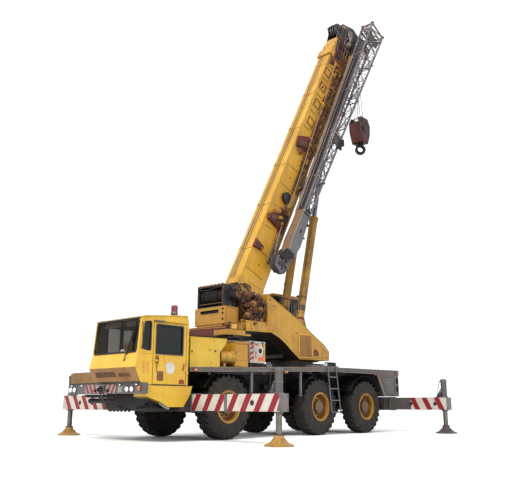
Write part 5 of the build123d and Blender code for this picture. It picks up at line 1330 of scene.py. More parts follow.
# tread plate: bars in a herringbone on the walkways beside the turntable and behind the cover
TR = Piece("deck_tread", "carrier")
for s in (1, -1):
    for i in range(58):
        x = 1.50 - i * .115
        if abs(x - -2.2) < .0:
            continue
        z = deck_z(x)
        for j in range(5):
            y = s * (.72 + j * .115)
            if .60 < x < 1.45 and s > 0 or .12 < x < .70 and s > 0 or x > 1.40:
                continue
            t = radians(45 if (i + j) % 2 else -45)
            dx, dy = cos(t) * .032, sin(t) * .032
            ex, ey = -sin(t) * .006, cos(t) * .006
            TR.add([(x - dx, y - dy, z + .0005), (x + ex, y + ey, z + .0005), (x + dx, y + dy, z + .0005), (x - ex, y - ey, z + .0005), (x, y, z + .0045)],
                   [(0, 1, 4), (1, 2, 4), (2, 3, 4), (3, 0, 4)], "deck_tread")
TR.done()
# things standing on the deck: grey stowage slab behind the battery box, stack by the ladder, shackles, hose reels
P.box(-.13, .07, 1.02, 1.24, deck_z(0) + .001, deck_z(0) + .075, "steel_grey", .008)
P.hose([(.06, 1.22, deck_z(0) + .08), (-.02, 1.235, deck_z(0) + .11), (-.10, 1.22, deck_z(0) + .08)], .012, "steel_grey", 8)
P.box(-2.16, -1.62, 1.02, 1.25, deck_z(-1.9) + .001, deck_z(-1.9) + .05, "steel_grey", .008)
P.box(-2.10, -1.70, 1.04, 1.24, deck_z(-1.9) + .05, deck_z(-1.9) + .085, "black_iron", .008)
P.box(-2.70, -2.30, 1.08, 1.262, deck_z(-2.5) + .001, deck_z(-2.5) + .035, "steel_grey", .006)
P.box(-2.62, -2.36, 1.12, 1.25, deck_z(-2.5) + .035, deck_z(-2.5) + .13, "black_iron", .012)
# ladder: ribbed rungs, upper hooks and grab loop
lad = lambda t, f: Vector((-2.18 - .13 * t, 1.30, 1.70 - 1.17 * t)) if f else Vector((-2.52 - .17 * t, 1.30, 1.70 - 1.17 * t))
for k in range(4):
    t = (1.70 - (1.42 - k * .29)) / 1.17
    a, b = lad(t, 1), lad(t, 0)
    for j in range(9):
        p = a.lerp(b, (j + .7) / 9.4)
        P.box(p.x - .008, p.x + .008, 1.282, 1.332, p.z + .012, p.z + .0175, "steel_grey", .002)
    for q in (a, b):
        P.cyl(q + Vector((0, -.001, 0)) + Vector((0, .019, 0)), q + Vector((0, .025, 0)), .016, "steel_grey", 12)
for f in (0, 1):
    a = lad(0, f)
    P.hose([a, a + Vector((.004, 0, .06)), a + Vector((0, -.03, .085)), a + Vector((0, -.08, .06)), a + Vector((0, -.085, .005))], .016, "steel_grey", 10, 4)
    b = lad(1, f)
    P.lathe([(.024, 0), (.024, .03), (.018, .036), (0, .036)], b + Vector((0, 0, -.012)), (0, 0, 1), "hose_black", 14)
# rubber mudguards round each wheel and their stays
for ax, x in AXLES:
    for s in (1, -1):
        R = .80 if ax != "front" else .79
        zc = .70
        pts = []
        for k in range(9):
            t = radians(28 + 124 * k / 8)
            pts.append((x + R * cos(t) * 1.02, min(zc + R * sin(t), deck_z(x) - .13)))
        if ax == "front":
            pts = [(px, min(pz, 1.38)) for px, pz in pts]
        for (xa, za), (xb, zb) in zip(pts, pts[1:]):
            P.prism([(xa, s * .84, za), (xb, s * .84, zb), (xb, s * .84, zb + .006), (xa, s * .84, za + .006)], (0, s * .405, 0), "hose_black", .001)
# slanting brown-grey stay by the rear locker, as the arch's edge
for s in (1, -1):
    P.prism([(-4.46, s * 1.262, 1.56), (-4.53, s * 1.262, 1.56), (-4.86, s * 1.262, .972), (-4.80, s * 1.262, .972)], (0, s * .012, 0), "deck_edge", .003)
    # locker: framed doors, hinges, shelf edges in the two openings
    for z0, z1 in ((1.32, 1.48), (1.10, 1.25)):
        P.frame([(-5.43, s * 1.268, z0 - .01), (-5.57, s * 1.268, z0 - .01), (-5.57, s * 1.268, z1 + .01), (-5.43, s * 1.268, z1 + .01)],
                [(-5.44, s * 1.268, z0), (-5.56, s * 1.268, z0), (-5.56, s * 1.268, z1), (-5.44, s * 1.268, z1)], (0, s * .006, 0), "deck_edge")
    P.frame([(-5.38, s * 1.268, 1.02), (-4.92, s * 1.268, 1.02), (-4.72, s * 1.268, 1.50), (-5.38, s * 1.268, 1.50)],
            [(-5.37, s * 1.268, 1.03), (-4.928, s * 1.268, 1.03), (-4.737, s * 1.268, 1.49), (-5.37, s * 1.268, 1.49)], (0, s * .003, 0), "black_paint")
    P.cyl((-5.0, s * 1.27, 1.25), (-5.0, s * 1.284, 1.25), .02, "worn_steel", 14)
# tail: cluster lamps, blank plate, tow jaw, steps
for s in (1, -1):
    P.yz(round_rect(s * 1.04, 1.50, .36, .13, .02), -5.618, -5.600, "black_paint", .004)
    for k, mat in enumerate(("lamp_amber", "lamp_red", "lamp_clear")):
        P.lathe([(.046, 0), (.046, .010), (.034, .019), (0, .022)], (-5.616, s * (1.15 - k * .11), 1.50), (-1, 0, 0), mat, 24)
P.yz(round_rect(0, 1.60, .52, .12, .01), -5.606, -5.600, "board_white", .001)
P.done()

# ============================================================ under the deck =======
P = Piece("underbody", "carrier")
# everything under the deck is drawn in near-black: painted shade
UNDER_SHADE = "under_black"
# radiator grille and underrun behind the bumper, towing cross tube, front springs
P.prism([(3.40, .02, .93), (3.40, 1.17, .93), (3.40, 1.14, .80), (3.40, .93, .70), (3.40, .60, .655), (3.40, .30, .68), (3.40, .12, .76)], (-.10, 0, 0), UNDER_SHADE, .01)
P.prism([(3.40, -1.10, .93), (3.40, .02, .93), (3.40, .10, .84), (3.40, -.40, .86), (3.40, -1.02, .87)], (-.10, 0, 0), UNDER_SHADE, .01)
P.prism([(3.28, .20, .72), (3.28, 1.10, .74), (2.72, 1.10, .62), (2.72, .10, .60)], (0, 0, -.03), UNDER_SHADE, .01)
P.box(2.72, 3.30, .40, 1.10, .62, .95, UNDER_SHADE, .03)
for y, l in ((.18, .10), (.46, .06), (.72, .09), (1.02, .12)):
    P.cyl((3.34, y, .72), (3.32, y, .72 - l), .02, UNDER_SHADE, 10)
    P.hose([(3.36, y, .74), (3.38, y + .05, .66), (3.36, y + .11, .70)], .012, UNDER_SHADE, 8)
P.box(2.68, 3.34, -.36, .36, .62, 1.10, UNDER_SHADE, .03)
for k in range(6):
    P.box(3.20, 3.24, -.35 + k * .13, -.32 + k * .13, .58, 1.1, UNDER_SHADE, .004)
P.cyl((3.30, -1.0, .80), (3.30, 1.0, .80), .05, UNDER_SHADE, 16)
# sump, bell housing, silencer, air tanks
P.box(1.62, 2.04, -.30, .30, .62, 1.02, UNDER_SHADE, .05)
P.cyl((1.60, 0, .90), (1.10, 0, .86), .22, UNDER_SHADE, 24, .02)
P.cyl((1.12, 0, .84), (.44, 0, .74), .06, UNDER_SHADE, 16)
P.cyl((1.02, -.31, .80), (.35, -.31, .80), .14, UNDER_SHADE, 28, .03)
P.hose([(1.02, -.31, .80), (1.30, -.34, .86), (1.62, -.40, 1.02)], .045, "brown_rust", 12)
for x0, x1, y, z, r in ((-.1, -1.05, .78, .80, .14), (.45, -.02, .95, .84, .12), (-2.75, -3.2, .62, .90, .12)):
    P.cyl((x0, y, z), (x1, y, z), r, UNDER_SHADE, 28, .03)
    for x in (x0 - .12 * (1 if x0 > x1 else -1), x1 + .12 * (1 if x0 > x1 else -1)):
        P.pipe((x - .015, y, z), (x + .015, y, z), r + .008, r - .002, UNDER_SHADE, 28)
# near-black shutters of painted shade that close the view between the rails, wheel wells' inner walls
for s in (1, -1):
    P.box(2.38, -5.5, s * .505, s * .515, 1.02, 1.40, UNDER_SHADE, .004)
    P.prism([(2.38, s * .515, 1.34), (-2.31, s * .515, 1.50), (-5.5, s * .515, 1.52), (-5.5, s * .515, 1.40), (2.38, s * .515, 1.25)], (0, s * .006, 0), UNDER_SHADE, .001)
    # valves, pipes and brackets along the rail
    for i, x in enumerate((.20, -.12, -.55, -.85, -1.0, -2.85, -3.05, -4.7)):
        h = (.16, .22, .12, .26)[i % 4]
        P.box(x - .07, x + .07, s * .515, s * (.60 + .03 * (i % 3)), 1.08, 1.08 + h, UNDER_SHADE, .01)
        P.hose([(x, s * .60, 1.1), (x + .05, s * .66, 1.02), (x + .2, s * .62, 1.0), (x + .4, s * .56, 1.04)], .011, UNDER_SHADE, 6)
    for z, r in ((1.30, .012), (1.26, .009), (1.22, .009), (1.17, .014)):
        P.hose([(2.3, s * .53, z), (1.2, s * .535, z + .01), (-.4, s * .53, z - .01), (-2.0, s * .54, z), (-3.5, s * .53, z + .01), (-5.3, s * .53, z)], r, "hose_black", 6, 4)
    # leaf springs over each axle with hangers, shackles and U bolts
    for ax, x in AXLES:
        zc = .80
        for k in range(7):
            L = .62 - k * .07
            z = zc + .012 * k
            pts = [(x - L, s * .45, z + .10 * (L / .62) ** 2), (x - L * .5, s * .45, z + .028 * (L / .62)), (x, s * .45, z), (x + L * .5, s * .45, z + .028 * (L / .62)), (x + L, s * .45, z + .10 * (L / .62) ** 2)]
            pp = arc_path(pts, 3)
            for p, q in zip(pp, pp[1:]):
                P.prism([(p.x, s * .41, p.z), (q.x, s * .41, q.z), (q.x, s * .41, q.z + .011), (p.x, s * .41, p.z + .011)], (0, s * .08, 0), UNDER_SHADE, .001)
        for dx in (-.055, .055):
            P.hose([(x + dx, s * .395, .60), (x + dx, s * .395, .88), (x + dx, s * .45, .905), (x + dx, s * .505, .88), (x + dx, s * .505, .60)], .011, UNDER_SHADE, 8, 3)
        P.cyl((x - .25, s * .55, .72), (x - .12, s * .56, 1.22), .034, UNDER_SHADE, 16)
        P.cyl((x - .19, s * .555, .95), (x - .12, s * .56, 1.22), .044, UNDER_SHADE, 16)
# brake chambers and hoses at each axle
for ax, x in AXLES:
    for s in (1, -1):
        if x > 0:
            continue
        P.cyl((x + .24, s * .66, .80), (x + .38, s * .66, .84), .085, UNDER_SHADE, 24, .02)
        P.hose([(x + .38, s * .66, .86), (x + .46, s * .64, .95), (x + .40, s * .58, 1.1), (x + .30, s * .53, 1.2)], .011, "hose_black", 8)
# diff housing details on the two driven axles
for x in (-1.94, -3.955):
    P.lathe([(.20, 0), (.255, .02), (.262, .05), (.262, .075), (.25, .09)], (x + .01, 0, .685), (-1, 0, 0), UNDER_SHADE, 36)
    P.ring_of((x - .08, 0, .685), (-1, 0, 0), .235, 14, .011, .012, UNDER_SHADE)
    P.cyl((x + .2, 0, .70), (x + .28, 0, .70), .09, UNDER_SHADE, 20)
# tie rod, drag link and steering arm of the front axle stay below the rails
P.cyl((1.06, -.62, .57), (1.06, .62, .57), .022, UNDER_SHADE, 12)
# outrigger sleeve lips
for x, s in ((2.22, 1), (2.5, -1), (-5.29, 1), (-5.0, -1)):
    for z in (.598 - .014, .942 - .004):
        P.box(x - .148, x + .148, s * 1.222, s * 1.256, z, z + .018, "steel_grey", .003)
    for dx in (-.146, .146):
        P.box(x + dx - .009, x + dx + .009, s * 1.222, s * 1.256, .59, .95, "steel_grey", .003)
P.done()

P = Piece("fuel_tank_trim", "carrier")
for x in (-.62, -.30, .02):
    P.prism([(x - .025, -1.234, .516), (x + .025, -1.234, .516), (x + .025, -1.234, 1.184), (x - .025, -1.234, 1.184)], (0, -.005, 0), "steel_grey", .001)
    P.box(x - .025, x + .025, -1.236, -.756, 1.180, 1.186, "steel_grey", .001)
    P.box(x - .025, x + .025, -1.236, -.756, .513, .520, "steel_grey", .001)
P.cyl((-.05, -1.12, 1.18), (-.05, -1.12, 1.24), .06, "steel_grey", 24)
P.lathe([(.07, 0), (.07, .03), (.055, .04), (0, .042)], (-.05, -1.12, 1.235), (0, 0, 1), "black_iron", 24)
for k in range(3):
    P.box(-.78, -.55, -1.30, -1.235, .56 + k * .26, .585 + k * .26, "steel_grey", .004)
for x in (-.77, -.56):
    P.box(x - .01, x + .01, -1.29, -1.232, .56, 1.10, "steel_grey", .003)
P.done()

# ============================================================ superstructure =====
random.seed(5)
P = Piece("turntable_trim", "superstructure")
SY = .80
SIDE_EDGE = [(-.45, 3.40), (-1.48, 2.93), (-1.76, 2.81), (-1.94, 2.69), (-2.24, 2.52), (-2.69, 2.29), (-2.91, 2.11), (-2.89, 1.88), (-1.66, 1.86), (-1.36, 2.05), (-1.12, 2.22), (-.88, 2.35), (-.56, 2.465), (-.45, 2.475)]
# rolled weld along the plate's rim, inner line parallel to its lower edge
P.hose([(x, SY, z) for x, z in SIDE_EDGE + SIDE_EDGE[:1]], .0075, "turntable_paint", 8, smooth=False)
P.hose([(x, SY - .36, z) for x, z in SIDE_EDGE + SIDE_EDGE[:1]], .0065, "turntable_paint", 8, smooth=False)
low = [(-.60, 2.545), (-.93, 2.43), (-1.17, 2.305), (-1.42, 2.135), (-1.62, 2.005)]
P.hose([(x, SY + .0005, z) for x, z in low], .0022, "seam_brown", 6, smooth=False)
P.hose([(-.47, SY + .0005, 2.70), (-.76, SY + .0005, 2.60), (-.93, SY + .0005, 2.50)], .0022, "seam_brown", 6, smooth=False)
# vent panel with upright slats
vx0, vx1, vz0, vz1 = -2.17, -1.65, 1.92, 2.50
P.xz([(vx0, vz0), (vx1, vz0), (vx1, vz1), (vx0, vz1)], SY, SY + .004, "vent_brown", .001)
P.frame([(x, SY + .003, z) for x, z in ((vx0 - .014, vz0 - .014), (vx1 + .014, vz0 - .014), (vx1 + .014, vz1 + .014), (vx0 - .014, vz1 + .014))],
        [(x, SY + .003, z) for x, z in ((vx0 + .012, vz0 + .012), (vx1 - .012, vz0 + .012), (vx1 - .012, vz1 - .012), (vx0 + .012, vz1 - .012))], (0, .010, 0), "plate_ochre")
for k in range(17):
    x = vx0 + .030 + k * .0275
    P.prism([(x, SY + .003, vz0 + .02), (x + .017, SY + .003, vz0 + .02), (x + .011, SY + .014, vz0 + .02), (x + .005, SY + .014, vz0 + .02)], (0, 0, vz1 - vz0 - .04), "vent_brown", .001)
P.bolts([(x, SY + .013, z) for x in (vx0, vx1) for z in (vz0, 2.21, vz1)], (0, 1, 0), .007, .004)
# rust-red opening behind it, with a pipe in it
P.xz(round_poly([(-2.24, 1.975), (-2.24, 2.13), (-2.37, 2.145), (-2.46, 2.04), (-2.44, 1.975)], .03), SY + .0005, SY + .003, "red_brown", .001)
P.frame([(x, SY, z) for x, z in round_poly([(-2.225, 1.96), (-2.225, 2.145), (-2.378, 2.162), (-2.478, 2.045), (-2.456, 1.96)], .03)],
        [(x, SY, z) for x, z in round_poly([(-2.245, 1.98), (-2.245, 2.125), (-2.368, 2.14), (-2.455, 2.038), (-2.436, 1.98)], .03)], (0, .009, 0), "turntable_paint")
P.cyl((-2.30, SY + .002, 2.03), (-2.30, SY + .02, 2.03), .028, "plate_brown", 16)
P.hose([(-2.62, SY + .002, 2.20), (-2.70, SY + .004, 2.13), (-2.80, SY + .002, 2.08)], .006, "seam_brown", 6)
P.bolts([(-2.53, SY, 2.23), (-2.62, SY, 2.05), (-2.80, SY, 1.95), (-2.60, SY, 1.93)], (0, 1, 0), .013, .01)
# eyes, plugs and nuts seen as dark dots
for x, z, r in ((-.54, 3.26, .020), (-.69, 3.12, .020), (-.46 - .03, 2.75, .013), (-1.37, 2.43, .013), (-1.57, 2.52, .019), (-1.10, 2.88, .010), (-.62, 2.50, .010), (-1.28, 2.52, .009)):
    P.lathe([(r * 1.5, 0), (r * 1.5, .004), (r, .005), (r, .001)], (x, SY, z), (0, 1, 0), "turntable_paint", 20, closed=True)
    P.cyl((x, SY - .001, z), (x, SY + .0035, z), r, "shade_and_print_black", 18, .001)
# lift cylinder foot pins: bosses with keeper plates on both faces of each side frame
for y, s in ((.44, -1), (-.48, -1)):
    P.lathe([(.112, 0), (.112, .012), (.10, .022), (.05, .024), (0, .024)], (-2.12, y, 2.25), (0, s, 0), "turntable_paint", 32)
    P.box(-2.17, -2.07, y, y + s * .034, 2.165, 2.205, "worn_steel", .004)
    P.bolts([(-2.155, y + s * .034, 2.185), (-2.085, y + s * .034, 2.185)], (0, s, 0), .010)
# front end of the side frame: shaded face with its hand hole and a black drum lamp
fx = -.45
P.yz(round_rect(.62, 2.94, .27, .70, .03), fx, fx + .006, "turntable_paint", .002)
P.yz(round_poly([(.47, 3.33), (.53, 3.33), (.53, 3.24), (.47, 3.24)], .008), fx + .001, fx + .010, "shade_and_print_black", .001)
P.lathe([(.055, 0), (.055, .03), (.088, .036), (.092, .07), (.092, .10), (.080, .107), (.074, .100), (0, .098)], (fx, .405, 2.965), (1, 0, 0), "black_iron", 32)
P.bolts([(fx + .006, y, z) for y in (.50, .74) for z in (2.62, 3.26)], (1, 0, 0), .012)
# lower flange box: seams, bolts, hinge
P.xz([(.285, 2.455), (-.535, 2.475), (-.535, 2.675), (.285, 2.665)], SY + .0, SY + .0045, "turntable_paint", .002)
for x in (-.02, .16):
    P.box(x - .0025, x + .0025, SY + .004, SY + .0062, 2.46, 2.665, "seam_brown", .0005)
for x, z in ((-.50, 2.64), (-.50, 2.51), (-.08, 2.63), (.25, 2.63), (.25, 2.49), (.10, 2.50)):
    P.bolt((x, SY + .0045, z), (0, 1, 0), .010)
P.yz(round_rect(.575, 2.555, .40, .17, .015), .310, .318, "turntable_paint", .003)
P.yz(round_rect(.50, 2.555, .13, .11, .012), .317, .322, "plate_brown", .001)
P.bolts([(.318, y, z) for y in (.40, .75) for z in (2.49, 2.62)], (1, 0, 0), .009)
# pair of small boxes ahead of the flange, on the tray
P.box(.335, .53, .42, .76, 2.432, 2.60, "machine_yellow", .012)
P.box(.545, .74, .46, .74, 2.432, 2.575, "plate_brown", .012)
P.box(.56, .725, .735, .752, 2.45, 2.56, "plate_ochre", .003)
P.frame([(.34, .761, 2.445), (.525, .761, 2.445), (.525, .761, 2.590), (.34, .761, 2.590)], [(.348, .761, 2.453), (.517, .761, 2.453), (.517, .761, 2.582), (.348, .761, 2.582)], (0, .0015, 0), "seam_brown")
P.cyl((.64, .60, 2.57), (.64, .60, 2.62), .03, "black_iron", 16)
# platform plate with rolled edge
P.xz([(.90, 2.292), (.14, 2.305), (.14, 2.352), (.90, 2.340)], .765, .806, "turntable_paint", .006)
P.yz(round_rect(.55, 2.362, .46, .10, .01), .880, .890, "turntable_paint", .002)
for k in range(9):
    P.box(.36 + k * .055, .385 + k * .055, .32, .76, 2.428, 2.434, "plate_brown", .001)
# red-brown beam under the counterweight, its end plates, a black box in the gap at the port end as painted shade
P.prism([(.765, -.83, 2.555), (.765, .61, 2.535), (.765, .61, 2.235), (.765, -.83, 2.405)], (-.06, 0, 0), "red_brown", .01)
P.prism([(.767, -.80, 2.535), (.767, .58, 2.510), (.767, .58, 2.480), (.767, -.80, 2.512)], (.006, 0, 0), "plate_brown", .002)
P.box(.60, .768, .60, .69, 2.27, 2.56, "shade_and_print_black", .01)
P.box(.40, .768, -.84, -.80, 2.40, 2.56, "red_brown", .006)
for k in range(7):
    y = -.68 + k * .19
    P.bolt((.766, y, 2.43 - .06 * (y + .8) / 1.4), (1, 0, 0), .012)
# black strip under the counterweight's edge: painted shade
P.box(.40, .70, -.40, .42, 2.566, 2.584, "shade_and_print_black", .004)
# belly: painted shade, near-black between the frames and dark brown under the port box
LOWE = [(-2.89, 1.862), (-1.66, 1.86), (-1.36, 2.05), (-1.12, 2.22), (-.88, 2.35), (-.56, 2.465), (.30, 2.535)]
for (xa, za), (xb, zb) in zip(LOWE, LOWE[1:]):
    for y0, y1, mat, t in ((-.486, .444, "under_black", .010), (.446, .798, "under_brown", .004)):
        if mat == "under_brown" and xa > -.6:
            continue
        za_, zb_ = (za + (.018 if xa < -2 and y0 > 0 else 0), zb)
        P.prism([(xa, y0, za_), (xb, y0, zb_), (xb, y0, zb_ - t), (xa, y0, za_ - t)], (0, y1 - y0, 0), mat, .001)
P.prism([(-.56, .35, 2.445), (.30, .35, 2.428), (.30, .35, 2.422), (-.56, .35, 2.439)], (0, .44, 0), "under_brown", .001)
P.prism([(.34, .31, 2.298), (.87, .31, 2.298), (.87, .31, 2.292), (.34, .31, 2.292)], (0, .47, 0), "under_brown", .001)
P.box(-.44, .30, .30, .345, 2.47, 2.68, "under_brown", .004)
# walkway between the operator's cab and the winch on the starboard side
P.box(-1.12, .62, -1.15, -.505, 2.455, 2.475, "maroon", .003)
P.box(-1.12, .62, -1.155, -1.135, 2.415, 2.505, "maroon", .004)
P.box(.60, .62, -1.15, -.505, 2.415, 2.475, "maroon", .003)
# brackets under the walkway in the painted-shade brown
for x in (-.95, -.40, .15):
    P.prism([(x, -.505, 2.28), (x, -.505, 2.455), (x, -1.12, 2.455), (x, -1.12, 2.42)], (.018, 0, 0), "under_brown", .002)
for i in range(14):
    for j in range(5):
        P.box(-1.06 + i * .12 - .022, -1.06 + i * .12 + .022, -1.08 + j * .12 - .004, -1.08 + j * .12 + .004, 2.475, 2.479, "maroon", .001)
# slew ring: bolt circle and rack teeth
P.ring_of((SLEW_X, 0, 1.866), (0, 0, 1), .575, 36, .014, .014)
for i in range(72):
    t = 2 * pi * i / 72
    e, n = Vector((cos(t), sin(t), 0)), Vector((-sin(t), cos(t), 0))
    o = Vector((SLEW_X, 0, 1.812)) + e * .614
    P.prism([o - n * .017, o - n * .008 + e * .020, o + n * .008 + e * .020, o + n * .017], (0, 0, .046), "black_iron", .001)
# deck between the side frames: ribs, hose run, lift cylinder valve
for x in (-2.55, -1.75, -1.45):
    P.box(x - .01, x + .01, -.43, .43, 1.895, 2.02, "turntable_paint", .003)
for k in range(6):
    y = -.12 + k * .05
    P.hose([(.2, y, 2.60), (-.5, y, 2.56), (-.9, y * 1.2, 2.44), (-1.3, y * 1.4, 2.18), (-1.65, y * 1.2, 1.95), (-2.0, y * .6, 1.93), (-2.2, y * .3, 1.90)], .012 if k % 2 else .016, "hose_black" if k % 3 else "brown_rust", 8)
P.box(-1.05, -.80, -.18, .16, 2.43, 2.56, "motor_brown", .02)
P.box(-2.86, -2.62, -.30, .28, 1.90, 2.10, "oily_brown", .02)
# swivel and drain pipes at the tail, red lamps
for s in (1, -1):
    P.lathe([(.045, 0), (.045, .012), (.034, .022), (0, .025)], (-2.872, s * .34, 2.05), (-1, 0, 0), "lamp_red", 24)
P.bolts([(-2.872, y, z) for y in (-.42, 0, .42) for z in (1.92, 2.09)], (-1, 0, 0), .013)
P.done()

# ---- counterweight and winch ---------------------------------------------------------
P = Piece("counterweight_trim", "superstructure")
X = .76
P.frame([(X + .0, y, z) for y, z in ((-.505, 2.595), (.535, 2.595), (.535, 2.987), (-.505, 2.987))], [(X, y, z) for y, z in ((-.485, 2.615), (.515, 2.615), (.515, 2.967), (-.485, 2.967))], (.004, 0, 0), "upper_yellow")
P.frame([(X, y, z) for y, z in round_rect(0, 2.8925, .69, .115, .02)], [(X, y, z) for y, z in round_rect(0, 2.8925, .65, .080, .015)], (.006, 0, 0), "upper_yellow")
# the slot across the front frame and the three holes at the port end are painted black as shade
P.yz([(-.328, 2.852), (.328, 2.852), (.328, 2.933), (-.328, 2.933)], .7005, .703, "shade_and_print_black", .001)
P.box(.702, .758, -.328, .328, 2.8515, 2.854, "shade_and_print_black", .001)
P.box(.702, .758, -.328, .328, 2.931, 2.9335, "shade_and_print_black", .001)
for z in (2.94, 2.84, 2.70):
    P.lathe([(.026, 0), (.026, .006), (.018, .016), (0, .018)], (X, .465, z), (1, 0, 0), "shade_and_print_black", 16)
P.bolts([(X, -.46, z) for z in (2.66, 2.92)], (1, 0, 0), .014)
P.box(.33, .75, -.50, .53, 3.0005, 3.006, "plate_brown", .002)
P.hose([(.762, -.52, 2.585), (.762, .55, 2.585)], .009, "rust_streak", 8, smooth=False)
P.frame([(x, .5505, z) for x, z in ((.34, 2.60), (.74, 2.60), (.74, 2.98), (.34, 2.98))], [(x, .5505, z) for x, z in ((.352, 2.612), (.728, 2.612), (.728, 2.968), (.352, 2.968))], (0, .003, 0), "seam_brown")
for s in (-1, 1):
    P.torus((.54, .015 + s * .45, 3.03), (1, 0, 0), .035, .010, "worn_steel", 20, 8)
P.done()

P = Piece("winch_trim", "superstructure")
c = (.44, 3.30)
for k in range(23):
    y = -.372 + k * .0318
    P.torus((c[0], y, c[1]), (0, 1, 0), .2165 + (.012 if 4 < k < 17 else 0), .0150, "rope_dark" if k % 5 else "black_iron", 44, 7)
for y, s in ((-.46, -1), (.425, 1)):
    for t in range(6):
        a = pi * t / 3 + .3
        P.prism([(c[0] + cos(a) * .10, y, c[1] + sin(a) * .10), (c[0] + cos(a + .12) * .10, y, c[1] + sin(a + .12) * .10), (c[0] + cos(a + .05) * .235, y, c[1] + sin(a + .05) * .235), (c[0] + cos(a) * .235, y, c[1] + sin(a) * .235)], (0, s * .012, 0), "black_iron", .002)
    P.lathe([(.10, 0), (.10, .03), (.08, .045), (0, .045)], (c[0], y, c[1]), (0, s, 0), "black_iron", 32)
    P.ring_of((c[0], y + s * .03, c[1]), (0, s, 0), .088, 8, .010)
    P.frame([(x, y + s * .0, z) for x, z in ((.155, 3.012), (.735, 3.012), (.735, 3.555), (.155, 3.555))], [(x, y, z) for x, z in ((.185, 3.04), (.705, 3.04), (.705, 3.525), (.185, 3.525))], (0, s * .008, 0), "oily_brown")
# tie bars over the drum, rope guard rollers and the row of caps along the top
for x, z, r in ((.70, 3.53, .024), (.20, 3.53, .024), (.70, 3.10, .020)):
    P.cyl((x, -.46, z), (x, .425, z), r, "oily_brown", 14)
# near-black plate over the drum that closes the view through the frame: painted shade
P.box(.20, .70, -.455, .42, 3.536, 3.548, "under_black", .002)
P.box(.665, .735, -.45, .42, 3.545, 3.560, "plate_brown", .004)
for k in range(7):
    y = -.40 + k * .13
    P.lathe([(.022, 0), (.022, .018), (.012, .03), (0, .032)], (.70, y, 3.556), (0, 0, 1), "black_iron" if k % 2 else "plate_brown", 12)
P.hose([(.72, -.44, 3.50), (.745, -.2, 3.44), (.748, .1, 3.46), (.72, .4, 3.50)], .012, "hose_black", 8)
P.hose([(.73, -.44, 3.10), (.75, -.40, 3.3), (.73, -.44, 3.5)], .010, "hose_black", 8)
# motor and brake on the port end
P.cyl((c[0], .64, c[1]), (c[0], .70, c[1]), .085, "motor_brown", 28, .01)
P.ring_of((c[0], .64, c[1]), (0, 1, 0), .098, 8, .010)
P.box(.36, .52, .52, .66, 3.40, 3.47, "oily_brown", .01)
P.hose([(.44, .60, 3.47), (.36, .66, 3.56), (.20, .68, 3.50), (.05, .66, 3.38)], .016, "hose_black", 8)
P.hose([(.50, .60, 3.45), (.54, .70, 3.40), (.40, .76, 3.24), (.12, .74, 3.16)], .016, "hose_black", 8)
P.done()

# ---- hydraulic gear in front of the boom's foot ----------------------------------------
P = Piece("hydraulic_gear", "superstructure")


def motor(c, axis, r, L, mat, cap="oily_brown"):
    a = Vector(axis).normalized()
    c = Vector(c)
    P.lathe([(r * .75, 0), (r, .01), (r, L * .55), (r * .86, L * .6), (r * .86, L * .85), (r * .6, L), (0, L)], c, a, mat, 28)
    P.lathe([(r * 1.25, -.004), (r * 1.28, .004), (r * 1.28, .024), (r, .03), (0, .03)], c, a, cap, 28)
    P.ring_of(c + a * .026, a, r * 1.13, 6, .010, .010, "worn_steel")
    P.lathe([(r * .45, L), (r * .45, L + .025), (r * .3, L + .035), (0, L + .035)], c, a, cap, 16)


# valve bank: sections side by side with spool caps, relief cartridges and port bosses
for k in range(8):
    x = -.36 + k * .060
    P.box(x - .027, x + .027, .696, .735, 2.715, 2.965, "motor_brown" if k % 2 else "oily_brown", .006)
    P.cyl((x, .715, 2.965), (x, .715, 3.03), .020, "plate_brown", 14)
    P.cyl((x, .715, 2.70), (x, .715, 2.72), .020, "plate_brown", 14)
    P.cyl((x, .735, 2.88), (x, .760, 2.88), .017, "worn_steel", 6)
    P.cyl((x, .735, 2.80), (x, .755, 2.80), .015, "worn_steel", 6)
for k in range(4):
    y = .42 + k * .075
    P.box(.117, .150, y - .030, y + .030, 2.72, 2.96, "oily_brown" if k % 2 else "motor_brown", .006)
    P.cyl((.150, y, 2.90), (.185, y, 2.90), .018, "machine_yellow", 8)
    P.cyl((.150, y, 2.79), (.175, y, 2.79), .018, "worn_steel", 6)
motor((.10, .60, 3.31), (.35, .9, .1), .072, .17, "motor_brown")
motor((-.08, .66, 3.10), (.75, .65, .05), .082, .19, "machine_yellow")
motor((-.26, .70, 2.99), (.45, .85, -.15), .066, .15, "machine_yellow")
motor((.13, .68, 2.83), (.85, .5, -.25), .070, .16, "machine_yellow")
motor((-.05, .74, 2.70), (.6, .5, -.6), .060, .14, "motor_brown")
motor((-.30, .62, 3.30), (.7, .7, .2), .080, .18, "motor_brown")
motor((.02, .42, 3.42), (.9, .3, .25), .085, .16, "plate_brown")
for c, h, mat in (((.22, .56, 3.18), .07, "oily_brown"), ((-.16, .52, 3.36), .08, "oily_brown"), ((.20, .70, 3.05), .05, "red_brown"), ((-.36, .74, 3.16), .05, "oily_brown"),
                  ((.24, .62, 2.66), .06, "plate_brown"), ((-.28, .74, 2.74), .045, "machine_yellow"), ((.30, .48, 3.36), .05, "motor_brown")):
    P.box(c[0] - h, c[0] + h, c[1] - h * .8, c[1] + h * .8, c[2] - h, c[2] + h, mat, .012)
    P.cyl((c[0] + h, c[1], c[2]), (c[0] + h + .03, c[1], c[2]), h * .4, "worn_steel", 8)
    P.cyl((c[0], c[1] + h * .8, c[2]), (c[0], c[1] + h * .8 + .03, c[2]), h * .38, "worn_steel", 8)
for z in (2.64, 2.60):
    P.hose([(-.42, .80, z + .02), (-.1, .775, z + .05), (.2, .74, z + .05), (.30, .6, z + .06)], .011, "oily_brown", 8)
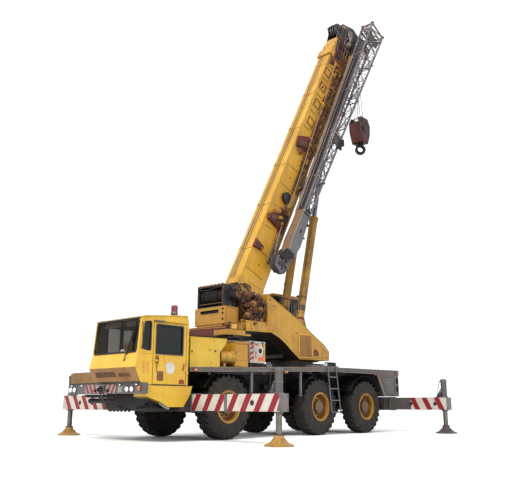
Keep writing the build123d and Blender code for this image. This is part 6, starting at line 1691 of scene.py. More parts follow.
# hoses looping between the blocks, the side frame and the boom's foot
ports = [(-.36 + k * .06, .76, 2.88) for k in range(8)] + [(-.36 + k * .06, .755, 2.80) for k in range(8)] + [(.185, .42 + k * .075, 2.90) for k in range(4)]
ends = [(-.43, .70, 3.10), (-.43, .62, 3.30), (.12, .30, 3.34), (.2, .44, 3.2), (-.1, .5, 3.4), (.28, .42, 3.02), (-.43, .78, 2.95), (.02, .62, 3.20), (-.2, .78, 3.26)]
for i, p in enumerate(ports):
    e = Vector(ends[(i * 5) % len(ends)])
    p = Vector(p)
    out = Vector((.35, .75, 0)) * (.05 + .05 * random.random())
    m1 = p.lerp(e, .30) + out + Vector((0, 0, -.05 + .08 * random.random()))
    m2 = p.lerp(e, .72) + out * .8 + Vector((0, 0, .05 + .06 * random.random()))
    P.hose([p, p + Vector((.02, .035, 0)), m1, m2, e], .0115 + .004 * (i % 3 == 0), ("hose_black", "oily_brown", "hose_black", "red_brown")[i % 4], 8, 5)
for k in range(5):
    P.hose([(.10 - k * .05, .36, 3.46 - k * .02), (-.04 - k * .05, .38, 3.60 - .03 * k), (-.16 - k * .04, .34, 3.62), (-.20, .26 - .02 * k, 3.70)], .014, "hose_black" if k % 2 else "oily_brown", 8)
# bright unions and brass caps
for k in range(16):
    P.lathe([(.016, 0), (.016, .014), (.010, .018), (0, .019)], (-.40 + random.random() * .6, .74 + random.random() * .03, 2.76 + random.random() * .45), (random.random(), 1, random.random() - .5), "machine_yellow" if k % 3 else "worn_steel", 6)
P.done()

# ---- crane operator's cab ---------------------------------------------------------------
P = Piece("operator_cab_trim", "superstructure")
P.at(frame_of((0, -.50, 0), (-1, 0, 0), (0, 0, 1)))
rear_pane = [(2.965, 2.505), (3.495, 2.505), (3.535, 2.785), (3.242, 3.632), (2.965, 3.632)]
side_pane = [(2.085, 2.705), (2.855, 2.705), (2.855, 3.635), (2.085, 3.635)]
for o in (rear_pane, side_pane):
    P.prism(loop3(o, -.014), (0, 0, .005), "side_glass", .001)
    P.frame(loop3(grow(o, .016), -.002), loop3(grow(o, -.012), -.002), (0, 0, .009), "seal_black")
P.at()
# slanted front pane towards the tail, window ahead, roof light
q0, q1 = Vector((-3.575, 0, 2.80)), Vector((-3.265, 0, 3.64))
sl = (q1 - q0).normalized()
nn = Vector((-sl.z, 0, sl.x))
z0, z1 = 2.47, 3.63
pt = lambda z: (-3.585 if z <= 2.80 else -3.585 + (z - 2.80) / .92 * .33)
P.prism([(pt(z0) + .005, -1.203, z0), (pt(2.80) + .005, -1.203, 2.80), (pt(z1) + .005, -1.203, z1), (pt(z1) + .011, -1.203, z1), (pt(2.80) + .011, -1.203, 2.80), (pt(z0) + .011, -1.203, z0)], (0, .641, 0), "windscreen", .001)
for y in (-1.205, -.560):
    P.hose([(pt(z0) - .032, y, z0), (pt(2.80) - .032, y, 2.80), (pt(z1) - .030, y, z1)], .011, "seal_black", 8, smooth=False)
for z in (z0, z1):
    P.hose([(pt(z) - .031, -1.205, z), (pt(z) - .031, -.56, z)], .011, "seal_black", 8, smooth=False)
P.yz([(-1.143, 2.804), (-.623, 2.804), (-.623, 3.496), (-1.143, 3.496)], -2.010, -2.005, "side_glass", .001)
P.frame([(-1.990, y, z) for y, z in ((-1.16, 2.785), (-.605, 2.785), (-.605, 3.515), (-1.16, 3.515))], [(-1.990, y, z) for y, z in ((-1.13, 2.815), (-.635, 2.815), (-.635, 3.485), (-1.13, 3.485))], (.009, 0, 0), "seal_black")
P.xy(round_rect(-2.70, -.88, .62, .46, .05), 3.766, 3.790, "operator_cab_paint", .006)
for k in range(5):
    P.box(-2.95 + k * .12, -2.935 + k * .12, -1.08, -.68, 3.785, 3.806, "black_iron", .003)
P.hose([(-3.54, -.88, 2.44), (-3.60, -.88, 2.60), (-3.56, -.90, 2.95), (-3.47, -.95, 3.30)], .008, "black_iron", 8)
P.lathe([(.03, 0), (.03, .03), (0, .035)], (-3.60, -.88, 2.42), (-1, 0, 0), "black_iron", 16)
for s in (-1.15, -.62):
    P.lathe([(.06, 0), (.075, .04), (.075, .07), (.065, .075), (0, .07)], (-3.31, s, 3.80), (-1, 0, -.25), "black_paint", 24)
    P.lathe([(.062, .072), (.04, .080), (0, .083)], (-3.31, s, 3.80), (-1, 0, -.25), "lamp_clear", 24)
# seat, side consoles with levers, pedals, instrument pod
P.box(-2.80, -2.34, -1.10, -.66, 2.30, 2.44, "seat_vinyl", .035)
P.box(-2.42, -2.30, -1.09, -.67, 2.42, 3.02, "seat_vinyl", .035)
P.box(-2.41, -2.33, -.98, -.78, 3.03, 3.18, "seat_vinyl", .03)
P.box(-2.72, -2.42, -1.02, -.74, 1.99, 2.30, "black_iron", .01)
for y in (-1.18, -.60):
    P.box(-3.0, -2.45, y - .05, y + .05, 2.40, 2.52, "dash_grey", .02)
    for x in (-2.93, -2.80):
        P.hose([(x, y, 2.50), (x - .01, y, 2.62), (x - .02, y, 2.70)], .008, "bright_steel", 8)
        P.lathe([(0, -.02), (.018, -.01), (.022, .01), (.012, .03), (0, .035)], (x - .02, y, 2.70), (0, 0, 1), "seal_black", 14)
P.box(-3.40, -3.20, -1.02, -.76, 2.55, 2.80, "dash_grey", .02)
P.hose([(-3.30, -.88, 1.99), (-3.32, -.88, 2.3), (-3.30, -.88, 2.56)], .03, "black_iron", 10)
for y in (-.98, -.80):
    P.prism([(-3.42, y - .05, 2.02), (-3.30, y - .05, 2.10), (-3.292, y - .05, 2.088), (-3.412, y - .05, 2.008)], (0, .10, 0), "black_iron", .003)
P.box(-3.55, -2.03, -1.22, -.54, 1.9865, 1.998, "floor_mat", .003)
# rails, steps, skirts: grab rail by the door, seams on the panels
P.hose([(-2.03, -1.28, 2.35), (-1.985, -1.33, 2.36), (-1.985, -1.34, 2.9), (-1.985, -1.33, 3.35), (-2.03, -1.28, 3.36)], .012, "black_iron", 10, 4)
P.box(-2.95, -2.15, -1.42, -1.275, 1.93, 1.955, "black_iron", .004)
for x in (-2.9, -2.2):
    P.box(x - .02, x + .02, -1.40, -1.27, 1.955, 2.0, "black_iron", .004)
P.bolts([(-1.99, y, z) for y in (-1.2, -.56) for z in (2.05, 2.6, 3.6)], (1, 0, 0), .008, .005)
# bracket and hoses that tie the cab to the side frame
for x in (-2.2, -3.0):
    P.box(x - .04, x + .04, -.50, -.43, 1.97, 2.06, "black_iron", .006)
P.hose([(-2.10, -.50, 2.2), (-2.0, -.46, 2.1), (-1.9, -.44, 2.0), (-1.85, -.3, 1.95)], .02, "hose_black", 8)
P.done()

P = Piece("operator_door_trim", "operator_door")
P.at(frame_of((0, -1.265, 0), (1, 0, 0), (0, 0, 1)))
o = [(-2.935, 2.725), (-2.165, 2.725), (-2.165, 3.575), (-2.935, 3.575)]
P.prism(loop3(grow(o, -.001), -.016), (0, 0, .005), "side_glass", .001)
P.frame(loop3(grow(o, .018), .0), loop3(grow(o, -.012), .0), (0, 0, .007), "seal_black")
d_ = [(-2.996, 2.024), (-2.104, 2.024), (-2.104, 3.636), (-2.996, 3.636)]
P.frame(loop3(d_, .0), loop3(grow(d_, -.008), .0), (0, 0, .002), "seal_black")
P.prism(loop3(round_rect(-2.86, 2.55, .15, .07, .02), .0), (0, 0, .006), "black_iron", .002)
P.prism(loop3(round_rect(-2.86, 2.55, .12, .025, .01), .006), (0, 0, .016), "worn_steel", .003)
for z in (2.15, 2.30, 2.45):
    P.box(-2.90, -2.20, z - .006, z + .006, 0, .004, "upper_yellow", .002)
P.at()
P.done()

# ============================================================ boom ===============
random.seed(9)
HB = .225
P = Piece("boom_base_trim", "boom")
P.at(BOOM)
# corner flanges of the box: pale upper strip, two brown seams and a fold line along the port side
for s in (1, -1):
    y = s * HB
    P.hose([(.60, y, .004), (9.42, y, .004)], .008, "boom_yellow", 8, smooth=False)
    P.box(.62, 9.43, y, y + s * .006, .012, .058, "boom_pale", .002)
    P.box(.90, 9.43, y + s * .0002, y + s * .0022, .060, .068, "seam_brown", .0006)
    P.box(.95, 9.43, y + s * .0002, y + s * .0070, .104, .122, "boom_yellow", .002)
    P.box(.95, 9.43, y + s * .0002, y + s * .0022, .1225, .128, "seam_brown", .0006)
    P.hose([(.80, y, .895), (9.42, y, .895)], .008, "boom_shade", 8, smooth=False)
    P.box(.98, 9.43, y, y + s * .005, .852, .890, "boom_yellow", .002)
    # upright stiffener seams
    for a, d0, a2, d1 in ((.98, .05, 1.02, .74), (1.66, .30, 1.70, .85), (2.39, .06, 2.46, .44), (3.17, .09, 3.18, .30), (3.90, .06, 3.95, .62), (4.61, .05, 4.71, .76), (5.32, .10, 5.36, .78)):
        P.prism([(a, y, d0), (a + .018, y, d0), (a2 + .018, y, d1), (a2, y, d1)], (0, s * .0045, 0), "seam_brown", .001)
        P.prism([(a + .020, y, d0), (a + .030, y, d0), (a2 + .030, y, d1), (a2 + .020, y, d1)], (0, s * .0035, 0), "boom_pale", .001)
    # foot: bent dark line and boss plate
    P.hose([(.455, y + s * .0006, .09), (.50, y + s * .0006, .20), (.68, y + s * .0006, .37), (.735, y + s * .0006, .60), (.77, y + s * .0006, .92)], .0045, "seam_brown", 6, smooth=False)
P.at()
for s in (1, -1):
    P.at(Matrix.Translation((0, 0, 0)))
    P.lathe([(.135, 0), (.135, .008), (.12, .018), (.066, .018), (.066, 0)], (-.60, s * HB, 3.15), (0, s, 0), "boom_yellow", 36, closed=True)
P.at(BOOM)
# top face: rope run, cross straps, guide rollers, cable tray and hose reel track
for a in (1.6, 3.1, 4.6, 6.1, 7.6, 9.0):
    P.box(a - .05, a + .05, -.235, .235, -.012, .002, "boom_yellow", .003)
P.box(1.0, 9.4, -.20, -.13, -.012, .0, "boom_pale", .003)
# square windows with dark edges on the upper half of the port side, bars between them
for k, (a, d) in enumerate(((6.55, .305), (7.32, .285), (8.06, .235), (8.72, .21))):
    h, w = .125, .135
    for s in (1, -1):
        y = s * HB
        P.frame([(a + u * (w + .018), y, d + v * (h + .018)) for u, v in ((-1, -1), (1, -1), (1, 1), (-1, 1))], [(a + u * (w - .016), y, d + v * (h - .016)) for u, v in ((-1, -1), (1, -1), (1, 1), (-1, 1))], (0, s * .007, 0), "brown_rust")
        P.prism([(a + u * (w - .05), y, d + v * (h - .05)) for u, v in ((-1, -1), (1, -1), (1, 1), (-1, 1))], (0, s * .005, 0), "boom_yellow", .003)
        if k == 2:
            P.prism([(a - .06, y + s * .0045, d - .05), (a + .02, y + s * .0045, d - .05), (a + .06, y + s * .0045, d + .06), (a - .05, y + s * .0045, d + .02)], (0, s * .002, 0), "red_brown", .001)
for a, d0, d1 in ((6.20, .10, .38), (6.90, .10, .40), (7.62, .10, .38), (8.36, .05, .36), (8.98, .05, .34), (6.32, .34, .50), (7.05, .34, .50)):
    for s in (1, -1):
        P.prism([(a, s * HB, d0), (a + .022, s * HB, d0), (a + .060, s * HB, d1), (a + .038, s * HB, d1)], (0, s * .006, 0), "brown_rust", .001)
# openings near the collar in dark red-brown: painted shade
for q in ([(9.03, .06), (9.41, .02), (9.41, .30), (9.22, .34)], [(8.98, .42), (9.38, .42), (9.38, .76), (9.10, .76)]):
    P.prism([(a, HB, d) for a, d in q], (0, .004, 0), "red_brown", .001)
    P.prism([(a, -HB, d) for a, d in q], (0, -.004, 0), "red_brown", .001)
# rust-brown lower half: patches, ribs and short pipes crowding along the lower edge
P.prism([(4.75, HB, .62), (5.10, HB, .50), (9.40, HB, .44), (9.40, HB, .86), (4.85, HB, .86)], (0, .003, 0), "plate_brown", .001)
for i in range(150):
    a = 4.85 + 4.45 * random.random()
    d = .50 + .34 * random.random() + (.06 if a < 5.4 else 0)
    if d > .855:
        continue
    w, h = .03 + .11 * random.random(), .02 + .065 * random.random()
    t = .008 + .022 * random.random()
    mat = ("brown_rust", "boom_yellow", "red_brown", "boom_yellow", "plate_brown", "boom_yellow", "oily_brown", "plate_ochre")[i % 8]
    m = random.random() * .9 - .3
    P.prism([(a - w, HB, d - h), (a + w, HB, d - h + m * .03), (a + w * .9, HB, d + h), (a - w * .8, HB, d + h * .8)], (0, t, 0), mat, .003)
for i in range(26):
    a = 4.95 + i * .17
    P.box(a, a + .022, HB, HB + .030, .50, .85, "plate_brown" if i % 2 else "boom_yellow", .003)
    if i % 3 == 0:
        P.cyl((a + .07, HB + .002, .70), (a + .07, HB + .035, .70), .038, "oily_brown", 18)
        P.cyl((a + .07, HB + .034, .70), (a + .07, HB + .040, .70), .018, "machine_yellow", 12)
for d, r, mat in ((.56, .012, "oily_brown"), (.61, .010, "hose_black"), (.66, .012, "brown_rust"), (.74, .010, "hose_black"), (.80, .013, "oily_brown")):
    pts = [(4.0 + k * .45, HB + .034 + .006 * random.random(), d + .035 * (random.random() - .5)) for k in range(13)]
    P.hose(pts, r, mat, 7, 3)
# reel: black drum, hub and bracket
c = (3.60, .445)
P.cyl((c[0], HB, c[1]), (c[0], HB + .05, c[1]), .075, "black_iron", 20)
P.lathe([(.155, .045), (.165, .05), (.165, .058), (.12, .066), (.12, .092), (.165, .10), (.165, .108), (.155, .113), (.05, .113), (.045, .120), (0, .120)], (c[0], HB, c[1]), (0, 1, 0), "hose_black", 44)
for k in range(5):
    P.torus((c[0], HB + .070 + k * .005, c[1]), (0, 1, 0), .124 + .006 * (k % 2), .006, "hose_black", 40, 6)
P.hose([(c[0] - .13, HB + .08, c[1] + .05), (c[0] - .35, HB + .07, c[1] + .14), (c[0] - .60, HB + .05, c[1] + .16), (c[0] - .78, HB + .05, c[1] + .10)], .014, "hose_black", 8)
P.hose([(c[0] + .10, HB + .08, c[1] + .10), (c[0] + .5, HB + .06, c[1] + .15), (c[0] + 1.0, HB + .05, c[1] + .12), (c[0] + 1.5, HB + .045, c[1] + .15)], .014, "hose_black", 8)
# hoist machinery: rust-red guard, yellow motor, hoses, brake
P.prism([(2.62, HB, .12), (2.78, HB, .08), (3.08, HB, .46), (3.02, HB, .68), (2.80, HB, .72), (2.60, HB, .52)], (0, .10, 0), "red_brown", .01)
P.prism([(2.66, HB + .10, .18), (2.78, HB + .10, .16), (2.98, HB + .10, .46), (2.80, HB + .10, .62), (2.66, HB + .10, .46)], (0, .03, 0), "oily_brown", .008)
for (a, d), r, L, mat in (((2.97, .30), .085, .17, "machine_yellow"), ((2.82, .44), .060, .19, "plate_brown"), ((3.10, .56), .075, .14, "oily_brown"), ((2.74, .58), .050, .16, "machine_yellow"), ((3.14, .40), .045, .16, "motor_brown")):
    o = Vector((a, HB + .02, d))
    P.lathe([(r * 1.2, 0), (r * 1.2, .02), (r, .028), (r, L * .8), (r * .8, L), (0, L)], o, (.1, 1, -.15), mat, 26)
    P.ring_of(o + Vector((0, .02, 0)), (.1, 1, -.15), r * 1.1, 6, .009, .009)
for k in range(9):
    t = random.random()
    P.hose([(2.70 + .05 * k, HB + .12, .30 + .04 * (k % 4)), (2.78 + .06 * k, HB + .20 - .01 * k, .42 + .05 * t), (2.85 + .06 * k, HB + .16, .62), (2.9 + .07 * k, HB + .06, .74)], .012, ("hose_black", "oily_brown", "red_brown")[k % 3], 8, 4)
P.box(2.52, 3.22, HB, HB + .055, .60, .80, "red_brown", .008)
P.box(2.1, 2.6, HB, HB + .03, .62, .76, "rust_streak", .006)
# long rust-red conduit and ochre board that the jib's lower chord hides in part
P.box(1.75, 4.7, HB, HB + .022, .79, .845, "tan_plate", .004)
P.box(1.55, 2.55, HB, HB + .05, .62, .78, "tan_plate", .006)
for a in (1.65, 1.95, 2.25):
    P.cyl((a, HB + .05, .70), (a, HB + .065, .70), .03, "red_brown", 14)
# triangular bracket with its motor near the foot
P.prism([(1.60, HB, .0), (1.84, HB, .0), (1.80, HB, .34), (1.68, HB, .30)], (0, .085, 0), "red_brown", .008)
P.prism([(1.70, HB + .085, .03), (1.80, HB + .085, .04), (1.78, HB + .085, .22), (1.72, HB + .085, .22)], (0, .012, 0), "oily_brown", .003)
P.cyl((1.70, HB + .06, .28), (1.70, HB + .12, .28), .03, "machine_yellow", 16)
# sensors and pins down the side, wear pad bolts by the collar
for a, d in ((5.65, .17), (5.30, .22), (1.30, .45), (4.3, .35)):
    P.lathe([(.026, 0), (.026, .008), (.016, .012), (0, .012)], (a, HB, d), (0, 1, 0), "seam_brown", 16)
for s in (1, -1):
    for a in (9.50, 9.68):
        for d in (.08, .32, .58, .82):
            P.bolt((a, s * (HB + .04), d), (0, s, 0), .014, .012)
for y in (-.16, 0, .16):
    for a in (9.50, 9.68):
        P.bolt((a, y, -.05), (0, 0, -1), .014, .012)
# rust-red plate over the port side of the front collar, partly rust and partly painted shade, with a black gap of
# painted shade behind it
P.prism([(9.445, HB + .04, .16), (9.735, HB + .04, .14), (9.735, HB + .04, .80), (9.445, HB + .04, .84)], (0, .006, 0), "red_brown", .002)
P.prism([(9.50, HB + .046, .20), (9.70, HB + .046, .18), (9.68, HB + .046, .42), (9.52, HB + .046, .40)], (0, .004, 0), "shade_and_print_black", .001)
P.prism([(9.50, HB + .046, .50), (9.70, HB + .046, .50), (9.70, HB + .046, .78), (9.54, HB + .046, .78)], (0, .004, 0), "oily_brown", .001)
# long fitting on the side at 5.2 to 6.1: rusted latch with hooks, as seen under the rope
P.prism([(5.36, HB, .10), (5.70, HB, .04), (6.00, HB, .40), (6.02, HB, .62), (5.66, HB, .70), (5.44, HB, .44)], (0, .045, 0), "red_brown", .008)
P.prism([(5.40, HB + .045, .16), (5.58, HB + .045, .12), (5.80, HB + .045, .42), (5.60, HB + .045, .50)], (0, .035, 0), "oily_brown", .006)
for k in range(4):
    P.hose([(5.30 + .05 * k, HB + .03, .20 + .03 * k), (5.20 + .05 * k, HB + .06, .26 + .04 * k), (5.22 + .06 * k, HB + .03, .36 + .04 * k)], .012, "brown_rust", 8)
P.cyl((5.78, HB + .04, .55), (5.78, HB + .10, .55), .055, "plate_brown", 20)
# lift rod bracket: bosses under the boom
P.at()
for s, y in ((1, .200), (-1, -.200)):
    P.lathe([(.115, 0), (.115, .012), (.10, .018), (.055, .018), (.055, 0)], (ROD_PIN.x, y, ROD_PIN.z), (0, s, 0), "boom_yellow", 32, closed=True)
# blocks and stops along the jib: dark clamps over the yellow carriers
P.at(BOOM)
for a, yc, d in ((4.26, .484, .807), (9.06, .4695, .735)):
    P.box(a - .065, a + .065, HB + .085, yc - .045, d - .065, d + .065, "jib_dark", .008)
    P.box(a - .09, a + .09, yc - .058, yc - .036, d - .11, d + .11, "jib_dark", .006)
    P.bolts([(a + i * .06, yc - .10, d - .075) for i in (-1, 1)], (0, 0, -1), .012)
P.done()

# ---- taut hoist rope over the boom's back, and the line fixed along its port side ----
P = Piece("hoist_rope_boom", "boom")
P.at(BOOM)
P.hose([(.62, .02, -.03), (2.4, .02, -.030), (5.4, .02, -.024), (8.4, .02, -.030), (9.40, .02, -.062)], .0085, "rope_wire", 8, smooth=False)
P.hose([(.62, -.06, -.03), (2.4, -.06, -.030), (5.4, -.06, -.024), (8.4, -.06, -.030), (9.40, -.06, -.062)], .0085, "rope_wire", 8, smooth=False)
side = [(1.70, .345, .74), (2.38, .350, .62), (3.28, .355, .56), (3.96, .350, .58), (4.82, .345, .55), (6.14, .335, .48), (7.1, .330, .44), (8.03, .325, .40), (8.9, .315, .33), (9.34, .305, .27)]
P.hose(side, .0125, "jib_pale", 8, 4)
P.lathe([(.045, -.03), (.045, .03), (.03, .036), (0, .036)], (1.68, .33, .745), (0, 1, 0), "black_iron", 20)
P.box(1.55, 1.80, HB, .31, .70, .79, "black_iron", .008)
P.done()

# ---- second and third sections: what shows of them at the collars -------------------------
for name, body, hw, d0, d1, a0, a1, c0, c1 in (("section_2_trim", "section_2", .201, .028, .872, 9.76, 10.05, 9.79, 10.05), ("section_3_trim", "section_3", .178, .054, .846, 10.07, 10.34, 10.10, 10.34)):
    P = Piece(name, body)
    P.at(BOOM)
    rise = .034 if body == "section_2" else .030
    hy, du, dl = hw + rise * .8, d0 - rise, d1 + rise
    am = (c0 + c1) / 2
    for s in (1, -1):
        for d in (d0 + .05, (d0 + d1) / 2 - .12, (d0 + d1) / 2 + .14, d1 - .05):
            P.bolt((am, s * hy, d), (0, s, 0), .014, .012)
        P.prism([(c0 + .01, s * hy, du + .01), (c1 - .01, s * hy, du + .01), (c1 - .01, s * hy, du + .05), (c0 + .01, s * hy, du + .05)], (0, s * .006, 0), "boom_pale", .002)
        # port side of the collar: a red-brown plate on the second section and a black one on the third, as painted
        # shade
        if s > 0:
            P.prism([(c0 + .005, hy, .13), (c1 - .005, hy, .11), (c1 - .005, hy, .80), (c0 + .005, hy, .82)], (0, .005, 0), "red_brown" if body == "section_2" else "shade_and_print_black", .002)
            for k in range(5):
                P.hose([(c0 + .01, hy + .012, .22 + .12 * k), (am, hy + .022, .19 + .12 * k), (c1 - .01, hy + .012, .15 + .12 * k)], .009, ("jib_grey", "hose_black", "brown_rust", "jib_grey", "plate_brown")[k], 7)
    for y in (-.13, 0, .13):
        P.bolt((am, y, du), (0, 0, -1), .014, .012)
        P.bolt((am, y, dl), (0, 0, 1), .014, .012)
    P.hose([(c1 - .004, -hy, du), (c1 - .004, hy, du), (c1 - .004, hy, dl), (c1 - .004, -hy, dl), (c1 - .004, -hy, du)], .006, "boom_shade", 6, smooth=False)
    P.done()

# ---- boom head --------------------------------------------------------------------------
P = Piece("boom_head_trim", "section_3")
P.at(BOOM)
TS, LS = (10.76, .04), (11.15, 1.0)
# grooved rims and lightening holes of the four top sheaves
for y in (-.127, -.037, .053, .133):
    P.lathe([(.221, -.021), (.2265, -.019), (.2265, -.011), (.213, -.003), (.213, .003), (.2265, .011), (.2265, .019), (.221, .021)], (TS[0], y, TS[1]), (0, 1, 0), "black_iron", 48, closed=True)
    for s in (-1, 1):
        P.torus((TS[0], y + s * .0235, TS[1]), (0, 1, 0), .16, .006, "worn_steel", 40, 6)
        for k in range(6):
            t = pi * k / 3
            P.cyl((TS[0] + cos(t) * .12, y + s * .0225, TS[1] + sin(t) * .12), (TS[0] + cos(t) * .12, y + s * .0240, TS[1] + sin(t) * .12), .026, "shade_and_print_black", 14, .001)
# side plates: edges, bosses with keepers, tan covers and the dark port opening, a black sheet of painted shade
PLT = [(10.341, .02), (10.80, -.06), (11.08, .06), (11.42, .56), (11.40, 1.0), (11.22, 1.16), (10.98, 1.15), (10.70, 1.06), (10.341, .88)]
for s in (1, -1):
    y = s * .196
    P.hose([(a, y, d) for a, d in PLT + PLT[:1]], .007, "jib_grey", 8, smooth=False)
    for (a, d), r in ((TS, .095), (LS, .085)):
        P.lathe([(r, 0), (r, .018), (r * .8, .026), (r * .3, .027), (r * .3, .034), (0, .035)], (a, y, d), (0, s, 0), "black_iron", 28)
        P.ring_of((a, y + s * .018, d), (0, s, 0), r * .86, 6, .011)
    P.prism([(10.40, y, .10), (10.56, y, .06), (10.62, y, .30), (10.44, y, .40)], (0, s * .012, 0), "red_brown", .004)
    P.prism([(10.86, y, .50), (11.12, y, .36), (11.26, y, .60), (10.98, y, .76)], (0, s * .014, 0), "tan_plate", .005)
    P.prism([(10.92, y, .06), (11.06, y, .10), (11.20, y, .30), (11.02, y, .26)], (0, s * .012, 0), "tan_plate", .004)
    P.prism([(10.50, y, .45), (10.80, y, .45), (10.86, y, .82), (10.50, y, .78)], (0, s * .006, 0), "shade_and_print_black", .002)
    P.frame([(a, y, d) for a, d in ((10.48, .43), (10.82, .43), (10.88, .84), (10.48, .80))], [(a, y, d) for a, d in ((10.51, .46), (10.79, .46), (10.84, .81), (10.51, .77))], (0, s * .012, 0), "jib_grey")
    P.prism([(10.36, y, .50), (10.46, y, .50), (10.46, y, .86), (10.36, y, .86)], (0, s * .010, 0), "brown_rust", .003)
    P.hose([(10.42, y + s * .02, .42), (10.74, y + s * .03, .34), (11.02, y + s * .03, .30), (11.30, y + s * .02, .40)], .016, "worn_steel", 8)
    P.hose([(10.62, y + s * .02, .90), (10.9, y + s * .04, .84), (11.10, y + s * .02, .86)], .014, "hose_black", 8)
# cross plates between the cheeks, cable clamps, lamp and limit switch with its weight chain
P.box(10.66, 10.70, -.18, .18, .30, .84, "jib_dark", .006)
P.box(11.22, 11.25, -.18, .18, .50, .80, "tan_plate", .006)
P.box(10.50, 10.66, -.12, .12, .32, .50, "oily_brown", .012)
for k in range(4):
    y = -.127 + k * .088
    P.lathe([(.060, -.018), (.060, .018), (.045, .020), (0, .020)], (11.06, y, .42), (0, 1, 0), "black_iron", 24)
P.cyl((11.06, -.18, .42), (11.06, .18, .42), .022, "worn_steel", 14)
P.box(10.40, 10.90, .196, .30, .60, .655, "jib_dark", .008)
P.box(10.46, 10.64, .20, .32, .52, .62, "jib_grey", .010)
for k in range(6):
    P.hose([(10.36 + .05 * k, .22, .86), (10.50 + .07 * k, .27, .76 - .03 * k), (10.72 + .07 * k, .25, .60 - .02 * k), (10.95 + .05 * k, .205, .42)], .011, ("hose_black", "worn_steel", "jib_grey")[k % 3], 7, 4)
P.hose([(10.95, -.22, .0), (11.10, -.22, -.05), (11.22, -.20, .05)], .012, "worn_steel", 8)
P.box(10.78, 10.84, -.21, -.196, -.16, -.04, "black_iron", .004)
# ropes over the top sheaves down to the low ones
for y in (-.127, -.037, .053, .133):
    P.hose([(TS[0] - .22, y, TS[1] - .02), (TS[0] - .16, y, TS[1] - .155), (TS[0], y, TS[1] - .218), (TS[0] + .155, y, TS[1] - .155), (TS[0] + .218, y, TS[1]), (TS[0] + .26, y * 1.03, TS[1] + .12), (LS[0] + .15, y * 1.05, LS[1] - .22), (LS[0] + .205, y * 1.06, LS[1] - .02)], .0085, "rope_wire", 8, 4)
P.done()

# ---- lift cylinders ----------------------------------------------------------------------
for side, s in SIDES:
    y = s * .30
    P = Piece("lift_cylinder_trim_" + side, "lift_cylinder_" + side)
    P.at(LIFT)
    R = .118
    for a0, a1, r in ((.150, .185, .126), (3.70, 3.76, .126), (3.76, 3.83, .132), (1.9, 1.925, .1215)):
        P.pipe((a0, y, 0), (a1, y, 0), r, R - .002, "barrel_yellow", 36)
    P.ring_of((3.83, y, 0), (1, 0, 0), .104, 10, .011, .012)
    P.lathe([(.0715, 3.83), (.085, 3.83), (.085, 3.852), (.078, 3.858), (.0715, 3.858)], (0, y, 0), (1, 0, 0), "black_iron", 36, closed=True)
    # oil pipes along the barrel, holding valve at its foot
    P.hose([(.42, y + s * .02, -.126), (1.2, y + s * .02, -.131), (2.6, y + s * .02, -.131), (3.55, y + s * .02, -.131), (3.70, y + s * .01, -.118)], .013, "barrel_yellow", 8, 3)
    for a in (.9, 1.8, 2.7, 3.4):
        P.box(a - .02, a + .02, y - .03 + s * .02, y + .03 + s * .02, -.150, -.112, "barrel_yellow", .004)
    P.box(.22, .46, y - .06, y + .06, -.185, -.108, "oily_brown", .01)
    P.cyl((.30, y, -.185), (.30, y, -.225), .024, "worn_steel", 12)
    P.hose([(.40, y, -.18), (.30, y - s * .03, -.24), (.10, y - s * .08, -.26), (-.05, y - s * .12, -.2)], .016, "hose_black", 8)
    # oil and dirt bands round the barrel, and two bands in the boom's shade yellow near its top: painted shade
    for a0, w, mat in ((.19, .36, "oily_brown"), (.72, .07, "brown_rust"), (.98, .16, "oily_brown"), (1.34, .05, "brown_rust"), (2.95, .10, "boom_shade"), (3.40, .26, "boom_shade")):
        P.pipe((a0, y, 0), (a0 + w, y, 0), R + .0016, R - .001, mat, 36, .0005)
    P.lathe([(.112, 0), (.112, .006), (.10, .010), (.046, .010), (.046, 0)], (0, y + s * .060, 0), (0, s, 0), "barrel_yellow", 32, closed=True)
    P.done()
    Q = Piece("lift_rod_trim_" + side, "lift_rod_" + side)
    Q.at(LIFT)
    Q.lathe([(.071, LIFT_LEN - .20), (.090, LIFT_LEN - .185), (.090, LIFT_LEN - .11), (.071, LIFT_LEN - .085)], (0, y, 0), (1, 0, 0), "barrel_yellow", 32, closed=True)
    for q in (-1, 1):
        Q.lathe([(.100, 0), (.100, .005), (.090, .009), (.0515, .009), (.0515, 0)], (LIFT_LEN, y + q * .068, 0), (0, q, 0), "barrel_yellow", 32, closed=True)
    Q.done()

# ============================================================ stowed jib ==========
random.seed(21)
JA0, JA1 = 3.35, 11.30


def jib_at(a):
    """corners of the jib's section as (port, depth): inner top, outer top, outer bottom, inner bottom"""
    t = (a - JA0) / (JA1 - JA0)
    i, o, d, e = .47, .74 + .12 * t, .82 - .12 * t, 1.08 + .28 * t
    return ((i, d), (o, d), (o, e), (i, e))


def J(a, k, du=0.0, dv=0.0):
    y, d = jib_at(a)[k]
    return Vector((a, y + du, d + dv))


P = Piece("jib_trim", "boom")
P.at(BOOM)
# the face towards the cab is filled: a broad pale board by the boom, a dark strip and hoses beside it
def across(a, t, dv=0.0):
    p, q = J(a, 0), J(a, 1)
    return Vector((a, p.y + (q.y - p.y) * t, p.z + (q.z - p.z) * t + dv))


CUTS = [3.36 + k * .735 for k in range(10)]
for a, b in zip(CUTS, CUTS[1:]):
    P.prism([across(a + .004, -.13, -.046), across(b, -.13, -.046), across(b, .22, -.046), across(a + .004, .22, -.046)], (0, 0, .014), "jib_pale", .004)
    P.bolts([across(a + .06, .02, -.046), across(a + .06, .14, -.046)], (0, 0, -1), .010, .008)
P.prism([across(3.40, .22, -.030), across(10.0, .22, -.030), across(10.0, 1.0, -.026), across(3.40, 1.0, -.026)], (0, 0, .010), "jib_dark", .003)
P.prism([across(10.0, .10, -.030), across(10.62, .45, -.030), across(10.62, .98, -.030), across(10.0, 1.0, -.030)], (0, 0, .010), "jib_dark", .003)
for k, t in enumerate((.34, .50, .66)):
    P.hose([across(3.5 + .7 * i, t + .03 * (random.random() - .5), -.045) for i in range(10)], .011 + .003 * k, ("hose_black", "jib_grey", "hose_black")[k], 7, 3)
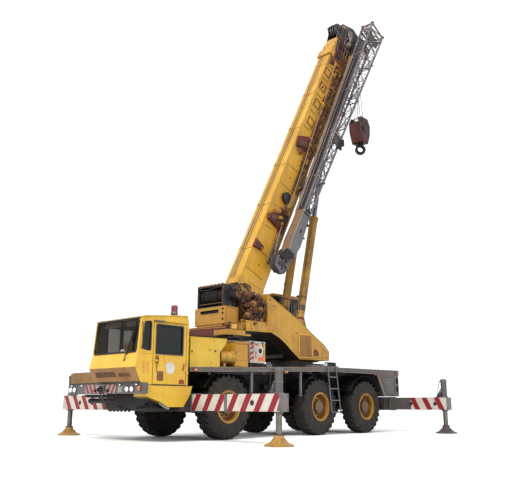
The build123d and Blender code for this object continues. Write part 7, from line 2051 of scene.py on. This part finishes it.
# thin cover along the outer top chord
for a, b in ((3.42, 5.6), (5.7, 7.9), (8.0, 10.0)):
    P.prism([J(a, 1, .030, .040), J(b, 1, .030, .040), J(b, 1, .030, .072), J(a, 1, .030, .072)], (0, .006, 0), "jib_grey", .002)
# bead welds and gussets at each frame, extra lacing that makes the panels dense
step = (JA1 - JA0) / 11
for n in range(12):
    a = JA0 + n * step
    for k in range(4):
        c = J(a, k)
        P.cyl(c - Vector((.045, 0, 0)), c + Vector((.045, 0, 0)), .0375, "jib_grey", 14)
for n in range(22):
    a = JA0 + n * step / 2
    b = min(a + step / 2, JA1)
    for k, kk in ((1, 2), (2, 3), (0, 3), (0, 1)):
        p, q = (k, kk) if n % 2 else (kk, k)
        P.cyl(J(a, p), J(b, q), .0105, "jib_grey" if k != 0 else "jib_dark", 8)
        if n % 2 == 0:
            P.cyl(J(a, k), J(a, kk), .0105, "jib_grey", 8)
# forestays and pendants lying along the jib, bundle of rods strapped inside it
for k, (du, dv) in enumerate(((-.10, .10), (-.15, .16), (-.08, .20), (-.19, .08))):
    P.hose([J(3.6, 1, du, dv), J(6.0, 1, du * 1.1, dv + .02), J(8.4, 1, du, dv + .05), J(10.9, 1, du * .8, dv + .07)], .013, ("jib_dark", "worn_steel", "jib_grey", "jib_dark")[k], 8, 3)
for a in (4.6, 6.4, 8.2, 10.0):
    q = jib_at(a)
    P.frame([(a, q[1][0] + .05, q[1][1] - .04), (a, q[0][0] - .045, q[0][1] - .04), (a, q[3][0] - .045, q[3][1] + .045), (a, q[2][0] + .05, q[2][1] + .045)],
            [(a, q[1][0] + .036, q[1][1] - .026), (a, q[0][0] - .032, q[0][1] - .026), (a, q[3][0] - .032, q[3][1] + .032), (a, q[2][0] + .036, q[2][1] + .032)], (.045, 0, 0), "jib_grey")
# dark bracket standing off the outer lower edge, and its stops
a = 6.30
q = jib_at(a)
P.prism([(a - .28, q[2][0], q[2][1] - .10), (a + .20, q[2][0], q[2][1] - .10), (a + .16, q[2][0], q[2][1] + .12), (a + .02, q[2][0], q[2][1] + .19), (a - .10, q[2][0], q[2][1] + .10), (a - .20, q[2][0], q[2][1] + .14)], (0, .05, 0), "shade_and_print_black", .008)
P.prism([(a - .24, q[1][0] + .01, q[1][1] + .12), (a + .24, q[1][0] + .01, q[1][1] + .10), (a + .16, q[1][0] + .01, q[2][1] + .02), (a - .20, q[1][0] + .01, q[2][1])], (0, .024, 0), "jib_dark", .006)
for k in range(3):
    P.cyl((a - .12 + .12 * k, q[2][0] + .02, q[2][1] + .04), (a - .12 + .12 * k, q[2][0] + .085, q[2][1] + .04), .028, "shade_and_print_black", 14)
# base plate: slot with its rim, bolts, folded lip, dark end and shackle
y = .740
P.frame([(u, y, v) for u, v in round_rect(2.72, .955, .19, .105, .04)], [(u, y, v) for u, v in round_rect(2.72, .955, .15, .070, .03)], (0, .008, 0), "jib_grey")
P.prism([(u, y, v) for u, v in round_rect(2.72, .955, .152, .072, .03)], (0, .003, 0), "shade_and_print_black", .001)
P.prism([(1.92, y, .772), (2.30, y, .738), (3.37, y, .795), (3.37, y, .835), (2.30, y, .778), (1.92, y, .812)], (0, .014, 0), "jib_pale", .004)
P.prism([(1.95, .47, .774), (3.37, .47, .794), (3.37, .47, .780), (1.95, .47, .760)], (0, .26, 0), "tan_plate", .003)
P.bolts([(2.0, y, .86), (2.0, y, 1.0), (2.35, y, 1.06), (3.2, y, .88), (3.2, y, 1.04), (2.95, y, .88), (2.42, y, .84)], (0, 1, 0), .013, .012)
P.prism([(3.30, y, .80), (3.50, y, .86), (3.48, y, 1.02), (3.36, y, 1.10), (3.30, y, 1.06)], (0, .020, 0), "shade_and_print_black", .006)
P.cyl((3.05, .725, 1.13), (3.05, .765, 1.13), .035, "shade_and_print_black", 16)
P.cyl((2.62, .725, 1.155), (2.62, .765, 1.155), .025, "shade_and_print_black", 16)
# sheave head: grooved wheel, hub, keeper, dark guard over the port cheek
c = (1.50, .79)
P.lathe([(.246, -.043), (.258, -.036), (.258, -.024), (.236, -.008), (.236, .008), (.258, .024), (.258, .036), (.246, .043)], (c[0], .605, c[1]), (0, 1, 0), "jib_dark", 52, closed=True)
P.lathe([(.10, 0), (.10, .014), (.085, .026), (.04, .028), (.04, .036), (0, .037)], (c[0], .710, c[1]), (0, 1, 0), "jib_dark", 32)
P.ring_of((c[0], .722, c[1]), (0, 1, 0), .088, 6, .012)
P.ring_of((c[0], .710, c[1]), (0, 1, 0), .16, 8, .012, .010, "shade_and_print_black")
for k in range(5):
    q = .5 + 2 * pi * k / 5
    P.cyl((c[0] + .145 * cos(q), .704, c[1] + .145 * sin(q)), (c[0] + .145 * cos(q), .7135, c[1] + .145 * sin(q)), .040, "shade_and_print_black", 18)
P.prism([(1.62, .71, .53), (1.98, .71, .72), (1.98, .71, 1.02), (1.84, .71, 1.04), (1.70, .71, .86), (1.60, .71, .66)], (0, .045, 0), "shade_and_print_black", .010)
for k in range(5):
    P.box(1.66 + k * .065, 1.685 + k * .065, .755, .768, .62 + .03 * k, .96, "jib_dark", .003)
P.prism([(1.56, .71, .52), (1.99, .71, .72), (1.99, .71, .745), (1.56, .71, .548)], (0, .030, 0), "jib_pale", .003)
P.cyl((1.40, .49, .60), (1.40, .72, .60), .022, "worn_steel", 14)
P.cyl((1.62, .49, 1.0), (1.62, .72, 1.0), .022, "worn_steel", 14)
# tip: square frame with cross ties, tan gussets and pulleys, hanging pins
for a in (11.30, 11.54):
    q = jib_at(min(a, JA1))
    for k in range(4):
        u, v = q[k], q[(k + 1) % 4]
        P.cyl((a, u[0], u[1]), (a, v[0], v[1]), .031, "jib_grey", 12)
q = jib_at(JA1)
for k in range(4):
    u, v = q[k], q[(k + 1) % 4]
    P.cyl((11.30, u[0], u[1]), (11.54, v[0], v[1]), .018, "jib_pale", 10)
    P.lathe([(.056, 0), (.056, .02), (.045, .026), (0, .026)], (11.55, u[0], u[1]), (1, 0, 0), "jib_grey", 18)
P.cyl((11.42, q[0][0], q[0][1]), (11.42, q[2][0], q[2][1]), .018, "jib_pale", 10)
P.cyl((11.42, q[1][0], q[1][1]), (11.42, q[3][0], q[3][1]), .018, "jib_dark", 10)
P.prism([(10.78, q[1][0] - .02, q[1][1] + .02), (11.20, q[1][0] - .02, q[1][1] + .02), (11.10, q[1][0] - .02, q[2][1] - .06), (10.80, q[1][0] - .02, q[2][1] - .12)], (0, .022, 0), "jib_dark", .005)
P.prism([(10.60, q[0][0], q[0][1] + .03), (11.05, q[0][0], q[0][1] + .03), (11.05, q[0][0], q[3][1] - .04), (10.70, q[0][0], q[3][1] - .08)], (0, .022, 0), "jib_dark", .005)
P.done()

# ============================================================ hook block and falls ===
LSX, LSZ = (TOP0 + U_ * 11.15 + N_ * 1.0).x, (TOP0 + U_ * 11.15 + N_ * 1.0).z
HX, BZ = LSX - .195, 9.64
P = Piece("hook_block_trim", "hook_block")
CH = [(-.19, .45), (.19, .45), (.32, .24), (.30, -.08), (.17, -.44), (-.17, -.44), (-.30, -.08), (-.32, .24)]
for s, y in ((-1, -.190), (1, .200)):
    P.hose([(HX + a, y, BZ + b) for a, b in CH + CH[:1]], .0075, "maroon", 8, smooth=False)
    P.lathe([(.105, 0), (.105, .02), (.085, .032), (.04, .033), (.04, .042), (0, .043)], (HX, y, BZ + .08), (0, s, 0), "maroon", 32)
    P.ring_of((HX, y + s * .020, BZ + .08), (0, s, 0), .09, 6, .011)
    P.prism([(HX - .13, y, BZ - .14), (HX + .13, y, BZ - .14), (HX + .10, y, BZ - .38), (HX - .10, y, BZ - .38)], (0, s * .012, 0), "red_brown", .004)
    P.bolts([(HX + a, y + s * .012, BZ + b) for a, b in ((-.09, -.18), (.09, -.18), (-.07, -.34), (.07, -.34))], (0, s, 0), .014)
    P.bolts([(HX + a, y, BZ + b) for a, b in ((-.25, .18), (.25, .18), (-.24, -.04), (.24, -.04), (0, .37))], (0, s, 0), .014)
    P.prism([(HX - .19, y, BZ + .28), (HX + .19, y, BZ + .28), (HX + .15, y, BZ + .40), (HX - .15, y, BZ + .40)], (0, s * .010, 0), "maroon", .004)
# rims of its sheaves, rope guards and the dead end lug on top
for y in (-.103, 0.0, .103):
    P.lathe([(.286, -.021), (.294, -.018), (.294, -.010), (.276, -.003), (.276, .003), (.294, .010), (.294, .018), (.286, .021)], (HX, y, BZ + .08), (0, 1, 0), "maroon", 48, closed=True)
for a, b in ((.17, .42), (-.17, .42), (.285, .16), (-.285, .16), (.27, -.06), (-.27, -.06), (.16, -.40), (-.16, -.40)):
    P.cyl((HX + a, -.165, BZ + b), (HX + a, .175, BZ + b), .016, "worn_steel", 12)
P.prism([(HX - .31, -.158, BZ + .22), (HX - .285, -.158, BZ - .07), (HX - .16, -.158, BZ - .42), (HX - .18, -.158, BZ - .425), (HX - .305, -.158, BZ - .075), (HX - .33, -.158, BZ + .225)], (0, .326, 0), "red_brown", .003)
P.prism([(HX + .31, -.158, BZ + .22), (HX + .285, -.158, BZ - .07), (HX + .16, -.158, BZ - .42), (HX + .18, -.158, BZ - .425), (HX + .305, -.158, BZ - .075), (HX + .33, -.158, BZ + .225)], (0, .326, 0), "red_brown", .003)
P.prism([(HX - .05, -.012, BZ + .36), (HX + .05, -.012, BZ + .36), (HX + .04, -.012, BZ + .55), (HX - .04, -.012, BZ + .55)], (0, .034, 0), "shade_and_print_black", .006)
P.cyl((HX, -.04, BZ + .51), (HX, .05, BZ + .51), .024, "worn_steel", 14)
P.lathe([(.10, 0), (.10, .02), (.075, .03), (.040, .032)], (HX, .005, BZ - .44), (0, 0, -1), "black_iron", 32)
P.done()

P = Piece("hook_latch", "hook")
HT = Matrix.Translation((HX, .005, 0)) @ Matrix.Rotation(radians(-47), 4, "Z") @ Matrix.Translation((-HX, -.005, 0))
EZ = BZ - .64
P.at(HT)
# rounded section laid over the ring's rim, latch across its mouth, nut under the shank
for yy in (-.032, .042):
    pts = []
    for k in range(31):
        t = radians(40 - 320 * k / 30 - 8)
        pts.append((HX + cos(t) * .1315, yy, EZ + sin(t) * .1315))
    P.hose(pts, .0405, "black_iron", 12, 1, smooth=False)
P.prism([(HX + .055, -.012, EZ + .135), (HX + .085, -.012, EZ + .140), (HX + .152, -.012, EZ + .012), (HX + .128, -.012, EZ + .004)], (0, .034, 0), "black_iron", .004)
P.cyl((HX + .07, -.03, EZ + .135), (HX + .07, .04, EZ + .135), .017, "worn_steel", 12)
P.lathe([(.0362, -.075), (.060, -.075), (.064, -.068), (.064, -.012), (.060, -.006), (.0362, -.006)], (HX, .005, BZ - .44), (0, 0, 1), "black_iron", 28, closed=True)
P.done()

# falls between the head's low sheaves and the block: four parts of line
z_top, z_bot = LSZ - .01, BZ + .09
ROPES = (("a", LSX - .196, -.14, HX - .290, -.103), ("b", LSX - .196, -.045, HX - .288, .0), ("c", LSX - .196, .05, HX + .288, .0), ("d", LSX - .196, .14, HX + .290, .103))
for nm, x0, y0, x1, y1 in ROPES:
    P = Piece("fall_" + nm, None)
    n = 24
    p0, p1 = Vector((x0, y0, z_top)), Vector((x1, y1, z_bot))
    P.hose([p0.lerp(p1, k / n) for k in range(n + 1)], .0105, "rope_wire", 8, smooth=False)
    P.rope_done()
P = Piece("low_sheave_rims", "low_sheaves")
for y in (-.14, -.045, .05, .14):
    P.lathe([(.201, -.0195), (.2055, -.017), (.2055, -.010), (.194, -.003), (.194, .003), (.2055, .010), (.2055, .017), (.201, .0195)], (LSX, y, LSZ), (0, 1, 0), "black_iron", 44, closed=True)
P.done()

# rope from the winch drum up to the first roller on the boom
P = Piece("winch_lead", None)
p0 = Vector((.30, .02, 3.50))
p1 = BOOM @ Vector((2.40, .02, -.103))
P.hose([p0.lerp(p1, k / 10) for k in range(11)], .0085, "rope_wire", 8, smooth=False)
P.rope_done()

# ============================================================ stage ==============
def stage():
    me = bpy.data.meshes.new("floor")
    R = 400.0
    me.from_pydata([(-R, -R, 0), (R, -R, 0), (R, R, 0), (-R, R, 0)], [], [(0, 1, 2, 3)])
    o = bpy.data.objects.new("floor", me)
    o.location.z = CAD_BOX[0][2] - .002 if hasattr(CAD_BOX[0], "__len__") else -.002
    bpy.context.scene.collection.objects.link(o)
    m = Nodes("floor_pale")
    col = m.mix(m.ramp(m.noise(.25, 3), .4, .6), c4((.93, .93, .93)), c4((.91, .91, .91)))
    m.link(col, m.bsdf.inputs["Base Color"])
    m.bsdf.inputs["Roughness"].default_value = .9
    o.data.materials.append(m.mat)
    w = bpy.data.worlds.new("studio")
    bpy.context.scene.world = w
    w.use_nodes = True
    bg = w.node_tree.nodes["Background"]
    bg.inputs[0].default_value = (1.0, 1.0, 1.0, 1)
    bg.inputs[1].default_value = 1.0

    def area(name, at, look, size, power, col=(1, 1, 1)):
        l = bpy.data.lights.new(name, "AREA")
        l.shape, l.size, l.energy, l.color = "DISK", size, power, col
        ob = bpy.data.objects.new(name, l)
        ob.location = at
        ob.rotation_euler = (Vector(look) - Vector(at)).to_track_quat("-Z", "Y").to_euler()
        bpy.context.scene.collection.objects.link(ob)
        return ob
    area("key", (26, 10, 26), (0, 0, 4), 9, 8200, (1, .95, .86))
    area("fill", (8, 26, 9), (0, 0, 4), 16, 1100, (1, .97, .92))
    sc = bpy.context.scene
    sc.view_settings.view_transform = "Standard"
    sc.view_settings.look = "Medium High Contrast"
    sc.view_settings.exposure = 0


stage()

# ============================================================ camera =============
CAM = dict(pos=(11.686, 11.819, .741), yaw=223.13, pitch=13.651, roll=.167, lens=46.68)
cam = bpy.data.cameras.new("photo_view")
cam.lens, cam.sensor_width, cam.sensor_fit = CAM["lens"], 36.0, "HORIZONTAL"
cam.clip_end = 500
co = bpy.data.objects.new("photo_view", cam)
yaw, pit, rol = radians(CAM["yaw"]), radians(CAM["pitch"]), radians(CAM["roll"])
fwd = Vector((cos(yaw) * cos(pit), sin(yaw) * cos(pit), sin(pit)))
right = fwd.cross(Vector((0, 0, 1))).normalized()
up = right.cross(fwd)
r2 = right * cos(rol) + up * sin(rol)
u2 = up * cos(rol) - right * sin(rol)
rot = Matrix((r2, u2, -fwd)).transposed()
co.matrix_world = Matrix.Translation(Vector(CAM["pos"]) + OFF) @ rot.to_4x4()
bpy.context.scene.collection.objects.link(co)
bpy.context.scene.camera = co
